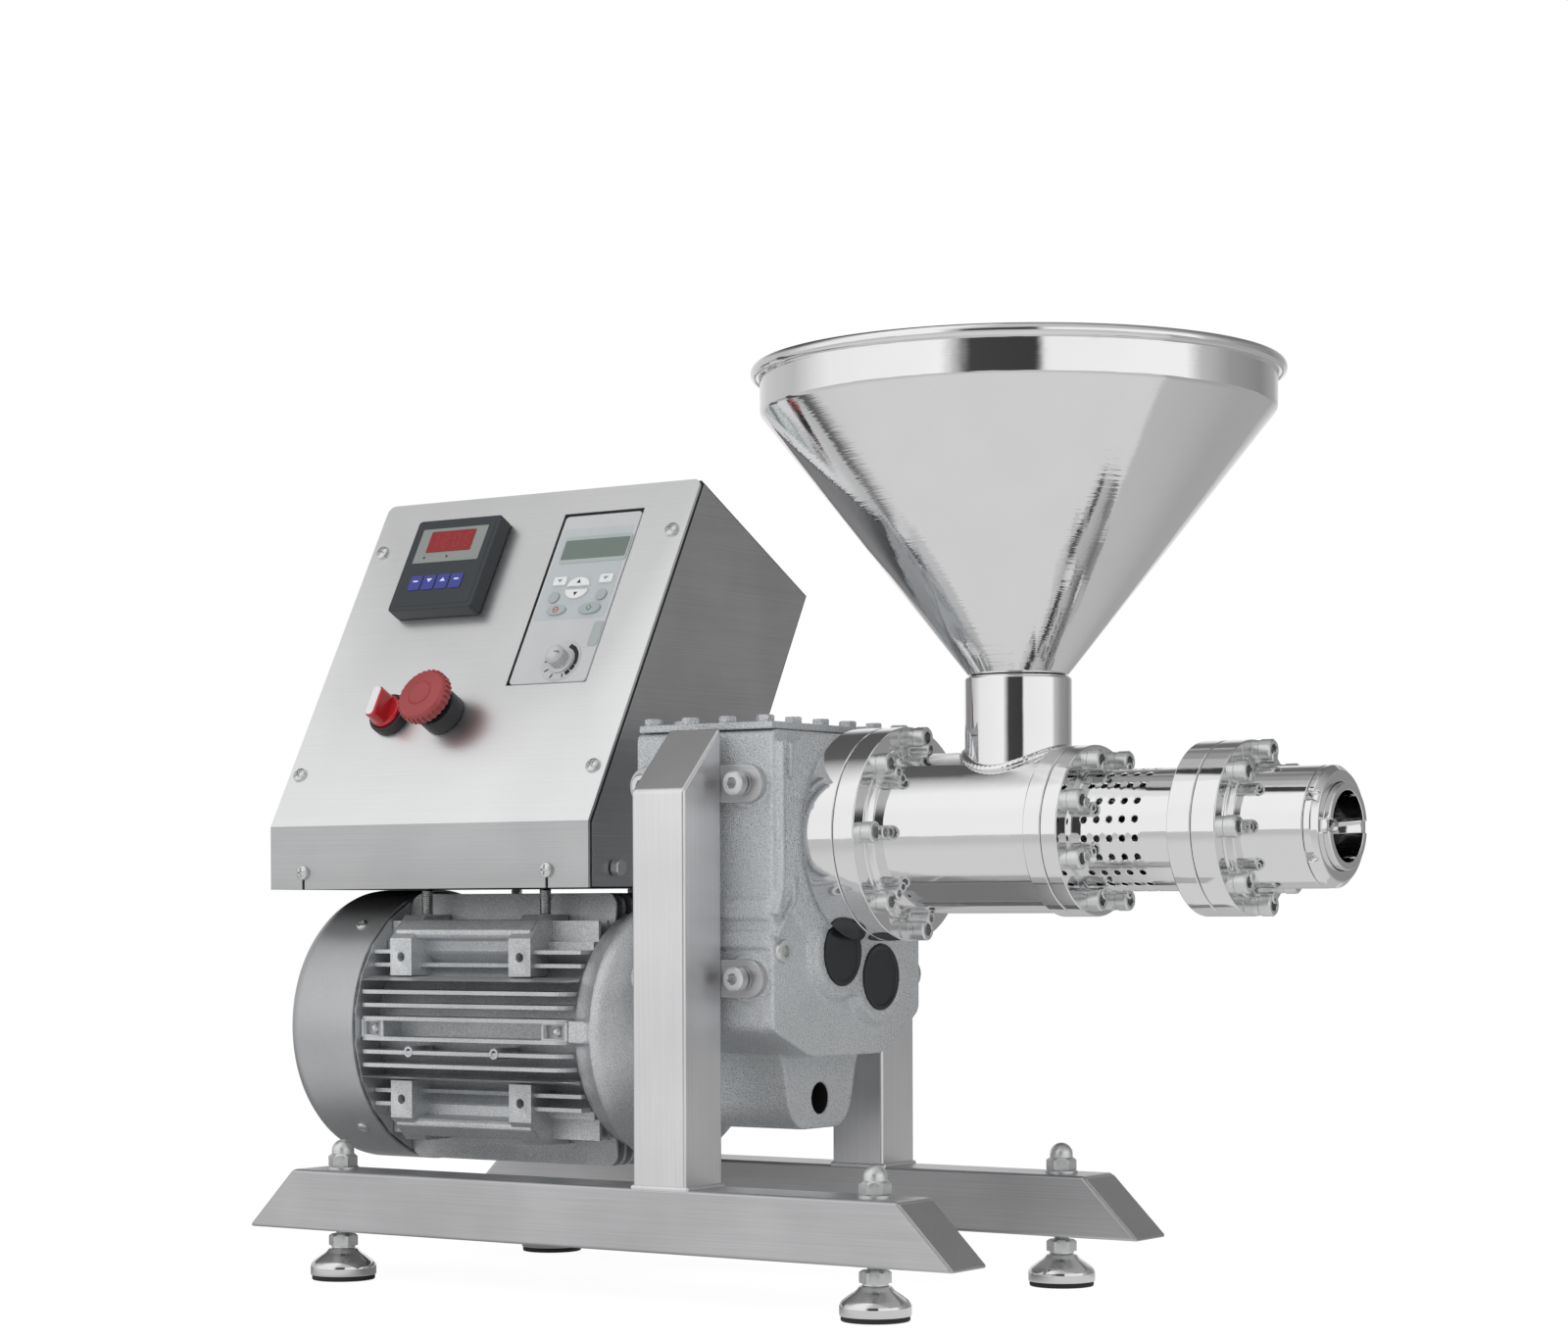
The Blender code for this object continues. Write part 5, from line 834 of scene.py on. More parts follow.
def foot(side_y, side_x):
    """A levelling foot: rubber ring, chromed dome, threaded stem and hexagon."""
    x, y = FOOT_XS[side_x], FOOT_YS[side_y]
    top = FOOT_PAD + FOOT_DOME
    pad = lathed("pad", softened([(0, 0), (FOOT_RADIUS - 0.0008, 0),
                                  (FOOT_RADIUS - 0.0008, FOOT_PAD * 0.62),
                                  (0, FOOT_PAD * 0.62)], 0.001, closed=False), RUBBER, "Z", (x, y, 0),
                 SMALL_SIDES)
    dome = [(0, FOOT_PAD * 0.62), (FOOT_RADIUS, FOOT_PAD * 0.62)]
    dome += [(FOOT_RADIUS * r, FOOT_PAD + FOOT_DOME * h) for r, h in FOOT_DOME_SHARES]
    dome += [(0, top)]
    shell = lathed("dome", softened(dome, 0.0035, 5, False), CHROME, "Z", (x, y, 0), 64, 50)
    base = gathered(f"foot_base_{side_y}_{side_x}", [pad, shell])
    z = top + FIT
    stations = [(0, z), (0.0078, z), (0.0078, z + 0.0012), (HEX_FLATS * 0.98, z + 0.0014, "hex"),
                (HEX_FLATS, z + 0.002, "hex"), (HEX_FLATS, z + 0.0078, "hex"),
                (HEX_FLATS * 0.48, z + 0.009), (0.0058, z + 0.0094)]
    turns = 4
    for k in range(turns):
        low = z + 0.0094 + k * 0.0008
        stations += [(STEM_RADIUS, low), (STEM_RADIUS * 0.86, low + 0.0004)]
    stations += [(STEM_RADIUS, SKID_BOTTOM - FIT), (0, SKID_BOTTOM - FIT)]
    stem = lathed(f"foot_stem_{side_y}_{side_x}", stations, ZINC, "Z", (x, y, 0), 48)
    body = f"foot_{side_y}_{side_x}"
    fitted(base, body, f"foot_base_{side_y}_{side_x}", slot="foot_chrome")
    fitted(stem, body, f"foot_stem_{side_y}_{side_x}", slot="machined_steel")


def build_frame():
    for side in FOOT_YS:
        fitted(skid(side), "frame", "skid_" + side, slot="frame_steel")
        fitted(post(side), "frame", "post_" + side, slot="frame_steel")
        fitted(strap_screws(side), "frame", slot="machined_steel")
        for end in FOOT_XS:
            foot(side, end)
    nuts = [cap_nut(x, y) for x in FOOT_XS.values() for y in FOOT_YS.values()]
    fitted(gathered("cap_nuts", nuts), "frame", slot="machined_steel")


def cast_skin(piece, voxel, rounds):
    """Grows one skin over overlapping shapes and rounds its edges, as sand casting does."""
    skin = piece.modifiers.new("skin", "REMESH")
    skin.mode = "VOXEL"
    skin.voxel_size = voxel
    skin.use_smooth_shade = True
    ease = piece.modifiers.new("ease", "SMOOTH")
    ease.factor = 0.5
    ease.iterations = rounds
    baked(piece)
    piece.data.shade_smooth()
    return piece


def ridge(places, x):
    """A narrow raised line on the casting's right face, through (y, z) places."""
    pieces = []
    for (y0, z0), (y1, z1) in zip(places, places[1:]):
        along = Vector((y1 - y0, z1 - z0))
        across = Vector((-along.y, along.x)).normalized() * RIB_WIDTH / 2
        ends = along.normalized() * RIB_WIDTH * 0.3
        corners = [Vector((y0, z0)) - ends - across, Vector((y1, z1)) + ends - across,
                   Vector((y1, z1)) + ends + across, Vector((y0, z0)) - ends + across]
        pieces.append(prism("ridge", [tuple(c) for c in corners], x - 0.004, x + RIB_PROUD, CASTING, "X"))
    return pieces


def gearbox_housing():
    """The casting: its box, ribs, the flare of the output flange, the cap boss, pads and lug."""
    half = BOX_HALF - 0.0006
    outline = [(-half, BOX_TOP), (-half, BOX_FRONT_BOTTOM), (-FLOOR_HALF, BOX_FLOOR),
               (FLOOR_HALF, BOX_FLOOR),
               (half, BOX_REAR_BOTTOM), (half, BOX_TOP)]
    right = BOX_RIGHT_X - 0.0004
    shapes = [prism("box", softened(outline, 0.006), BOX_LEFT_X, right, CASTING, "X")]
    shapes += ridge([(-0.0795, 0.348), (-0.0790, 0.260), (-0.0850, 0.243)], right)
    shapes += ridge([(-0.0700, 0.348), (-0.0704, 0.328)], right)
    shapes += ridge([(-0.0670, 0.264), (-0.0672, 0.250), (-0.0850, 0.229)], right)
    for low, high in ((0.2388, 0.2516), (0.2210, 0.2317)):
        shapes.append(block("band", (BOX_LEFT_X + 0.003, -BOX_HALF - 0.0016, low),
                            (right - 0.003, -BOX_HALF + 0.004, high),
                            CASTING))
    flare = [(0, 0.060), (0.0790, 0.060), (0.0790, right + 0.0012), (0.0740, right + 0.0026),
             (0.0690, right + 0.0048),
             (0.0655, 0.0815), (0.0640, 0.0822), (0.0640, 0.0838), (0, 0.0838)]
    dome = lathed("flare", flare, CASTING, "X", BARREL_AXIS, SIDES)
    above = block("above", (0.05, -0.1, BOX_TOP - 0.0012), (0.09, 0.1, BOX_TOP + 0.05), CASTING)
    shapes.append(combined(dome, [above]))
    for y, z in CAP_PLACES.values():
        boss = [(0, 0.060), (0.0345, 0.060), (0.0325, right), (0.0285, CAP_BOSS_FACE - 0.0012),
                (0.0270, CAP_BOSS_FACE), (0, CAP_BOSS_FACE)]
        shapes.append(lathed("boss", boss, CASTING, "X", (0, y, z), SIDES))
    (fy, fz), (ny, nz) = CAP_PLACES["far"], CAP_PLACES["near"]
    web = block("web", (0.060, ny, (fz + nz) / 2 - 0.019), (CAP_BOSS_FACE, fy, (fz + nz) / 2 + 0.030),
                CASTING)
    shapes.append(web)
    lug_middle = (BOX_LEFT_X + BOX_RIGHT_X) / 2
    lug = [(-FLOOR_HALF - 0.006, BOX_FLOOR + 0.004), (-FLOOR_HALF, BOX_FLOOR - 0.006),
           (-0.0349, LUG_LOW + 0.0105), (-0.024, LUG_LOW),
           (0.024, LUG_LOW), (0.0349, LUG_LOW + 0.0105), (FLOOR_HALF, BOX_FLOOR - 0.006),
           (FLOOR_HALF + 0.006, BOX_FLOOR + 0.004)]
    shapes.append(prism("lug", softened(lug, 0.009, 4), lug_middle - LUG_HALF, lug_middle + LUG_HALF,
                        CASTING, "X"))
    shapes.append(lathed("input", [(0, BOX_LEFT_X), (0.058, BOX_LEFT_X), (0.058, BOX_LEFT_X + 0.0224),
                                   (0, BOX_LEFT_X + 0.0224)], CASTING, "X",
                         MOTOR_AXIS, SIDES))
    for side in (-1, 1):
        for x in (TUBE / 2 - STRAP_SCREW_REACH, TUBE / 2 + STRAP_SCREW_REACH):
            for z in STRAP_HEIGHTS:
                faces = sorted((side * (BOX_HALF - 0.004), side * (BOX_HALF + 0.0019)))
                outline = [(b, a) for a, b in arc(0.0150, 0, 360, 40, (x, z))[:-1]]
                shapes.append(prism("pad", outline, *faces, CASTING, "Y"))
    piece = gathered("gearbox_housing_casting", shapes)
    cast_skin(piece, 0.0012, 2)
    # The bore's cutter carries the black ink, meant as painted shade on its walls, and a thin black cup
    # lines the bore as painted shade inside the hole.
    hole = lathed("hole", [(0, -0.05), (0.0105, -0.05), (0.0105, 0.02), (0, 0.02)], INK_AND_PAINTED_SHADE, "X",
                  (lug_middle + LUG_HALF, 0, LUG_HOLE_Z), SMALL_SIDES)
    pockets = [lathed("pocket", [(0, 0.0745), (CAP_RADIUS + 0.0005, 0.0745), (CAP_RADIUS + 0.0005, 0.09),
                                 (0, 0.09)],
                      CASTING, "X", (0, y, z), SIDES) for y, z in CAP_PLACES.values()]
    cup = [(0, -0.040), (0.0104, -0.040), (0.0104, -0.0012), (0.0101, -0.0012), (0.0101, -0.0396),
           (0, -0.0396)]
    lining = lathed("lining", cup, INK_AND_PAINTED_SHADE, "X", (lug_middle + LUG_HALF, 0, LUG_HOLE_Z), SMALL_SIDES)
    return gathered("gearbox_housing_casting", [combined(piece, [hole, *pockets]), lining])


def shaft_cap(y, z):
    """A black pressed cap with a shallow dish."""
    back = CAP_FACE - 0.006
    profile = [(0, back), (CAP_RADIUS, back), (CAP_RADIUS, CAP_FACE), (CAP_RADIUS - 0.0022, CAP_FACE),
               (CAP_RADIUS - 0.0030, CAP_FACE - 0.0012), (0, CAP_FACE - 0.0012)]
    return lathed("cap", softened(profile, 0.0005, 2, False), CAP_BLACK, "X", (0, y, z), SIDES)


def gearbox_cover():
    """The flat cover, set in a little from the casting's edges."""
    edge = 0.0014
    low = (BOX_LEFT_X + edge, -BOX_HALF + edge, BOX_TOP + FIT)
    high = (BOX_RIGHT_X - edge, BOX_HALF - edge, BOX_TOP + FIT + COVER_THICKNESS)
    return block("gearbox_cover_plate", low, high, CASTING, 0.0011, 3)


def cover_bolts():
    """Painted hexagon bolts along the cover's four edges."""
    bolt = hex_bolt("pattern", 0.0100, 0.0042)
    top = BOX_TOP + FIT + COVER_THICKNESS
    long_side = (BOX_RIGHT_X - BOX_LEFT_X) - 0.019
    middle = (BOX_LEFT_X + BOX_RIGHT_X) / 2 - 0.0015
    wide = 2 * (BOX_HALF - 0.0082)
    rows = screw_grid("rows", bolt, 4, 2, long_side, wide, (middle, 0, top), 5, CASTING)
    ends = screw_grid("ends", bolt, 2, 4, long_side, wide * 0.6, (middle, 0, top), 6, CASTING)
    hidden(bolt)
    return gathered("cover_bolts", [rows, ends])


def gearbox_plugs():
    """Two socket plugs: the large one low on the right face and the small one on the flare."""
    plugs = []
    for radius, y, z, x in ((0.0068, -0.0749, 0.2191, BOX_RIGHT_X), (0.0042, -0.0193, 0.2412, 0.0838)):
        rim = [(0, x - 0.002), (radius * 1.12, x - 0.002), (radius * 1.12, x + 0.0010),
               (radius, x + 0.0022),
               (radius * 0.80, x + 0.0026), (radius * 1.05, x + 0.0024, "hex"),
               (radius * 1.05, x - 0.0014, "hex"), (0, x - 0.0015)]
        plugs.append(lathed("plug", rim, ZINC, "X", (0, y, z), 48))
    return gathered("gearbox_plugs", plugs)


def build_gearbox():
    fitted(gearbox_housing(), "frame", "gearbox_housing", slot="gearbox_paint")
    fitted(gearbox_cover(), "frame", "gearbox_cover", slot="gearbox_paint")
    fitted(cover_bolts(), "frame", slot="gearbox_paint")
    fitted(gearbox_plugs(), "frame", slot="machined_steel")
    caps = gathered("shaft_caps", [shaft_cap(*place) for place in CAP_PLACES.values()])
    fitted(caps, "frame", "shaft_cap_near", "shaft_cap_far", slot="black_plastic")


def flange(name, radius, bore, ends, edge=0.0009):
    profile = softened(ring_profile(radius, bore, *ends), edge)
    return lathed(name, profile, BARREL_STEEL, "X", BARREL_AXIS, FINE_SIDES)


def neck_weld():
    """The weld bead where the neck meets the barrel: overlapping ripples along the saddle."""
    bm = bmesh.new()
    steps = 220
    around = 10
    rings = []
    for i in range(steps):
        turn = 2 * math.pi * i / steps
        ripple = 0.0030 * (1 + 0.10 * abs(math.sin(turn * 34)))
        side = NECK_RADIUS * math.sin(turn)
        foot_place = Vector((NECK_X + NECK_RADIUS * math.cos(turn), side,
                             BARREL_Z + math.sqrt(BARREL_RADIUS**2 - side**2)))
        out = Vector((math.cos(turn), math.sin(turn), 0))
        rings.append([bm.verts.new(foot_place + out * ripple * math.cos(a)
                                   + Vector((0, 0, ripple * math.sin(a))))
                      for a in (2 * math.pi * k / around for k in range(around))])
    for i in range(steps):
        one, two = rings[i], rings[(i + 1) % steps]
        for k in range(around):
            j = (k + 1) % around
            bm.faces.new((one[k], one[j], two[j], two[k]))
    return settled(bm, "weld", BARREL_STEEL, 60)


def feed_barrel():
    """The barrel: its flange, tube, end collar and the neck welded on above."""
    low, high = BARREL_FLANGE_ENDS
    profile = [(BORE_RADIUS, low), (FLANGE_RADIUS, low), (FLANGE_RADIUS, high), (0.0560, high),
               (0.0556, high + 0.0010),
               (0.0535, high + 0.0012), (BARREL_RADIUS, high + 0.0034),
               (BARREL_RADIUS, BARREL_END - 0.0122),
               (BARREL_COLLAR_RADIUS, BARREL_END - 0.0120), (BARREL_COLLAR_RADIUS, BARREL_END),
               (BORE_RADIUS, BARREL_END)]
    tube = lathed("tube", softened(profile, 0.0009), BARREL_STEEL, "X", BARREL_AXIS, FINE_SIDES)
    edge = 0.0016
    neck_profile = [(NECK_BORE, BARREL_Z + 0.034), (NECK_RADIUS, BARREL_Z + 0.034),
                    (NECK_RADIUS, NECK_TOP - edge),
                    (NECK_RADIUS - edge, NECK_TOP), (NECK_BORE, NECK_TOP)]
    neck = lathed("neck", softened(neck_profile, 0.0012), BARREL_STEEL, "Z", (NECK_X, 0, 0), FINE_SIDES)
    throat = lathed("throat", [(0, BARREL_Z + 0.01), (NECK_BORE - FIT, BARREL_Z + 0.01),
                               (NECK_BORE - FIT, NECK_TOP + 0.01), (0, NECK_TOP + 0.01)],
                    BARREL_STEEL, "Z", (NECK_X, 0, 0), FINE_SIDES)
    combined(tube, [throat])
    return gathered("feed_barrel_shell", [tube, neck, neck_weld()])


def cage_cell(length, width, radius, depth, segments=16):
    """One cell of the perforated tube, laid flat: a plate with a chamfered round hole."""
    bm = bmesh.new()
    chamfer = 0.00045

    def loop(maker, z):
        return [bm.verts.new((*maker(k), z)) for k in range(segments)]

    def square(k):
        """Even steps round the cell's edge, starting at its right side's middle."""
        place = (k + segments / 8) % segments / (segments / 4)
        side, part = int(place), place - int(place)
        corners = ((1, -1), (1, 1), (-1, 1), (-1, -1), (1, -1))
        (x0, y0), (x1, y1) = corners[side], corners[side + 1]
        return ((x0 + (x1 - x0) * part) * length / 2, (y0 + (y1 - y0) * part) * width / 2)

    def circle(size):
        return lambda k: (size * math.cos(2 * math.pi * k / segments),
                          size * math.sin(2 * math.pi * k / segments))

    loops = [loop(square, 0), loop(circle(radius + chamfer), 0), loop(circle(radius), -chamfer),
             loop(circle(radius), -depth), loop(square, -depth)]
    for one, two in zip(loops, loops[1:]):
        for k in range(segments):
            j = (k + 1) % segments
            bm.faces.new((one[k], one[j], two[j], two[k]))
    return settled(bm, "cell", BARREL_STEEL, 30)


def cage_wrap_tree():
    """Lays cells in a grid, welds them and wraps the sheet round the X axis."""
    sizes = (("Cell", "Object"), ("Columns", "Int"), ("Rows", "Int"), ("Length", "Float"),
             ("Girth", "Float"),
             ("Radius", "Float"), ("Middle", "Vector"))
    tree = Tree("cage_wrap", sizes)
    grid = tree.node("GeometryNodeMeshGrid", {}, {
        "Size X": tree.size("Length"), "Size Y": tree.size("Girth"),
        "Vertices X": tree.size("Columns"), "Vertices Y": tree.size("Rows")})
    cell = tree.node("GeometryNodeObjectInfo", {}, {"Object": tree.size("Cell")}, "Geometry")
    cells = tree.node("GeometryNodeInstanceOnPoints", {}, {"Points": grid, "Instance": cell})
    sheet = tree.node("GeometryNodeRealizeInstances", {}, {"Geometry": cells})
    flat = tree.node("GeometryNodeInputPosition")
    parts = tree.node("ShaderNodeSeparateXYZ", {}, {0: flat}).node.outputs
    turn = tree.maths("DIVIDE", parts["Y"], tree.size("Radius"))
    reach = tree.maths("ADD", parts["Z"], tree.size("Radius"))
    wrapped = tree.node("ShaderNodeCombineXYZ", {}, {
        "X": parts["X"],
        "Y": tree.maths("MULTIPLY", reach, tree.maths("SINE", turn)),
        "Z": tree.maths("MULTIPLY", reach, tree.maths("COSINE", turn))})
    tube = tree.node("GeometryNodeSetPosition", {},
                     {"Geometry": sheet, "Position": wrapped, "Offset": tree.size("Middle")})
    welded = tree.node("GeometryNodeMergeByDistance", {}, {"Geometry": tube, "Distance": 0.00003})
    return tree.end(welded)


def drain_cage():
    """The perforated tube between its two flanges."""
    start, tube_start, tube_end, end = CAGE_ENDS
    rows, columns, pitch = CAGE_ROWS, CAGE_COLUMNS, CAGE_HOLE_PITCH
    girth = 2 * math.pi * CAGE_RADIUS
    depth = CAGE_RADIUS - BORE_RADIUS
    cell = cage_cell(pitch, girth / rows, CAGE_HOLE_RADIUS, depth)
    middle = tube_start + CAGE_HOLES_FROM + pitch * columns / 2
    wrap = cage_wrap_tree()
    sheet = wrap.grown("sheet", {"Cell": cell, "Columns": columns, "Rows": rows,
                                 "Length": pitch * (columns - 1),
                                 "Girth": girth * (rows - 1) / rows, "Radius": CAGE_RADIUS,
                                 "Middle": (middle, 0, BARREL_Z), "Finish": BARREL_STEEL})
    hidden(cell)
    sheet.data.shade_smooth()
    sheet.data.set_sharp_from_angle(angle=math.radians(30))
    reach = pitch * columns / 2
    ends = [lathed("end", ring_profile(CAGE_RADIUS, BORE_RADIUS, *span), BARREL_STEEL, "X", BARREL_AXIS,
                   80)
            for span in ((tube_start - 0.001, middle - reach), (middle + reach, tube_end + 0.001))]
    weld = 0.0016
    rear = [(BORE_RADIUS, start), (CAGE_FLANGE_RADIUS, start), (CAGE_FLANGE_RADIUS, tube_start),
            (CAGE_RADIUS + 0.004, tube_start), (CAGE_RADIUS, tube_start + weld),
            (BORE_RADIUS, tube_start + weld)]
    rear_flange = lathed("rear", softened(rear, 0.0008), BARREL_STEEL, "X", BARREL_AXIS, FINE_SIDES)
    front_flange = flange("front", CAGE_FLANGE_RADIUS, BORE_RADIUS, (tube_end, end))
    return gathered("drain_cage_shell", [sheet, *ends, rear_flange, front_flange])


def press_head():
    """The flanged head, with a ring step at its foot and a threaded end."""
    start, tube_start, end = HEAD_ENDS
    profile = [(BORE_RADIUS, start), (CAGE_FLANGE_RADIUS, start), (CAGE_FLANGE_RADIUS, tube_start),
               (0.0425, tube_start), (0.0420, tube_start + 0.0012), (0.0400, tube_start + 0.0014),
               (HEAD_RADIUS, tube_start + 0.0032), (HEAD_RADIUS, end), (SLEEVE_RADIUS + FIT, end),
               (SLEEVE_RADIUS + FIT, end - 0.012),
               (BORE_RADIUS, end - 0.012)]
    return lathed("press_head_shell", softened(profile, 0.0008), BARREL_STEEL, "X", BARREL_AXIS,
                  FINE_SIDES)


def rim_slots(piece, count, width, depth, outer, start, end, first=0.0):
    """Spanner slots cut in from a ring's rim."""
    slots = []
    for k in range(count):
        slot = block("slot", (start, -width / 2, outer - depth), (end, width / 2, outer + 0.01),
                     BARREL_STEEL)
        turn = Matrix.Rotation(math.radians(first) + 2 * math.pi * k / count, 4, "X")
        slots.append(moved(slot, Matrix.Translation(BARREL_AXIS) @ turn))
    return combined(piece, slots)


def ring_nut():
    """The slotted ring nut that locks the sleeve."""
    start, end = NUT_ENDS
    profile = [(SLEEVE_RADIUS + FIT, start), (HEAD_RADIUS, start), (HEAD_RADIUS, end - 0.0035),
               (HEAD_RADIUS - 0.0035, end), (SLEEVE_RADIUS + FIT, end)]
    nut = lathed("ring_nut_shell", softened(profile, 0.0009), BARREL_STEEL, "X", BARREL_AXIS, FINE_SIDES)
    return rim_slots(nut, 6, 0.006, 0.003, HEAD_RADIUS, start - 0.001, end + 0.001)


def outlet_sleeve():
    """The adjusting sleeve with its two notches, threaded where it goes into the head."""
    start, end = SLEEVE_ENDS
    profile = [(SLEEVE_BORE, start), (SLEEVE_RADIUS, start), (SLEEVE_RADIUS, end), (SLEEVE_BORE, end)]
    sleeve = lathed("outlet_sleeve_shell", softened(profile, 0.0007), BARREL_STEEL, "X", BARREL_AXIS,
                    SIDES)
    return rim_slots(sleeve, 2, 0.007, 0.0058, SLEEVE_RADIUS, end - 0.0025, end + 0.001, 90)


def barrel_screws():
    """The socket screws of the three flanges and the small jack screws between them."""
    big = socket_screw("big", 0.0067, 0.0080, 0.0068, 0.0062, 0.0046)
    small = socket_screw("small", 0.0042, 0.0050, 0.0042, 0.0038, 0.0100)
    tiny = socket_screw("tiny", 0.0036, 0.0045, 0.0036, 0.0033, 0.0090)
    made = [
        screw_ring("barrel_flange_screws", big, 8, 0.0603, 270, BARREL_FLANGE_ENDS[1], BARREL_Z, 11),
        screw_ring("barrel_jack_screws", small, 8, 0.0530, 270, BARREL_FLANGE_ENDS[1], BARREL_Z, 12),
        screw_ring("cage_flange_screws", big, 8, 0.0455, 292.5, CAGE_ENDS[1], BARREL_Z, 13),
        screw_ring("cage_jack_screws", tiny, 8, 0.0412, 292.5, CAGE_ENDS[1], BARREL_Z, 14),
        screw_ring("head_flange_screws", big, 8, 0.0455, 270, HEAD_ENDS[1], BARREL_Z, 15),
        screw_ring("head_jack_screws", tiny, 8, 0.0412, 270, HEAD_ENDS[1], BARREL_Z, 16),
    ]
    for pattern in (big, small, tiny):
        hidden(pattern)
    return made


def build_barrel():
    shells = {"adapter_flange": flange("adapter_flange_ring", FLANGE_RADIUS, ADAPTER_BORE, ADAPTER_ENDS),
              "feed_barrel": feed_barrel(), "drain_cage": drain_cage(), "press_head": press_head(),
              "ring_nut": ring_nut()}
    for node, shell in shells.items():
        fitted(shell, "frame", node, slot="polished_steel")
    fitted(outlet_sleeve(), "outlet_body", "outlet_sleeve", slot="polished_steel")
    for screws in barrel_screws():
        fitted(screws, "frame", slot="machined_steel")


def hopper():
    """The spun funnel: rolled bead, band, cone and the spigot in the neck."""
    slope = (HOPPER_RADIUS - HOPPER_FOOT_RADIUS) / (HOPPER_BAND_Z - HOPPER_FOOT_Z)
    inside = HOPPER_SHEET * math.hypot(1, slope)
    spigot = NECK_BORE - FIT
    bead_middle = HOPPER_TOP - HOPPER_BEAD_HEIGHT / 2
    bead = [(HOPPER_RADIUS + HOPPER_BEAD * 0.48 + HOPPER_BEAD * 0.52 * math.cos(t),
             bead_middle + HOPPER_BEAD_HEIGHT / 2 * math.sin(t))
            for t in (math.radians(a) for a in range(-140, 151, 20))]
    wall = HOPPER_RADIUS - HOPPER_SHEET
    inner_foot = spigot - HOPPER_SHEET
    inner_z = HOPPER_FOOT_Z + (inner_foot + inside - HOPPER_FOOT_RADIUS) / slope
    low = HOPPER_FOOT_Z - SPIGOT_LENGTH
    cone_steps = 10
    cone = [(HOPPER_FOOT_RADIUS + (HOPPER_RADIUS - HOPPER_FOOT_RADIUS) * k / cone_steps,
             HOPPER_FOOT_Z + (HOPPER_BAND_Z - HOPPER_FOOT_Z) * k / cone_steps)
            for k in range(1, cone_steps)]
    profile = [(spigot, low), (spigot, HOPPER_FOOT_Z), (HOPPER_FOOT_RADIUS, HOPPER_FOOT_Z + 0.0002), *cone,
               (HOPPER_RADIUS, HOPPER_BAND_Z), (HOPPER_RADIUS, HOPPER_TOP - HOPPER_BEAD_HEIGHT), *bead,
               (wall, HOPPER_TOP - 0.004), (wall, HOPPER_BAND_Z), (inner_foot, inner_z), (inner_foot, low)]
    return lathed("hopper_shell", softened(profile, 0.0022, 3), HOPPER_STEEL, "Z", (NECK_X, 0, 0), 200, 40)


def fin_tip(across):
    """How far a fin reaches at this distance from its side's middle; it stays behind the pads."""
    reach = (FIN_TIP**5 - abs(across) ** 5) ** 0.2
    return min(reach, PAD_FACE - 0.004) if abs(across) > PAD_EDGE - 0.002 else reach


def fin_outline():
    """The motor seen along X: straight fins on four sides and a rail at each corner."""
    points = []
    middles = [FIN_CHANNEL / 2 + k * FIN_PITCH for k in range(FINS_PER_HALF)]
    middles = [-m for m in reversed(middles)] + middles
    corner = RAIL_RADIUS / math.sqrt(2)
    for side in range(4):
        turn = Matrix.Rotation(side * math.pi / 2, 2)
        for i, middle in enumerate(middles):
            first, last = i == 0, i == len(middles) - 1
            low, high = middle - FIN_THICKNESS / 2, middle + FIN_THICKNESS / 2
            root_low = FIN_CORNER if last else FIN_ROOT
            root_high = FIN_CORNER if first else FIN_ROOT
            flank = ([(corner, -corner), (corner, low)] if first
                     else [(math.sqrt(root_low**2 - low**2), low)])
            flank.append((fin_tip(low), low))
            flank.append((fin_tip(high), high))
            flank.append((corner, high) if last else (math.sqrt(root_high**2 - high**2), high))
            points += [tuple(turn @ Vector(p)) for p in flank]
    return [(y, z + MOTOR_Z) for y, z in points]


def motor_turned(piece, quarter):
    """Turns a piece made on the motor's top round its axis by quarters."""
    return moved(piece, Matrix.Translation(MOTOR_AXIS) @ Matrix.Rotation(quarter * math.pi / 2, 4, "X"))


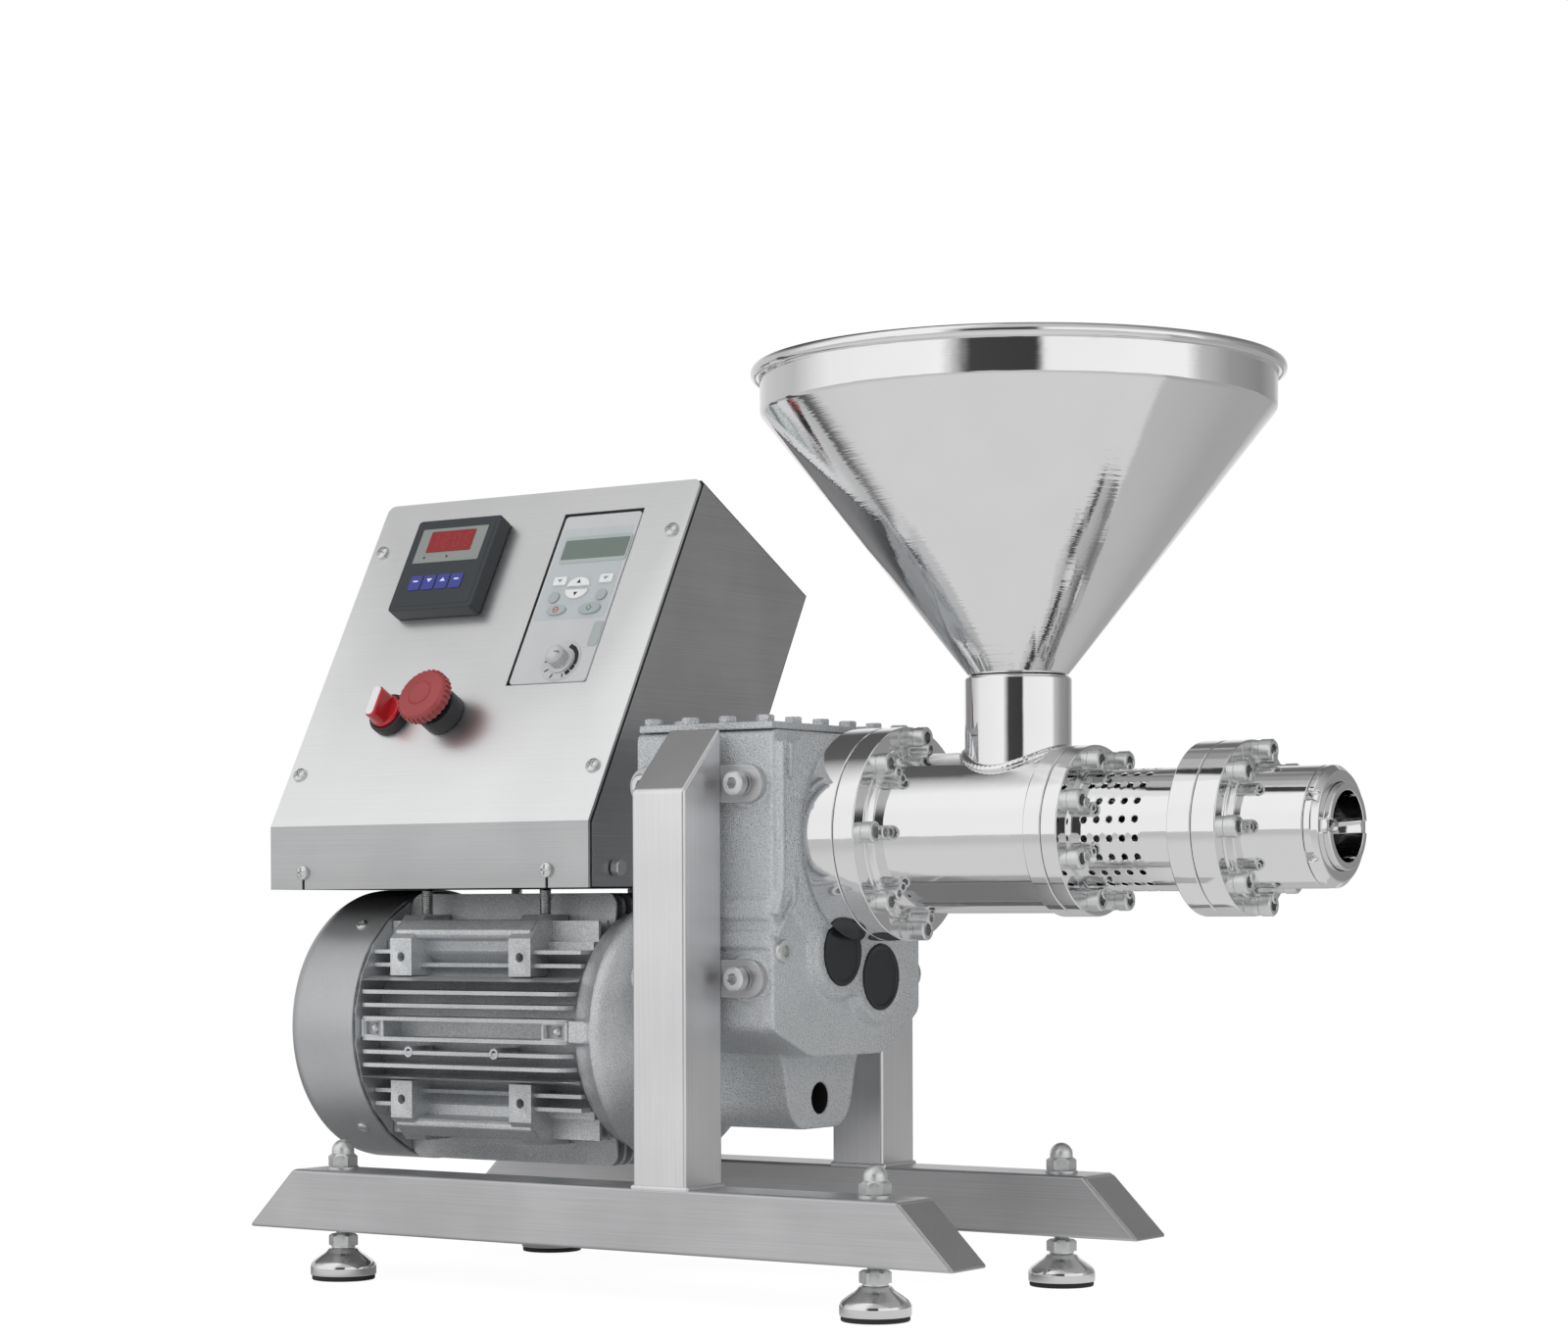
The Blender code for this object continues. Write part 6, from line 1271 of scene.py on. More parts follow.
def motor_housing():
    """The finned casting: fins with rounded ends, foot pads, side channels and small bosses."""
    body = prism("fins", fin_outline(), MOTOR_LEFT, MOTOR_RIGHT, MOTOR_PAINT, "X")
    side = rounded(MOTOR_LEFT, MOTOR_RIGHT, -FIN_TIP, FIN_TIP, 0.009, 8)
    ends = [prism("ends", [(z + MOTOR_Z, x) for x, z in side], -0.1, 0.1, MOTOR_PAINT, "Y"),
            moved(prism("ends", side, -0.1, 0.1, MOTOR_PAINT), Matrix.Translation(MOTOR_AXIS))]
    for end in ends:
        combined(body, [end], "INTERSECT")
    smooth = FIN_CHANNEL / 2 + 3.5 * FIN_PITCH
    first = math.degrees(math.asin(smooth / FIN_CORNER))
    outline = arc(FIN_CORNER, first, 90 - first, 12) + arc(0.125, 90 - first, first, 12)
    span = (PAD_XS[0] + PAD_LENGTH / 2 - 0.0006, PAD_XS[1] - PAD_LENGTH / 2 + 0.0006)
    gaps = [motor_turned(prism("gap", outline, *span, MOTOR_PAINT, "X"), quarter) for quarter in range(4)]
    combined(body, [gathered("gaps", gaps)])
    pieces = [bevelled(body, 0.0004, 2, 40)]
    pad = [(PAD_EDGE, PAD_FACE), (PAD_CORNER, PAD_FACE), (PAD_FACE, PAD_CORNER), (PAD_FACE, PAD_EDGE),
           (PAD_ROOT, PAD_EDGE), (PAD_EDGE, PAD_ROOT)]
    rail = [(0.0570, 0.0500), (0.0600, 0.0705), (0.0625, 0.0725), (0.0655, 0.0725), (0.0725, 0.0655),
            (0.0725, 0.0625),
            (0.0705, 0.0600), (0.0500, 0.0570)]
    middle = (PAD_EDGE + PAD_CORNER) / 2
    reach = PAD_FACE + 0.01
    drill = [(0, PAD_ROOT), (PAD_HOLE_RADIUS, PAD_ROOT), (PAD_HOLE_RADIUS, reach), (0, reach)]
    for quarter in range(4):
        for x in PAD_XS:
            one = prism("pad", pad, x - PAD_LENGTH / 2, x + PAD_LENGTH / 2, MOTOR_PAINT, "X")
            # The drills carry the black ink, meant as painted shade on the walls of the pad holes.
            holes = [lathed("hole", drill, INK_AND_PAINTED_SHADE, "Z", (x, middle, 0), 24),
                     lathed("hole", drill, INK_AND_PAINTED_SHADE, "Y", (x, 0, middle), 24)]
            pieces.append(motor_turned(bevelled(combined(one, holes), 0.0006, 2, 60), quarter))
        low, high = PAD_XS[0] - PAD_LENGTH * 0.40, PAD_XS[1] + PAD_LENGTH * 0.35
        pieces.append(motor_turned(prism("rail", rail, low, high, MOTOR_PAINT, "X", 0.0009), quarter))
    for quarter in (0, 2):
        for low, high in ((MOTOR_LEFT, MOTOR_LEFT + 0.020), (MOTOR_RIGHT - 0.022, MOTOR_RIGHT)):
            box = block("channel", (low, FIN_ROOT - 0.002, -0.0063), (high, 0.0862, 0.0063), MOTOR_PAINT,
                        0.0008)
            pocket = block("pocket", (low + 0.0025, 0.0810, -0.0044), (high - 0.0045, 0.10, 0.0044),
                           MOTOR_PAINT)
            pieces.append(motor_turned(combined(box, [pocket]), quarter))
            button = lathed("button", [(0, 0.080), (0.0034, 0.080), (0.0034, 0.0838), (0.0020, 0.0850),
                                       (0, 0.0853)], ZINC, "Y",
                            ((low + high) / 2, 0, 0), 24)
            pieces.append(motor_turned(button, quarter))
        for x in (-0.2170, -0.1440):
            stations = [(0, 0.0690), (0.0036, 0.0690), (0.0036, 0.0905), (0.0020, 0.0905), (0.0020, 0.080),
                        (0, 0.080)]
            spigot = lathed("spigot", stations, MOTOR_PAINT, "Y", (x, 0, 0.0150 if quarter else -0.0150),
                            24)
            pieces.append(motor_turned(spigot, quarter))
    return gathered("motor_housing_casting", pieces)


def motor_drive_shield():
    """The domed end shield: its rim, four screw lugs and the ridge where it meets the gearbox."""
    start, end = SHIELD_ENDS
    length = end - start
    dome = [(SHIELD_RADIUS * r, start + length * a) for a, r in SHIELD_SHARES]
    profile = [(0, start), *softened(dome, 0.006, 4, False), (0, end)]
    shapes = [lathed("dome", profile, MOTOR_PAINT, "X", MOTOR_AXIS, SIDES)]
    step = [(0, start + 0.018), (0.0885, start + 0.018), (0.0885, start + 0.0225), (0.084, start + 0.0275),
            (0, start + 0.0275)]
    shapes.append(lathed("step", step, MOTOR_PAINT, "X", MOTOR_AXIS, SIDES))
    for quarter in range(4):
        lug = [(start + 0.0002, -0.0075), (start + 0.012, -0.0075), (start + 0.026, -0.0020),
               (start + 0.026, 0.0020),
               (start + 0.012, 0.0075), (start + 0.0002, 0.0075)]
        shapes.append(motor_turned(prism("lug", lug, 0.060, 0.0868, MOTOR_PAINT, "Z"), quarter))
    return cast_skin(gathered("motor_drive_shield_casting", shapes), 0.0014, 5)


def fan_cowl():
    """The sheet cowl over the fan, with rings of air slots in its end."""
    start, end = COWL_ENDS
    turns = [math.radians(15 * k) for k in range(1, 7)]
    bend = COWL_CORNER - COWL_SHEET
    outer = [(0, start), (COWL_FLAT, start)]
    outer += [(COWL_FLAT + COWL_CORNER * math.sin(t),
               start + COWL_CORNER * (1 - math.cos(t))) for t in turns]
    outer += [(COWL_RADIUS, end)]
    inner = [(COWL_RADIUS - COWL_SHEET, end)]
    inner += [(COWL_FLAT + bend * math.sin(t), start + COWL_CORNER - bend * math.cos(t))
              for t in reversed(turns)]
    inner += [(COWL_FLAT, start + COWL_SHEET), (0, start + COWL_SHEET)]
    cowl = lathed("fan_cowl_shell", outer + inner, COWL_PAINT, "X", MOTOR_AXIS, FINE_SIDES, 40)
    slots = []
    for ring_radius, count in ((0.022, 6), (0.036, 12), (0.050, 18), (0.064, 24)):
        for k in range(count):
            slot = prism("slot", about((0, ring_radius), 0.0058, 0.0105, 0.0028, 4), start - 0.01,
                         start + 0.004, COWL_PAINT, "X")
            turn = Matrix.Translation(MOTOR_AXIS) @ Matrix.Rotation(2 * math.pi * k / count, 4, "X")
            slots.append(moved(slot, turn))
    return combined(cowl, [gathered("slots", slots)])


def cowl_screws():
    """Pan screws through the cowl's edge into the rear shield."""
    pieces = []
    for degrees in (42, 138, 222, 318):
        one = pan_screw("screw", 0.0042, 0.0022)
        place = Matrix.Translation((COWL_ENDS[1] - 0.0175, 0,
                                    MOTOR_Z)) @ Matrix.Rotation(math.radians(degrees), 4, "X")
        pieces.append(moved(one, place @ Matrix.Translation((0, 0, COWL_RADIUS - 0.0003))))
    return gathered("cowl_screws", pieces)


def build_motor():
    fitted(motor_housing(), "frame", "motor_housing", slot="motor_paint")
    fitted(motor_drive_shield(), "frame", "motor_drive_shield", slot="motor_paint")
    fitted(fan_cowl(), "frame", "fan_cowl", slot="cowl_paint")
    fitted(cowl_screws(), "frame", slot="machined_steel")


def along_panel(up, out):
    place = FOLD + PANEL_UP * up + PANEL_OUT * out
    return (place.y, place.z)


def front_panel():
    """The bent panel with its lip, cut-outs and round upper corners."""
    bend = PANEL_SHEET * math.tan(LEAN / 2)
    profile = [(LIP_Y, BOX_BOTTOM), (LIP_Y, BOX_BOTTOM + LIP_HEIGHT), along_panel(PANEL_LENGTH, 0),
               along_panel(PANEL_LENGTH, -PANEL_SHEET),
               (LIP_Y + PANEL_SHEET, BOX_BOTTOM + LIP_HEIGHT - bend),
               (LIP_Y + PANEL_SHEET, BOX_BOTTOM)]
    panel = prism("front_panel_sheet", profile, BOX_LEFT, BOX_LEFT + BOX_WIDTH, PANEL_STEEL, "X")
    left, right, bottom, top = DRIVE_SPAN
    gap = 0.0030
    depth = (-PANEL_SHEET - 0.004, 0.004)
    # The cutters carry the black ink, meant as painted shade on the walls they cut.
    cuts = [prism("cut", rounded(left - gap, right + FIT, bottom - FIT, top + gap, 0.0006, 2), *depth,
                  INK_AND_PAINTED_SHADE),
            prism("cut", about(CONTROLLER_PLACE, 0.0686, 0.0686, 0.001, 2), *depth, INK_AND_PAINTED_SHADE)]
    radius = 0.006
    for x, side in ((0, -1), (BOX_WIDTH, 1)):
        middle = (x - side * radius, PANEL_LENGTH - radius)
        far = 0.004
        edge = arc(radius, 90, 90 - side * 90, 8, middle)
        outline = [(x + side * far, PANEL_LENGTH + far), (middle[0], PANEL_LENGTH + far), *edge,
                   (x + side * far, middle[1])]
        cuts.append(prism("corner", outline, *depth, INK_AND_PAINTED_SHADE))
    for cut in cuts:
        moved(cut, PANEL)
    lip_cuts = []
    for across in (0.030, 0.241):
        slot = prism("slot", about((BOX_LEFT + across, BOX_BOTTOM + 0.0035), 0.0022, 0.009, 0.001, 3), 0,
                     0.01, INK_AND_PAINTED_SHADE)
        lip_cuts.append(moved(slot, Matrix.Translation((0, LIP_Y + 0.004,
                                                        0)) @ Matrix.Rotation(math.pi / 2, 4, "X")))
    combined(panel, cuts + lip_cuts)
    bevelled(panel, 0.0005, 2, 40)
    # The lip's forward faces take the darker copy of the panel's steel, as painted shade.
    panel.data.materials.append(LIP_STEEL_PAINTED_SHADE)
    for face in panel.data.polygons:
        if face.center.z < FOLD.z and face.normal.y < -0.9:
            face.material_index = 1
    return panel


def box_outline(behind):
    """The box seen along X, its front this far behind the panel's face."""
    front_y = LIP_Y + behind
    front = -behind
    bend = front * -math.tan(LEAN / 2)
    back_top = FOLD + PANEL_UP * PANEL_LENGTH - PANEL_OUT * BOX_DEPTH
    drop = (back_top.z - BOX_BOTTOM) / PANEL_UP.z
    back_bottom = back_top - PANEL_UP * drop
    return [(front_y, BOX_BOTTOM), (back_bottom.y, back_bottom.z), (back_top.y, back_top.z),
            along_panel(PANEL_LENGTH, front), (front_y, BOX_BOTTOM + LIP_HEIGHT - bend)]


def box_body():
    """The folded box behind the panel, with a black body in the gap between them as painted shade."""
    inset = 0.0012
    ends = (BOX_LEFT + inset, BOX_LEFT + BOX_WIDTH - inset)
    # The shell takes the darker copy of the panel's steel, as painted shade on the box's sides.
    shell = prism("shell", box_outline(PANEL_SHEET + SEAM), *ends, SIDE_STEEL_PAINTED_SHADE, "X", 0.0012, 3)
    # A black body just behind the panel fills the gap to the shell: painted shade in the seam.
    seam = prism("seam", box_outline(PANEL_SHEET + FIT), ends[0] + 0.0002, ends[1] - 0.0002, INK_AND_PAINTED_SHADE, "X")
    return gathered("shell", [shell, seam])


def rods():
    """Threaded rods that carry the box on the motor's pads."""
    low = MOTOR_Z + PAD_FACE + FIT
    pieces = []
    pitch = 0.00125
    for x in PAD_XS:
        for y in (-ROD_Y, ROD_Y):
            stations = [(0, low)]
            turns = int((BOX_BOTTOM - low) / pitch)
            for k in range(turns):
                stations += [(ROD_RADIUS * 0.86, low + pitch * k), (ROD_RADIUS, low + pitch * (k + 0.5))]
            stations += [(ROD_RADIUS * 0.86, BOX_BOTTOM), (0, BOX_BOTTOM)]
            pieces.append(lathed("rod", stations, ZINC, "Z", (x, y, 0), 24))
    return pieces


def panel_screws():
    """Pan screws at the panel's corners and along its lip, and the hexagon bolt on the side."""
    pan = pan_screw("pattern", 0.0052, 0.0032)
    corners = screw_grid("corners", pan, 2, 2, 0.2545, 0.1825, (0.13725, 0.1317, 0), 21)
    moved(corners, PANEL)
    lip = screw_grid("lip", pan, 2, 1, 0.211, 0, (0.1355, 0, 0), 22)
    moved(lip, Matrix.Translation((BOX_LEFT, LIP_Y, BOX_BOTTOM + 0.0115))
          @ Matrix.Rotation(math.pi / 2, 4, "X"))
    hidden(pan)
    bolt = hex_bolt("bolt", 0.0100, 0.0055, "X")
    moved(bolt, Matrix.Translation((BOX_LEFT + BOX_WIDTH, -0.0559, 0.2724)))
    return gathered("panel_screws", [corners, lip, bolt])


def build_box():
    fitted(front_panel(), "frame", "front_panel", slot="box_steel")
    fitted(gathered("box_body_shell", [box_body(), *rods()]), "frame", "box_body", slot="box_steel")
    fitted(panel_screws(), "frame", slot="machined_steel")


def on_panel(piece, place=(0, 0)):
    """Lays a piece made flat at the origin on the panel's face."""
    return moved(piece, PANEL @ Matrix.Translation((*place, 0)))


def controller():
    """The temperature controller: bezel, label field, red display with digits and four keys."""
    half = CONTROLLER_SIDE / 2
    front = CONTROLLER_PROUD
    bezel = prism("bezel", rounded(-half, half, -half, half, 0.003), FIT, front, CHARCOAL, "Z", 0.0012, 3)
    face = prism("face", rounded(-half + 0.0035, half - 0.0035, -half + 0.0035, half - 0.0035, 0.002),
                 front - 0.001, front + 0.0003, CHARCOAL, "Z", 0.0003)

    def field(name, left, right, top, bottom, rise, material, radius=0.0008):
        """A raised field given by its shares across and down the face."""
        outline = rounded(-half + left * 2 * half, -half + right * 2 * half, half - bottom * 2 * half,
                          half - top * 2 * half, radius, 3)
        return prism(name, outline, front - 0.0005, front + rise, material, "Z")

    pieces = [bezel, face, field("label", 0.105, 0.885, 0.11, 0.485, 0.0005, GREY_LABEL),
              field("window", 0.225, 0.755, 0.145, 0.375, 0.0008, RED_DISPLAY)]
    for k in range(4):
        left = 0.165 + k * 0.163
        pieces.append(field("key", left, left + 0.138, 0.632, 0.788, 0.0008, BLUE_KEY, 0.0014))
    for k, points in enumerate((((-1, 1), (1, 1), (0, -1)), ((-1, -1), (1, -1), (0, 1)))):
        across = -half + (0.165 + (k + 1) * 0.163 + 0.069) * 2 * half
        outline = [(across + a * 0.0024, half - 0.690 * 2 * half + b * 0.0014) for a, b in points]
        pieces.append(prism("arrow", outline, front, front + 0.00095, WHITE_INK))
    for k in (0, 3):
        across = -half + (0.165 + k * 0.163 + 0.069) * 2 * half
        outline = rounded(across - 0.0022, across + 0.0022, half - 0.70 * 2 * half,
                          half - 0.685 * 2 * half, 0.0004, 2)
        pieces.append(prism("bar", outline, front, front + 0.00095, WHITE_INK))
    for share in (0.23, 0.50):
        pieces.append(lathed("lamp", [(0, front), (0.0008, front), (0.0008, front + 0.0008),
                                      (0, front + 0.0009)], INK_AND_PAINTED_SHADE, "Z",
                             (-half + share * 2 * half, half - 0.43 * 2 * half, 0), 16))
    body = prism("body", about((0, 0), 0.068, 0.068, 0.001, 2), -0.075, 0.001, BLACK)
    whole = gathered("temperature_controller_case", [*pieces, body])
    digits = gathered("controller_digits", [digit for k in range(4)
                                            for digit in seven_segments(k, half, front)])
    return on_panel(whole, CONTROLLER_PLACE), on_panel(digits, CONTROLLER_PLACE)


LIT_SEGMENTS = {"1": "bc", "2": "abged", "0": "abcdef", "5": "afgcd"}
SEGMENT_PLACES = {"a": (0, 1, 0), "b": (1, 0.5, 1), "c": (1, -0.5, 1), "d": (0, -1, 0), "e": (-1, -0.5, 1),
                  "f": (-1, 0.5, 1), "g": (0, 0, 0)}


def seven_segments(place, half, front):
    """The bars of one digit of the number on the display."""
    shown = "1205"[place]
    wide, tall = 0.0021, 0.0052
    middle = Vector((-half + (0.30 + place * 0.13) * 2 * half, half - 0.26 * 2 * half))
    bars = []
    for key in LIT_SEGMENTS[shown]:
        across, up, upright = SEGMENT_PLACES[key]
        centre = middle + Vector((across * wide, up * tall))
        size = (0.0008, tall * 0.80) if upright else (wide * 1.5, 0.0008)
        bars.append(prism("bar", about(centre, *size, 0.0003, 2), front, front + 0.00095, RED_DIGITS))
    return bars


def drive_face():
    """The drive's face: keypad field, display, knob plate with its scale and the side catch."""
    left, right, bottom, top = DRIVE_SPAN
    height = top - bottom
    case = prism("case", rounded(left, right, bottom, top, 0.003), -0.095, DRIVE_PROUD, DRIVE_WHITE, "Z",
                 0.0008, 3)

    def field(name, outline, rise, material, bevel=0):
        return prism(name, outline, DRIVE_PROUD - 0.0006, DRIVE_PROUD + rise, material, "Z", bevel)

    keypad = rounded(left + 0.0025, right - 0.0025, bottom + height * 0.372, top - height * 0.085, 0.002)
    rim = about(DISPLAY_PLACE, DISPLAY_SIZE[0] + 0.0025, DISPLAY_SIZE[1] + 0.006, 0.003)
    window = about(DISPLAY_PLACE, *DISPLAY_SIZE, 0.001)
    pieces = [case, field("keypad", keypad, 0.0002, KEYPAD_GREY, 0.0001),
              field("rim", rim, 0.0007, DISPLAY_RIM, 0.0003),
              field("window", window, 0.0009, DISPLAY_GREEN, 0.0001)]
    reach = KNOB_PLACE[1] - bottom
    disc = [(0, DRIVE_PROUD - 0.0004), (reach, DRIVE_PROUD - 0.0004),
            (reach - 0.0008, DRIVE_PROUD + 0.0008),
            (reach - 0.0026, DRIVE_PROUD + 0.0001), (0, DRIVE_PROUD + 0.0001)]
    pieces.append(lathed("plate", disc, DRIVE_WHITE, "Z", (*KNOB_PLACE, 0), SIDES))
    bars = [(-48 + k * 22, 0.0120, about((0, 0), 0.0030, 0.0036 + 0.0004 * k, 0.0003, 2)) for k in range(6)]
    ticks = [(degrees, 0.0124, about((0, 0), 0.0034, 0.0006, 0.0002, 2)) for degrees in (180, 214, 248, 292)]
    for degrees, away, outline in bars + ticks:
        mark = prism("mark", outline, DRIVE_PROUD, DRIVE_PROUD + 0.0005, INK_AND_PAINTED_SHADE)
        place = Matrix.Translation((*KNOB_PLACE, 0)) @ Matrix.Rotation(math.radians(degrees), 4, "Z")
        pieces.append(moved(mark, place @ Matrix.Translation((away, 0, 0))))
    catch = rounded(right - 0.0085, right - 0.0005, bottom + height * 0.20, bottom + height * 0.345,
                    0.0022)
    pieces.append(field("catch", catch, 0.0004, KEY_GREY, 0.0002))
    return on_panel(gathered("drive_unit_case", pieces))


KEYS = {
    "key_up": (0.2020, 0.1848, 0.0190, 0.0084, KEY_WHITE, "up"),
    "key_down": (0.2020, 0.1750, 0.0190, 0.0084, KEY_WHITE, "down"),
    "key_menu_left": (0.1850, 0.1862, 0.0110, 0.0068, KEY_WHITE, "corner"),
    "key_menu_right": (0.2241, 0.1862, 0.0110, 0.0068, KEY_WHITE, "corner"),
    "key_round_left": (0.1841, 0.1733, 0.0085, 0.0085, KEY_GREY, None),
    "key_round_right": (0.2242, 0.1733, 0.0085, 0.0085, KEY_GREY, None),
    "key_stop": (0.1899, 0.1629, 0.0158, 0.0080, KEY_GREY, "ring"),
    "key_start": (0.2180, 0.1629, 0.0182, 0.0092, KEY_GREY, "diamond"),
}


def key_outline(name, width, height):
    """Each key's own outline: half ovals for the arrows, ovals for the others."""
    if name == "key_up":
        return [(-width / 2, -height * 0.42), *reversed([(a,
                                                          b * height / width * 1.7 - height * 0.42) for a,
                                                         b in arc(width / 2, 0, 180, 16)])]
    if name == "key_down":
        return [(-width / 2, height * 0.42), *[(a, b * height / width * 1.7 + height * 0.42) for a,
                                               b in arc(width / 2, 180, 360, 16)]]
    if name.startswith("key_menu"):
        return about((0, 0), width, height, 0.0012, 4)
    return [(a, b * height / width) for a, b in arc(width / 2, 0, 360, 32)[:-1]]


def key(name):
    """One key of the drive with its mark."""
    across, up, width, height, material, mark = KEYS[name]
    outline = list(dict.fromkeys(key_outline(name, width, height)))
    top = DRIVE_PROUD + 0.0018
    pieces = [prism("cap", outline, DRIVE_PROUD - 0.0014, top, material, "Z", 0.0005, 2)]
    if mark in ("up", "down"):
        sign = 1 if mark == "up" else -1
        points = [(-0.0017, -0.0013 * sign), (0.0017, -0.0013 * sign), (0, 0.0017 * sign)]
        pieces.append(prism("mark", points, top - 0.0002, top + 0.0001, INK_AND_PAINTED_SHADE))
    if mark == "corner":
        sign = 1 if name.endswith("left") else -1
        points = [(-0.0022 * sign, 0.0012), (0.0022 * sign, 0.0012), (0.0004 * sign, -0.0014)]
        pieces.append(prism("mark", points, top - 0.0002, top + 0.0001, GREY_LABEL))
    if mark == "ring":
        pieces.append(lathed("mark", ring_profile(0.0024, 0.0018, top - 0.0002, top + 0.0001), RED_INK,
                             "Z", sides=32))
        pieces.append(prism("bar", about((0, 0), 0.0026, 0.0006, 0.0001, 1), top - 0.0002, top + 0.0001,
                            RED_INK))
    if mark == "diamond":
        size = 0.0026
        points = [(size, 0), (0, size), (-size, 0), (0, -size), (0, -size * 0.72), (-size * 0.72, 0),
                  (0, size * 0.72), (size * 0.72, 0), (0, -size * 0.72), (0, -size)]
        outer = prism("mark", points[:4], top - 0.0002, top + 0.0001, GREEN_INK)
        inner = prism("middle", [(a * 0.66, b * 0.66) for a, b in points[:4]], top - 0.0002, top + 0.00016,
                      material)
        pieces += [outer, inner]
    return on_panel(gathered(name + "_cap", pieces), (across, up))


def drive_knob():
    """The speed knob: a low white dial with a ribbed edge and a pointer."""
    base = DRIVE_PROUD + FIT + 0.0003
    radius = 0.0066
    stations = [(0, base), (0.0092, base), (0.0092, base + 0.0004), (radius, base + 0.0012),
                (radius, base + 0.0085),
                (radius - 0.0016, base + 0.0112), (0.0030, base + 0.0120), (0, base + 0.0121)]
    cap = lathed("cap", softened(stations, 0.0012, 3, False), DRIVE_WHITE, "Z", sides=72, sharp=45)
    ribs = []
    for k in range(24):
        rib = block("rib", (radius - 0.0006, -0.0005, base + 0.0012),
                    (radius + 0.0005, 0.0005, base + 0.0088), DRIVE_WHITE, 0.0003)
        ribs.append(moved(rib, Matrix.Rotation(2 * math.pi * k / 24, 4, "Z")))
    pointer = block("pointer", (0.002, -0.0005, base + 0.0105), (0.0056, 0.0005, base + 0.0122),
                    GREY_LABEL)
    return on_panel(gathered("drive_knob_cap", [cap, *ribs, pointer]), KNOB_PLACE)


def emergency_stop():
    """The red mushroom head with its ribbed rim and raised middle, and its black collar."""
    face, radius, thickness = 0.030, 0.020, 0.011
    base = face - thickness
    profile = [(0, base), (radius * 0.86, base), (radius * 0.965, base + 0.0020),
               (radius * 0.965, base + 0.0064), (radius * 0.94, base + 0.0080),
               (radius * 0.86, base + 0.0098), (radius * 0.58, face - 0.0004), (0.0095, face),
               (0.0090, face - 0.0007),
               (0.0084, face - 0.0007), (0.0080, face), (0, face)]
    head = lathed("head", softened(profile, 0.0009, 3, False), STOP_RED, "Z", sides=SIDES, sharp=50)
    ribs = []
    for k in range(30):
        rib = block("rib", (radius * 0.93, -0.0012, base + 0.0016), (radius, 0.0012, base + 0.0078),
                    STOP_RED, 0.0004)
        ribs.append(moved(rib, Matrix.Rotation(2 * math.pi * k / 30, 4, "Z")))
    cap = on_panel(gathered("estop_head_cap", [head, *ribs]), ESTOP_PLACE)
    ring = [(0.0105, FIT), (0.0155, FIT), (0.0155, 0.0085), (0.0148, 0.0125), (0.0105, 0.0125)]
    collar = lathed("estop_collar_ring", softened(ring, 0.0010), BLACK, "Z", sides=SIDES)
    return cap, on_panel(collar, ESTOP_PLACE)


def selector():
    """The selector: a black ring and a glossy red knob whose handle has a white strip."""
    ring = [(0.0124, FIT), (0.0150, FIT), (0.0150, 0.0055), (0.0140, 0.0070), (0.0124, 0.0070)]
    bezel = lathed("selector_bezel_ring", softened(ring, 0.0008), BLACK, "Z", sides=SIDES)
    knob_base = [(0, 0.0030), (0.0121, 0.0030), (0.0121, 0.0088), (0.0112, 0.0098), (0, 0.0100)]
    base = lathed("base", softened(knob_base, 0.0007, 3, False), SELECTOR_RED, "Z", sides=SIDES)
    handle = prism("handle", about((0, 0), 0.0088, 0.0236, 0.0038, 8), 0.0085, 0.0218, SELECTOR_RED, "Z",
                   0.0014, 3)
    strip = prism("strip", about((-0.0006, 0.0004), 0.0068, 0.0222, 0.0030, 6), 0.0180, 0.0221, WHITE_INK,
                  "Z", 0.0006)
    knob = gathered("selector_knob_cap", [base, handle, strip])
    return on_panel(bezel, SELECTOR_PLACE), on_panel(knob, SELECTOR_PLACE)


def build_panel():
    case, digits = controller()
    fitted(case, "frame", "temperature_controller", slot="black_plastic")
    fitted(digits, "frame", slot="red_plastic")
    fitted(drive_face(), "frame", "drive_unit", slot="drive_plastic")
    for name in KEYS:
        fitted(key(name), name + "_body", name, slot="drive_plastic")
    fitted(drive_knob(), "speed_knob", "drive_knob", slot="drive_plastic")
    head, collar = emergency_stop()
    fitted(head, "estop_button", "estop_head", slot="red_plastic")
    fitted(collar, "frame", "estop_collar", slot="black_plastic")
    bezel, knob = selector()
    fitted(bezel, "frame", "selector_bezel", slot="black_plastic")
    fitted(knob, "selector", "selector_knob", slot="selector_plastic")


def paint_inner_pieces():
    """Gives the pieces that stay as they are a finish of their own."""
    kept = {
        MACHINED: ("rotor_shaft", "motor_pinion", "layshaft_1", "layshaft_1_gear", "layshaft_2",
                   "layshaft_2_gear",
                   "output_shaft", "output_gear", "output_bearing_front", "output_bearing_rear",
                   "motor_bearing_front",
                   "motor_bearing_rear", "press_screw"),
        COPPER: ("stator",),
        BLACK: ("fan", "estop_stem"),
        MOTOR_PAINT: ("motor_rear_shield",),
    }
    for material, names in kept.items():
        for name in names:
            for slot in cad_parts[name].material_slots:
                slot.material = material


def glowing(name, light_of):
    """A stage material that only gives light, its colour from a function of its own finish."""
    made = Finish(name)
    light = made.node("ShaderNodeEmission", {}, {"Color": light_of(made), "Strength": 1.0})
    made.links.new(light.socket, made.nodes["Material Output"].inputs["Surface"])
    return made.material


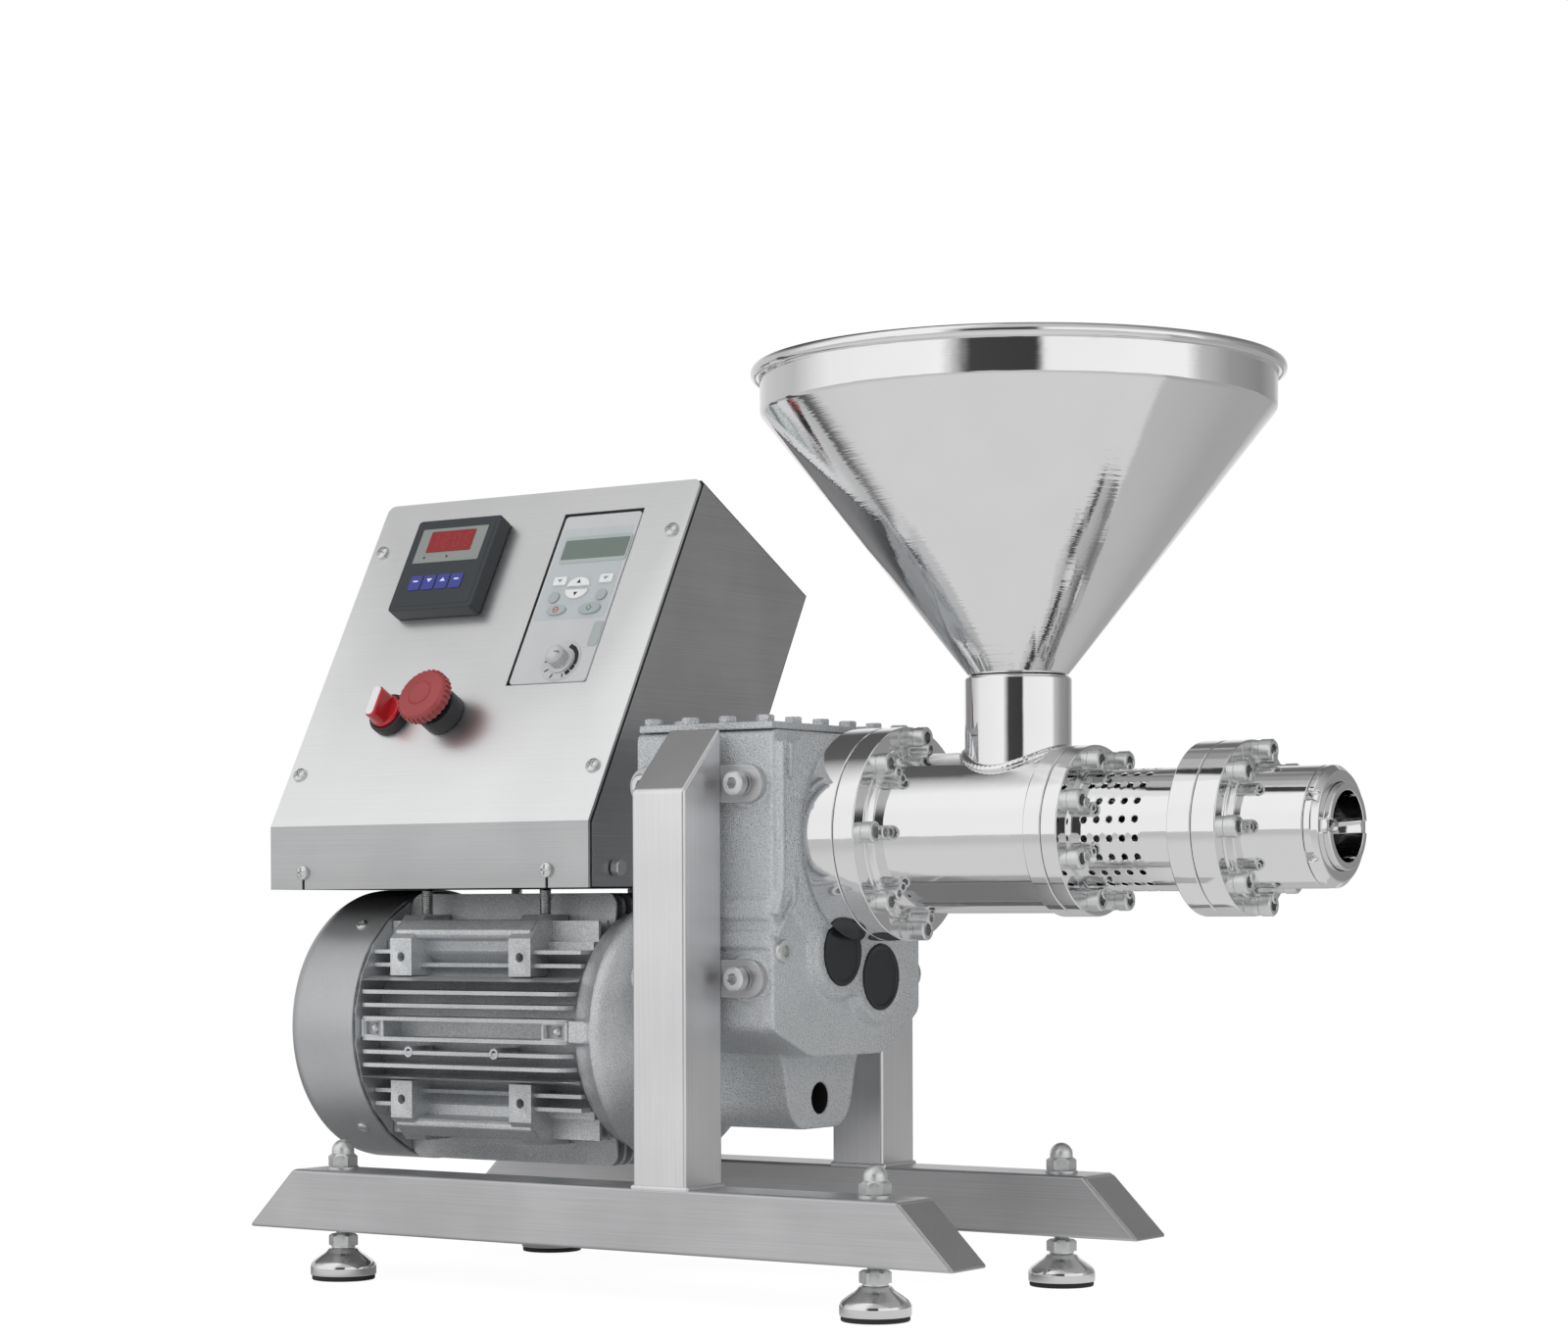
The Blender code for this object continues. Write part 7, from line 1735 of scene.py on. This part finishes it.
def studio_level(made):
    """The light that polished metal sees: tall cards and dark gaps round the press, by direction."""
    spot = made.node("ShaderNodeTexCoord", output="Object")
    parts = made.node("ShaderNodeSeparateXYZ", {}, {0: spot})
    x, y, z = (Shade(made, parts.socket.node.outputs[k]) for k in range(3))
    around = x.maths("ARCTAN2", y, x)
    part = around / (2 * math.pi) + (55.8 / 360 + 0.5)
    turned = part.maths("FRACT", part)
    low = made.node("ShaderNodeValToRGB", {"stops": LOW_STOPS}, {0: turned})
    high = made.node("ShaderNodeValToRGB", {"stops": HIGH_STOPS}, {0: turned})
    flat = x.maths("SQRT", x * x + y * y)
    rise = z.maths("ARCTAN2", z, flat)
    share = rise.eased(math.radians(22), math.radians(40))
    return made.node("ShaderNodeMix", {"data_type": "RGBA"}, {0: share, 6: low, 7: high}, 2)


def stops(*pairs):
    """Ramp stops from turns in degrees off the camera's side, counted towards the outlet."""
    return [((degrees + 180) / 360, level) for degrees, level in pairs]


LOW_STOPS = stops((-180, 0.90), (-150, 0.62), (-118, 0.55), (-92, 0.92), (-34, 1.0), (-22, 0.06),
                  (6, 0.05), (10, 0.95),
                  (72, 1.0), (80, 0.55), (98, 0.34), (125, 0.26), (145, 0.40), (165, 0.85), (180, 0.90))
HIGH_STOPS = stops((-180, 0.10), (-122, 0.12), (-100, 0.60), (-80, 1.0), (-40, 1.0), (-10, 0.60),
                   (60, 0.50), (105, 0.20),
                   (180, 0.16))


def table_level(made):
    """The light of the table, which the cone reflects: dark under the press and dimmer behind it."""
    spot = made.node("ShaderNodeTexCoord", output="Object")
    parts = made.node("ShaderNodeSeparateXYZ", {}, {0: spot})
    x, y, _ = (Shade(made, parts.socket.node.outputs[k]) for k in range(3))
    away = made.node("ShaderNodeVectorMath", {"operation": "DISTANCE"}, {0: spot, 1: (0.2, -0.2, 0)},
                     "Value")
    under = (1 - x.eased(0.02, 0.16)) * (1 - y.maths("ABSOLUTE", y).eased(0.08, 0.20))
    bright = 0.70 - away.eased(0.5, 1.4, 0.0, 0.12) - y.eased(0.15, 0.19, 0.0, 0.18) - under * 0.5
    return made.node("ShaderNodeCombineColor", {}, {0: bright, 1: bright, 2: bright})


def seen_directly(made):
    """One where the camera, gloss or glass looks at it and nought for the light it gives."""
    rays = made.nodes.new("ShaderNodeLightPath")
    seen = sum((Shade(made, rays.outputs[k]) for k in ("Is Glossy Ray", "Is Transmission Ray")),
               Shade(made, rays.outputs["Is Camera Ray"]))
    return seen.maths("MINIMUM", seen, 1.0)


def build_studio():
    """The pale floor, the white surroundings, the cards that metal reflects, and the lamps."""
    world = bpy.data.worlds.new("studio")
    bpy.context.scene.world = world
    world.use_nodes = True
    tree = world.node_tree
    back = tree.nodes["Background"]
    rays = tree.nodes.new("ShaderNodeLightPath")
    add = tree.nodes.new("ShaderNodeMath")
    add.operation = "MAXIMUM"
    tree.links.new(rays.outputs["Is Camera Ray"], add.inputs[0])
    tree.links.new(rays.outputs["Is Glossy Ray"], add.inputs[1])
    more = tree.nodes.new("ShaderNodeMath")
    more.operation = "MAXIMUM"
    tree.links.new(add.outputs[0], more.inputs[0])
    tree.links.new(rays.outputs["Is Transmission Ray"], more.inputs[1])
    scale = tree.nodes.new("ShaderNodeMapRange")
    scale.inputs["To Min"].default_value = 0.38
    scale.inputs["To Max"].default_value = 1.0
    tree.links.new(more.outputs[0], scale.inputs["Value"])
    tree.links.new(scale.outputs[0], back.inputs["Strength"])
    back.inputs["Color"].default_value = (1, 1, 1, 1)

    floor = Finish("floor", (0.92, 0.92, 0.92), 0.6)
    seen = seen_directly(floor)
    light = floor.node("ShaderNodeEmission", {}, {"Color": (1, 1, 1, 1), "Strength": 1.08})
    mixed = floor.node("ShaderNodeMixShader", {},
                       {0: seen * 0.88, 1: Shade(floor, floor.shader.outputs[0]), 2: light})
    floor.links.new(mixed.socket, floor.nodes["Material Output"].inputs["Surface"])
    bm = bmesh.new()
    bmesh.ops.create_circle(bm, cap_ends=True, segments=64, radius=6)
    ground = settled(bm, "floor", floor.material)
    ground.data.transform(Matrix.Translation((0, 0, -0.0002)))

    bm = bmesh.new()
    bmesh.ops.create_uvsphere(bm, u_segments=64, v_segments=32, radius=4)
    cards = settled(bm, "studio_cards", glowing("studio_cards", studio_level))
    cards.data.flip_normals()
    bm = bmesh.new()
    bmesh.ops.create_circle(bm, cap_ends=True, segments=64, radius=4)
    table = settled(bm, "studio_table", glowing("studio_table", table_level))
    table.data.transform(Matrix.Translation((0, 0, -0.0001)))
    for piece in (cards, table):
        piece.visible_camera = False
        piece.visible_diffuse = False
        piece.visible_transmission = False
        piece.visible_shadow = False
        piece.visible_volume_scatter = False

    lamps = (("key", (-0.9, -2.4, 1.7), 1.6, 32), ("fill", (2.1, -1.4, 1.5), 1.8, 16),
             ("top", (0.1, 0.5, 2.6), 2.0, 14))
    for name, place, size, power in lamps:
        lamp = bpy.data.lights.new(name, "AREA")
        lamp.shape = "DISK"
        lamp.size = size
        lamp.energy = power
        holder = bpy.data.objects.new(name, lamp)
        bpy.context.scene.collection.objects.link(holder)
        holder.location = place
        holder.rotation_euler = (Vector(place) - Vector((0, 0, 0.25))).to_track_quat("Z", "Y").to_euler()
        holder.visible_glossy = False


def build_camera():
    """The photograph's camera, worked out from the press's edges."""
    yaw, pitch, roll = (math.radians(a) for a in (CAMERA_YAW, CAMERA_PITCH, CAMERA_ROLL))
    forward = Vector((-math.sin(yaw) * math.cos(pitch), math.cos(yaw) * math.cos(pitch), math.sin(pitch)))
    right = Vector((math.cos(yaw), math.sin(yaw), 0))
    up = right.cross(forward)
    turned_right = math.cos(roll) * right + math.sin(roll) * up
    turned_up = math.cos(roll) * up - math.sin(roll) * right
    lens = bpy.data.cameras.new("camera")
    lens.lens = CAMERA_LENS
    lens.sensor_width = 36
    lens.shift_y = CAMERA_SHIFT_UP
    lens.clip_start = 0.01
    camera = bpy.data.objects.new("camera", lens)
    bpy.context.scene.collection.objects.link(camera)
    turn = Matrix((turned_right, turned_up, -forward)).transposed()
    camera.matrix_world = Matrix.Translation(CAMERA_PLACE + ORIGIN) @ turn.to_4x4()
    bpy.context.scene.camera = camera


bpy.context.scene.view_settings.view_transform = "Standard"
build_camera()
build_studio()
build_frame()
build_gearbox()
build_barrel()
fitted(hopper(), "hopper_body", "hopper", slot="polished_steel")
build_motor()
build_box()
build_panel()
paint_inner_pieces()
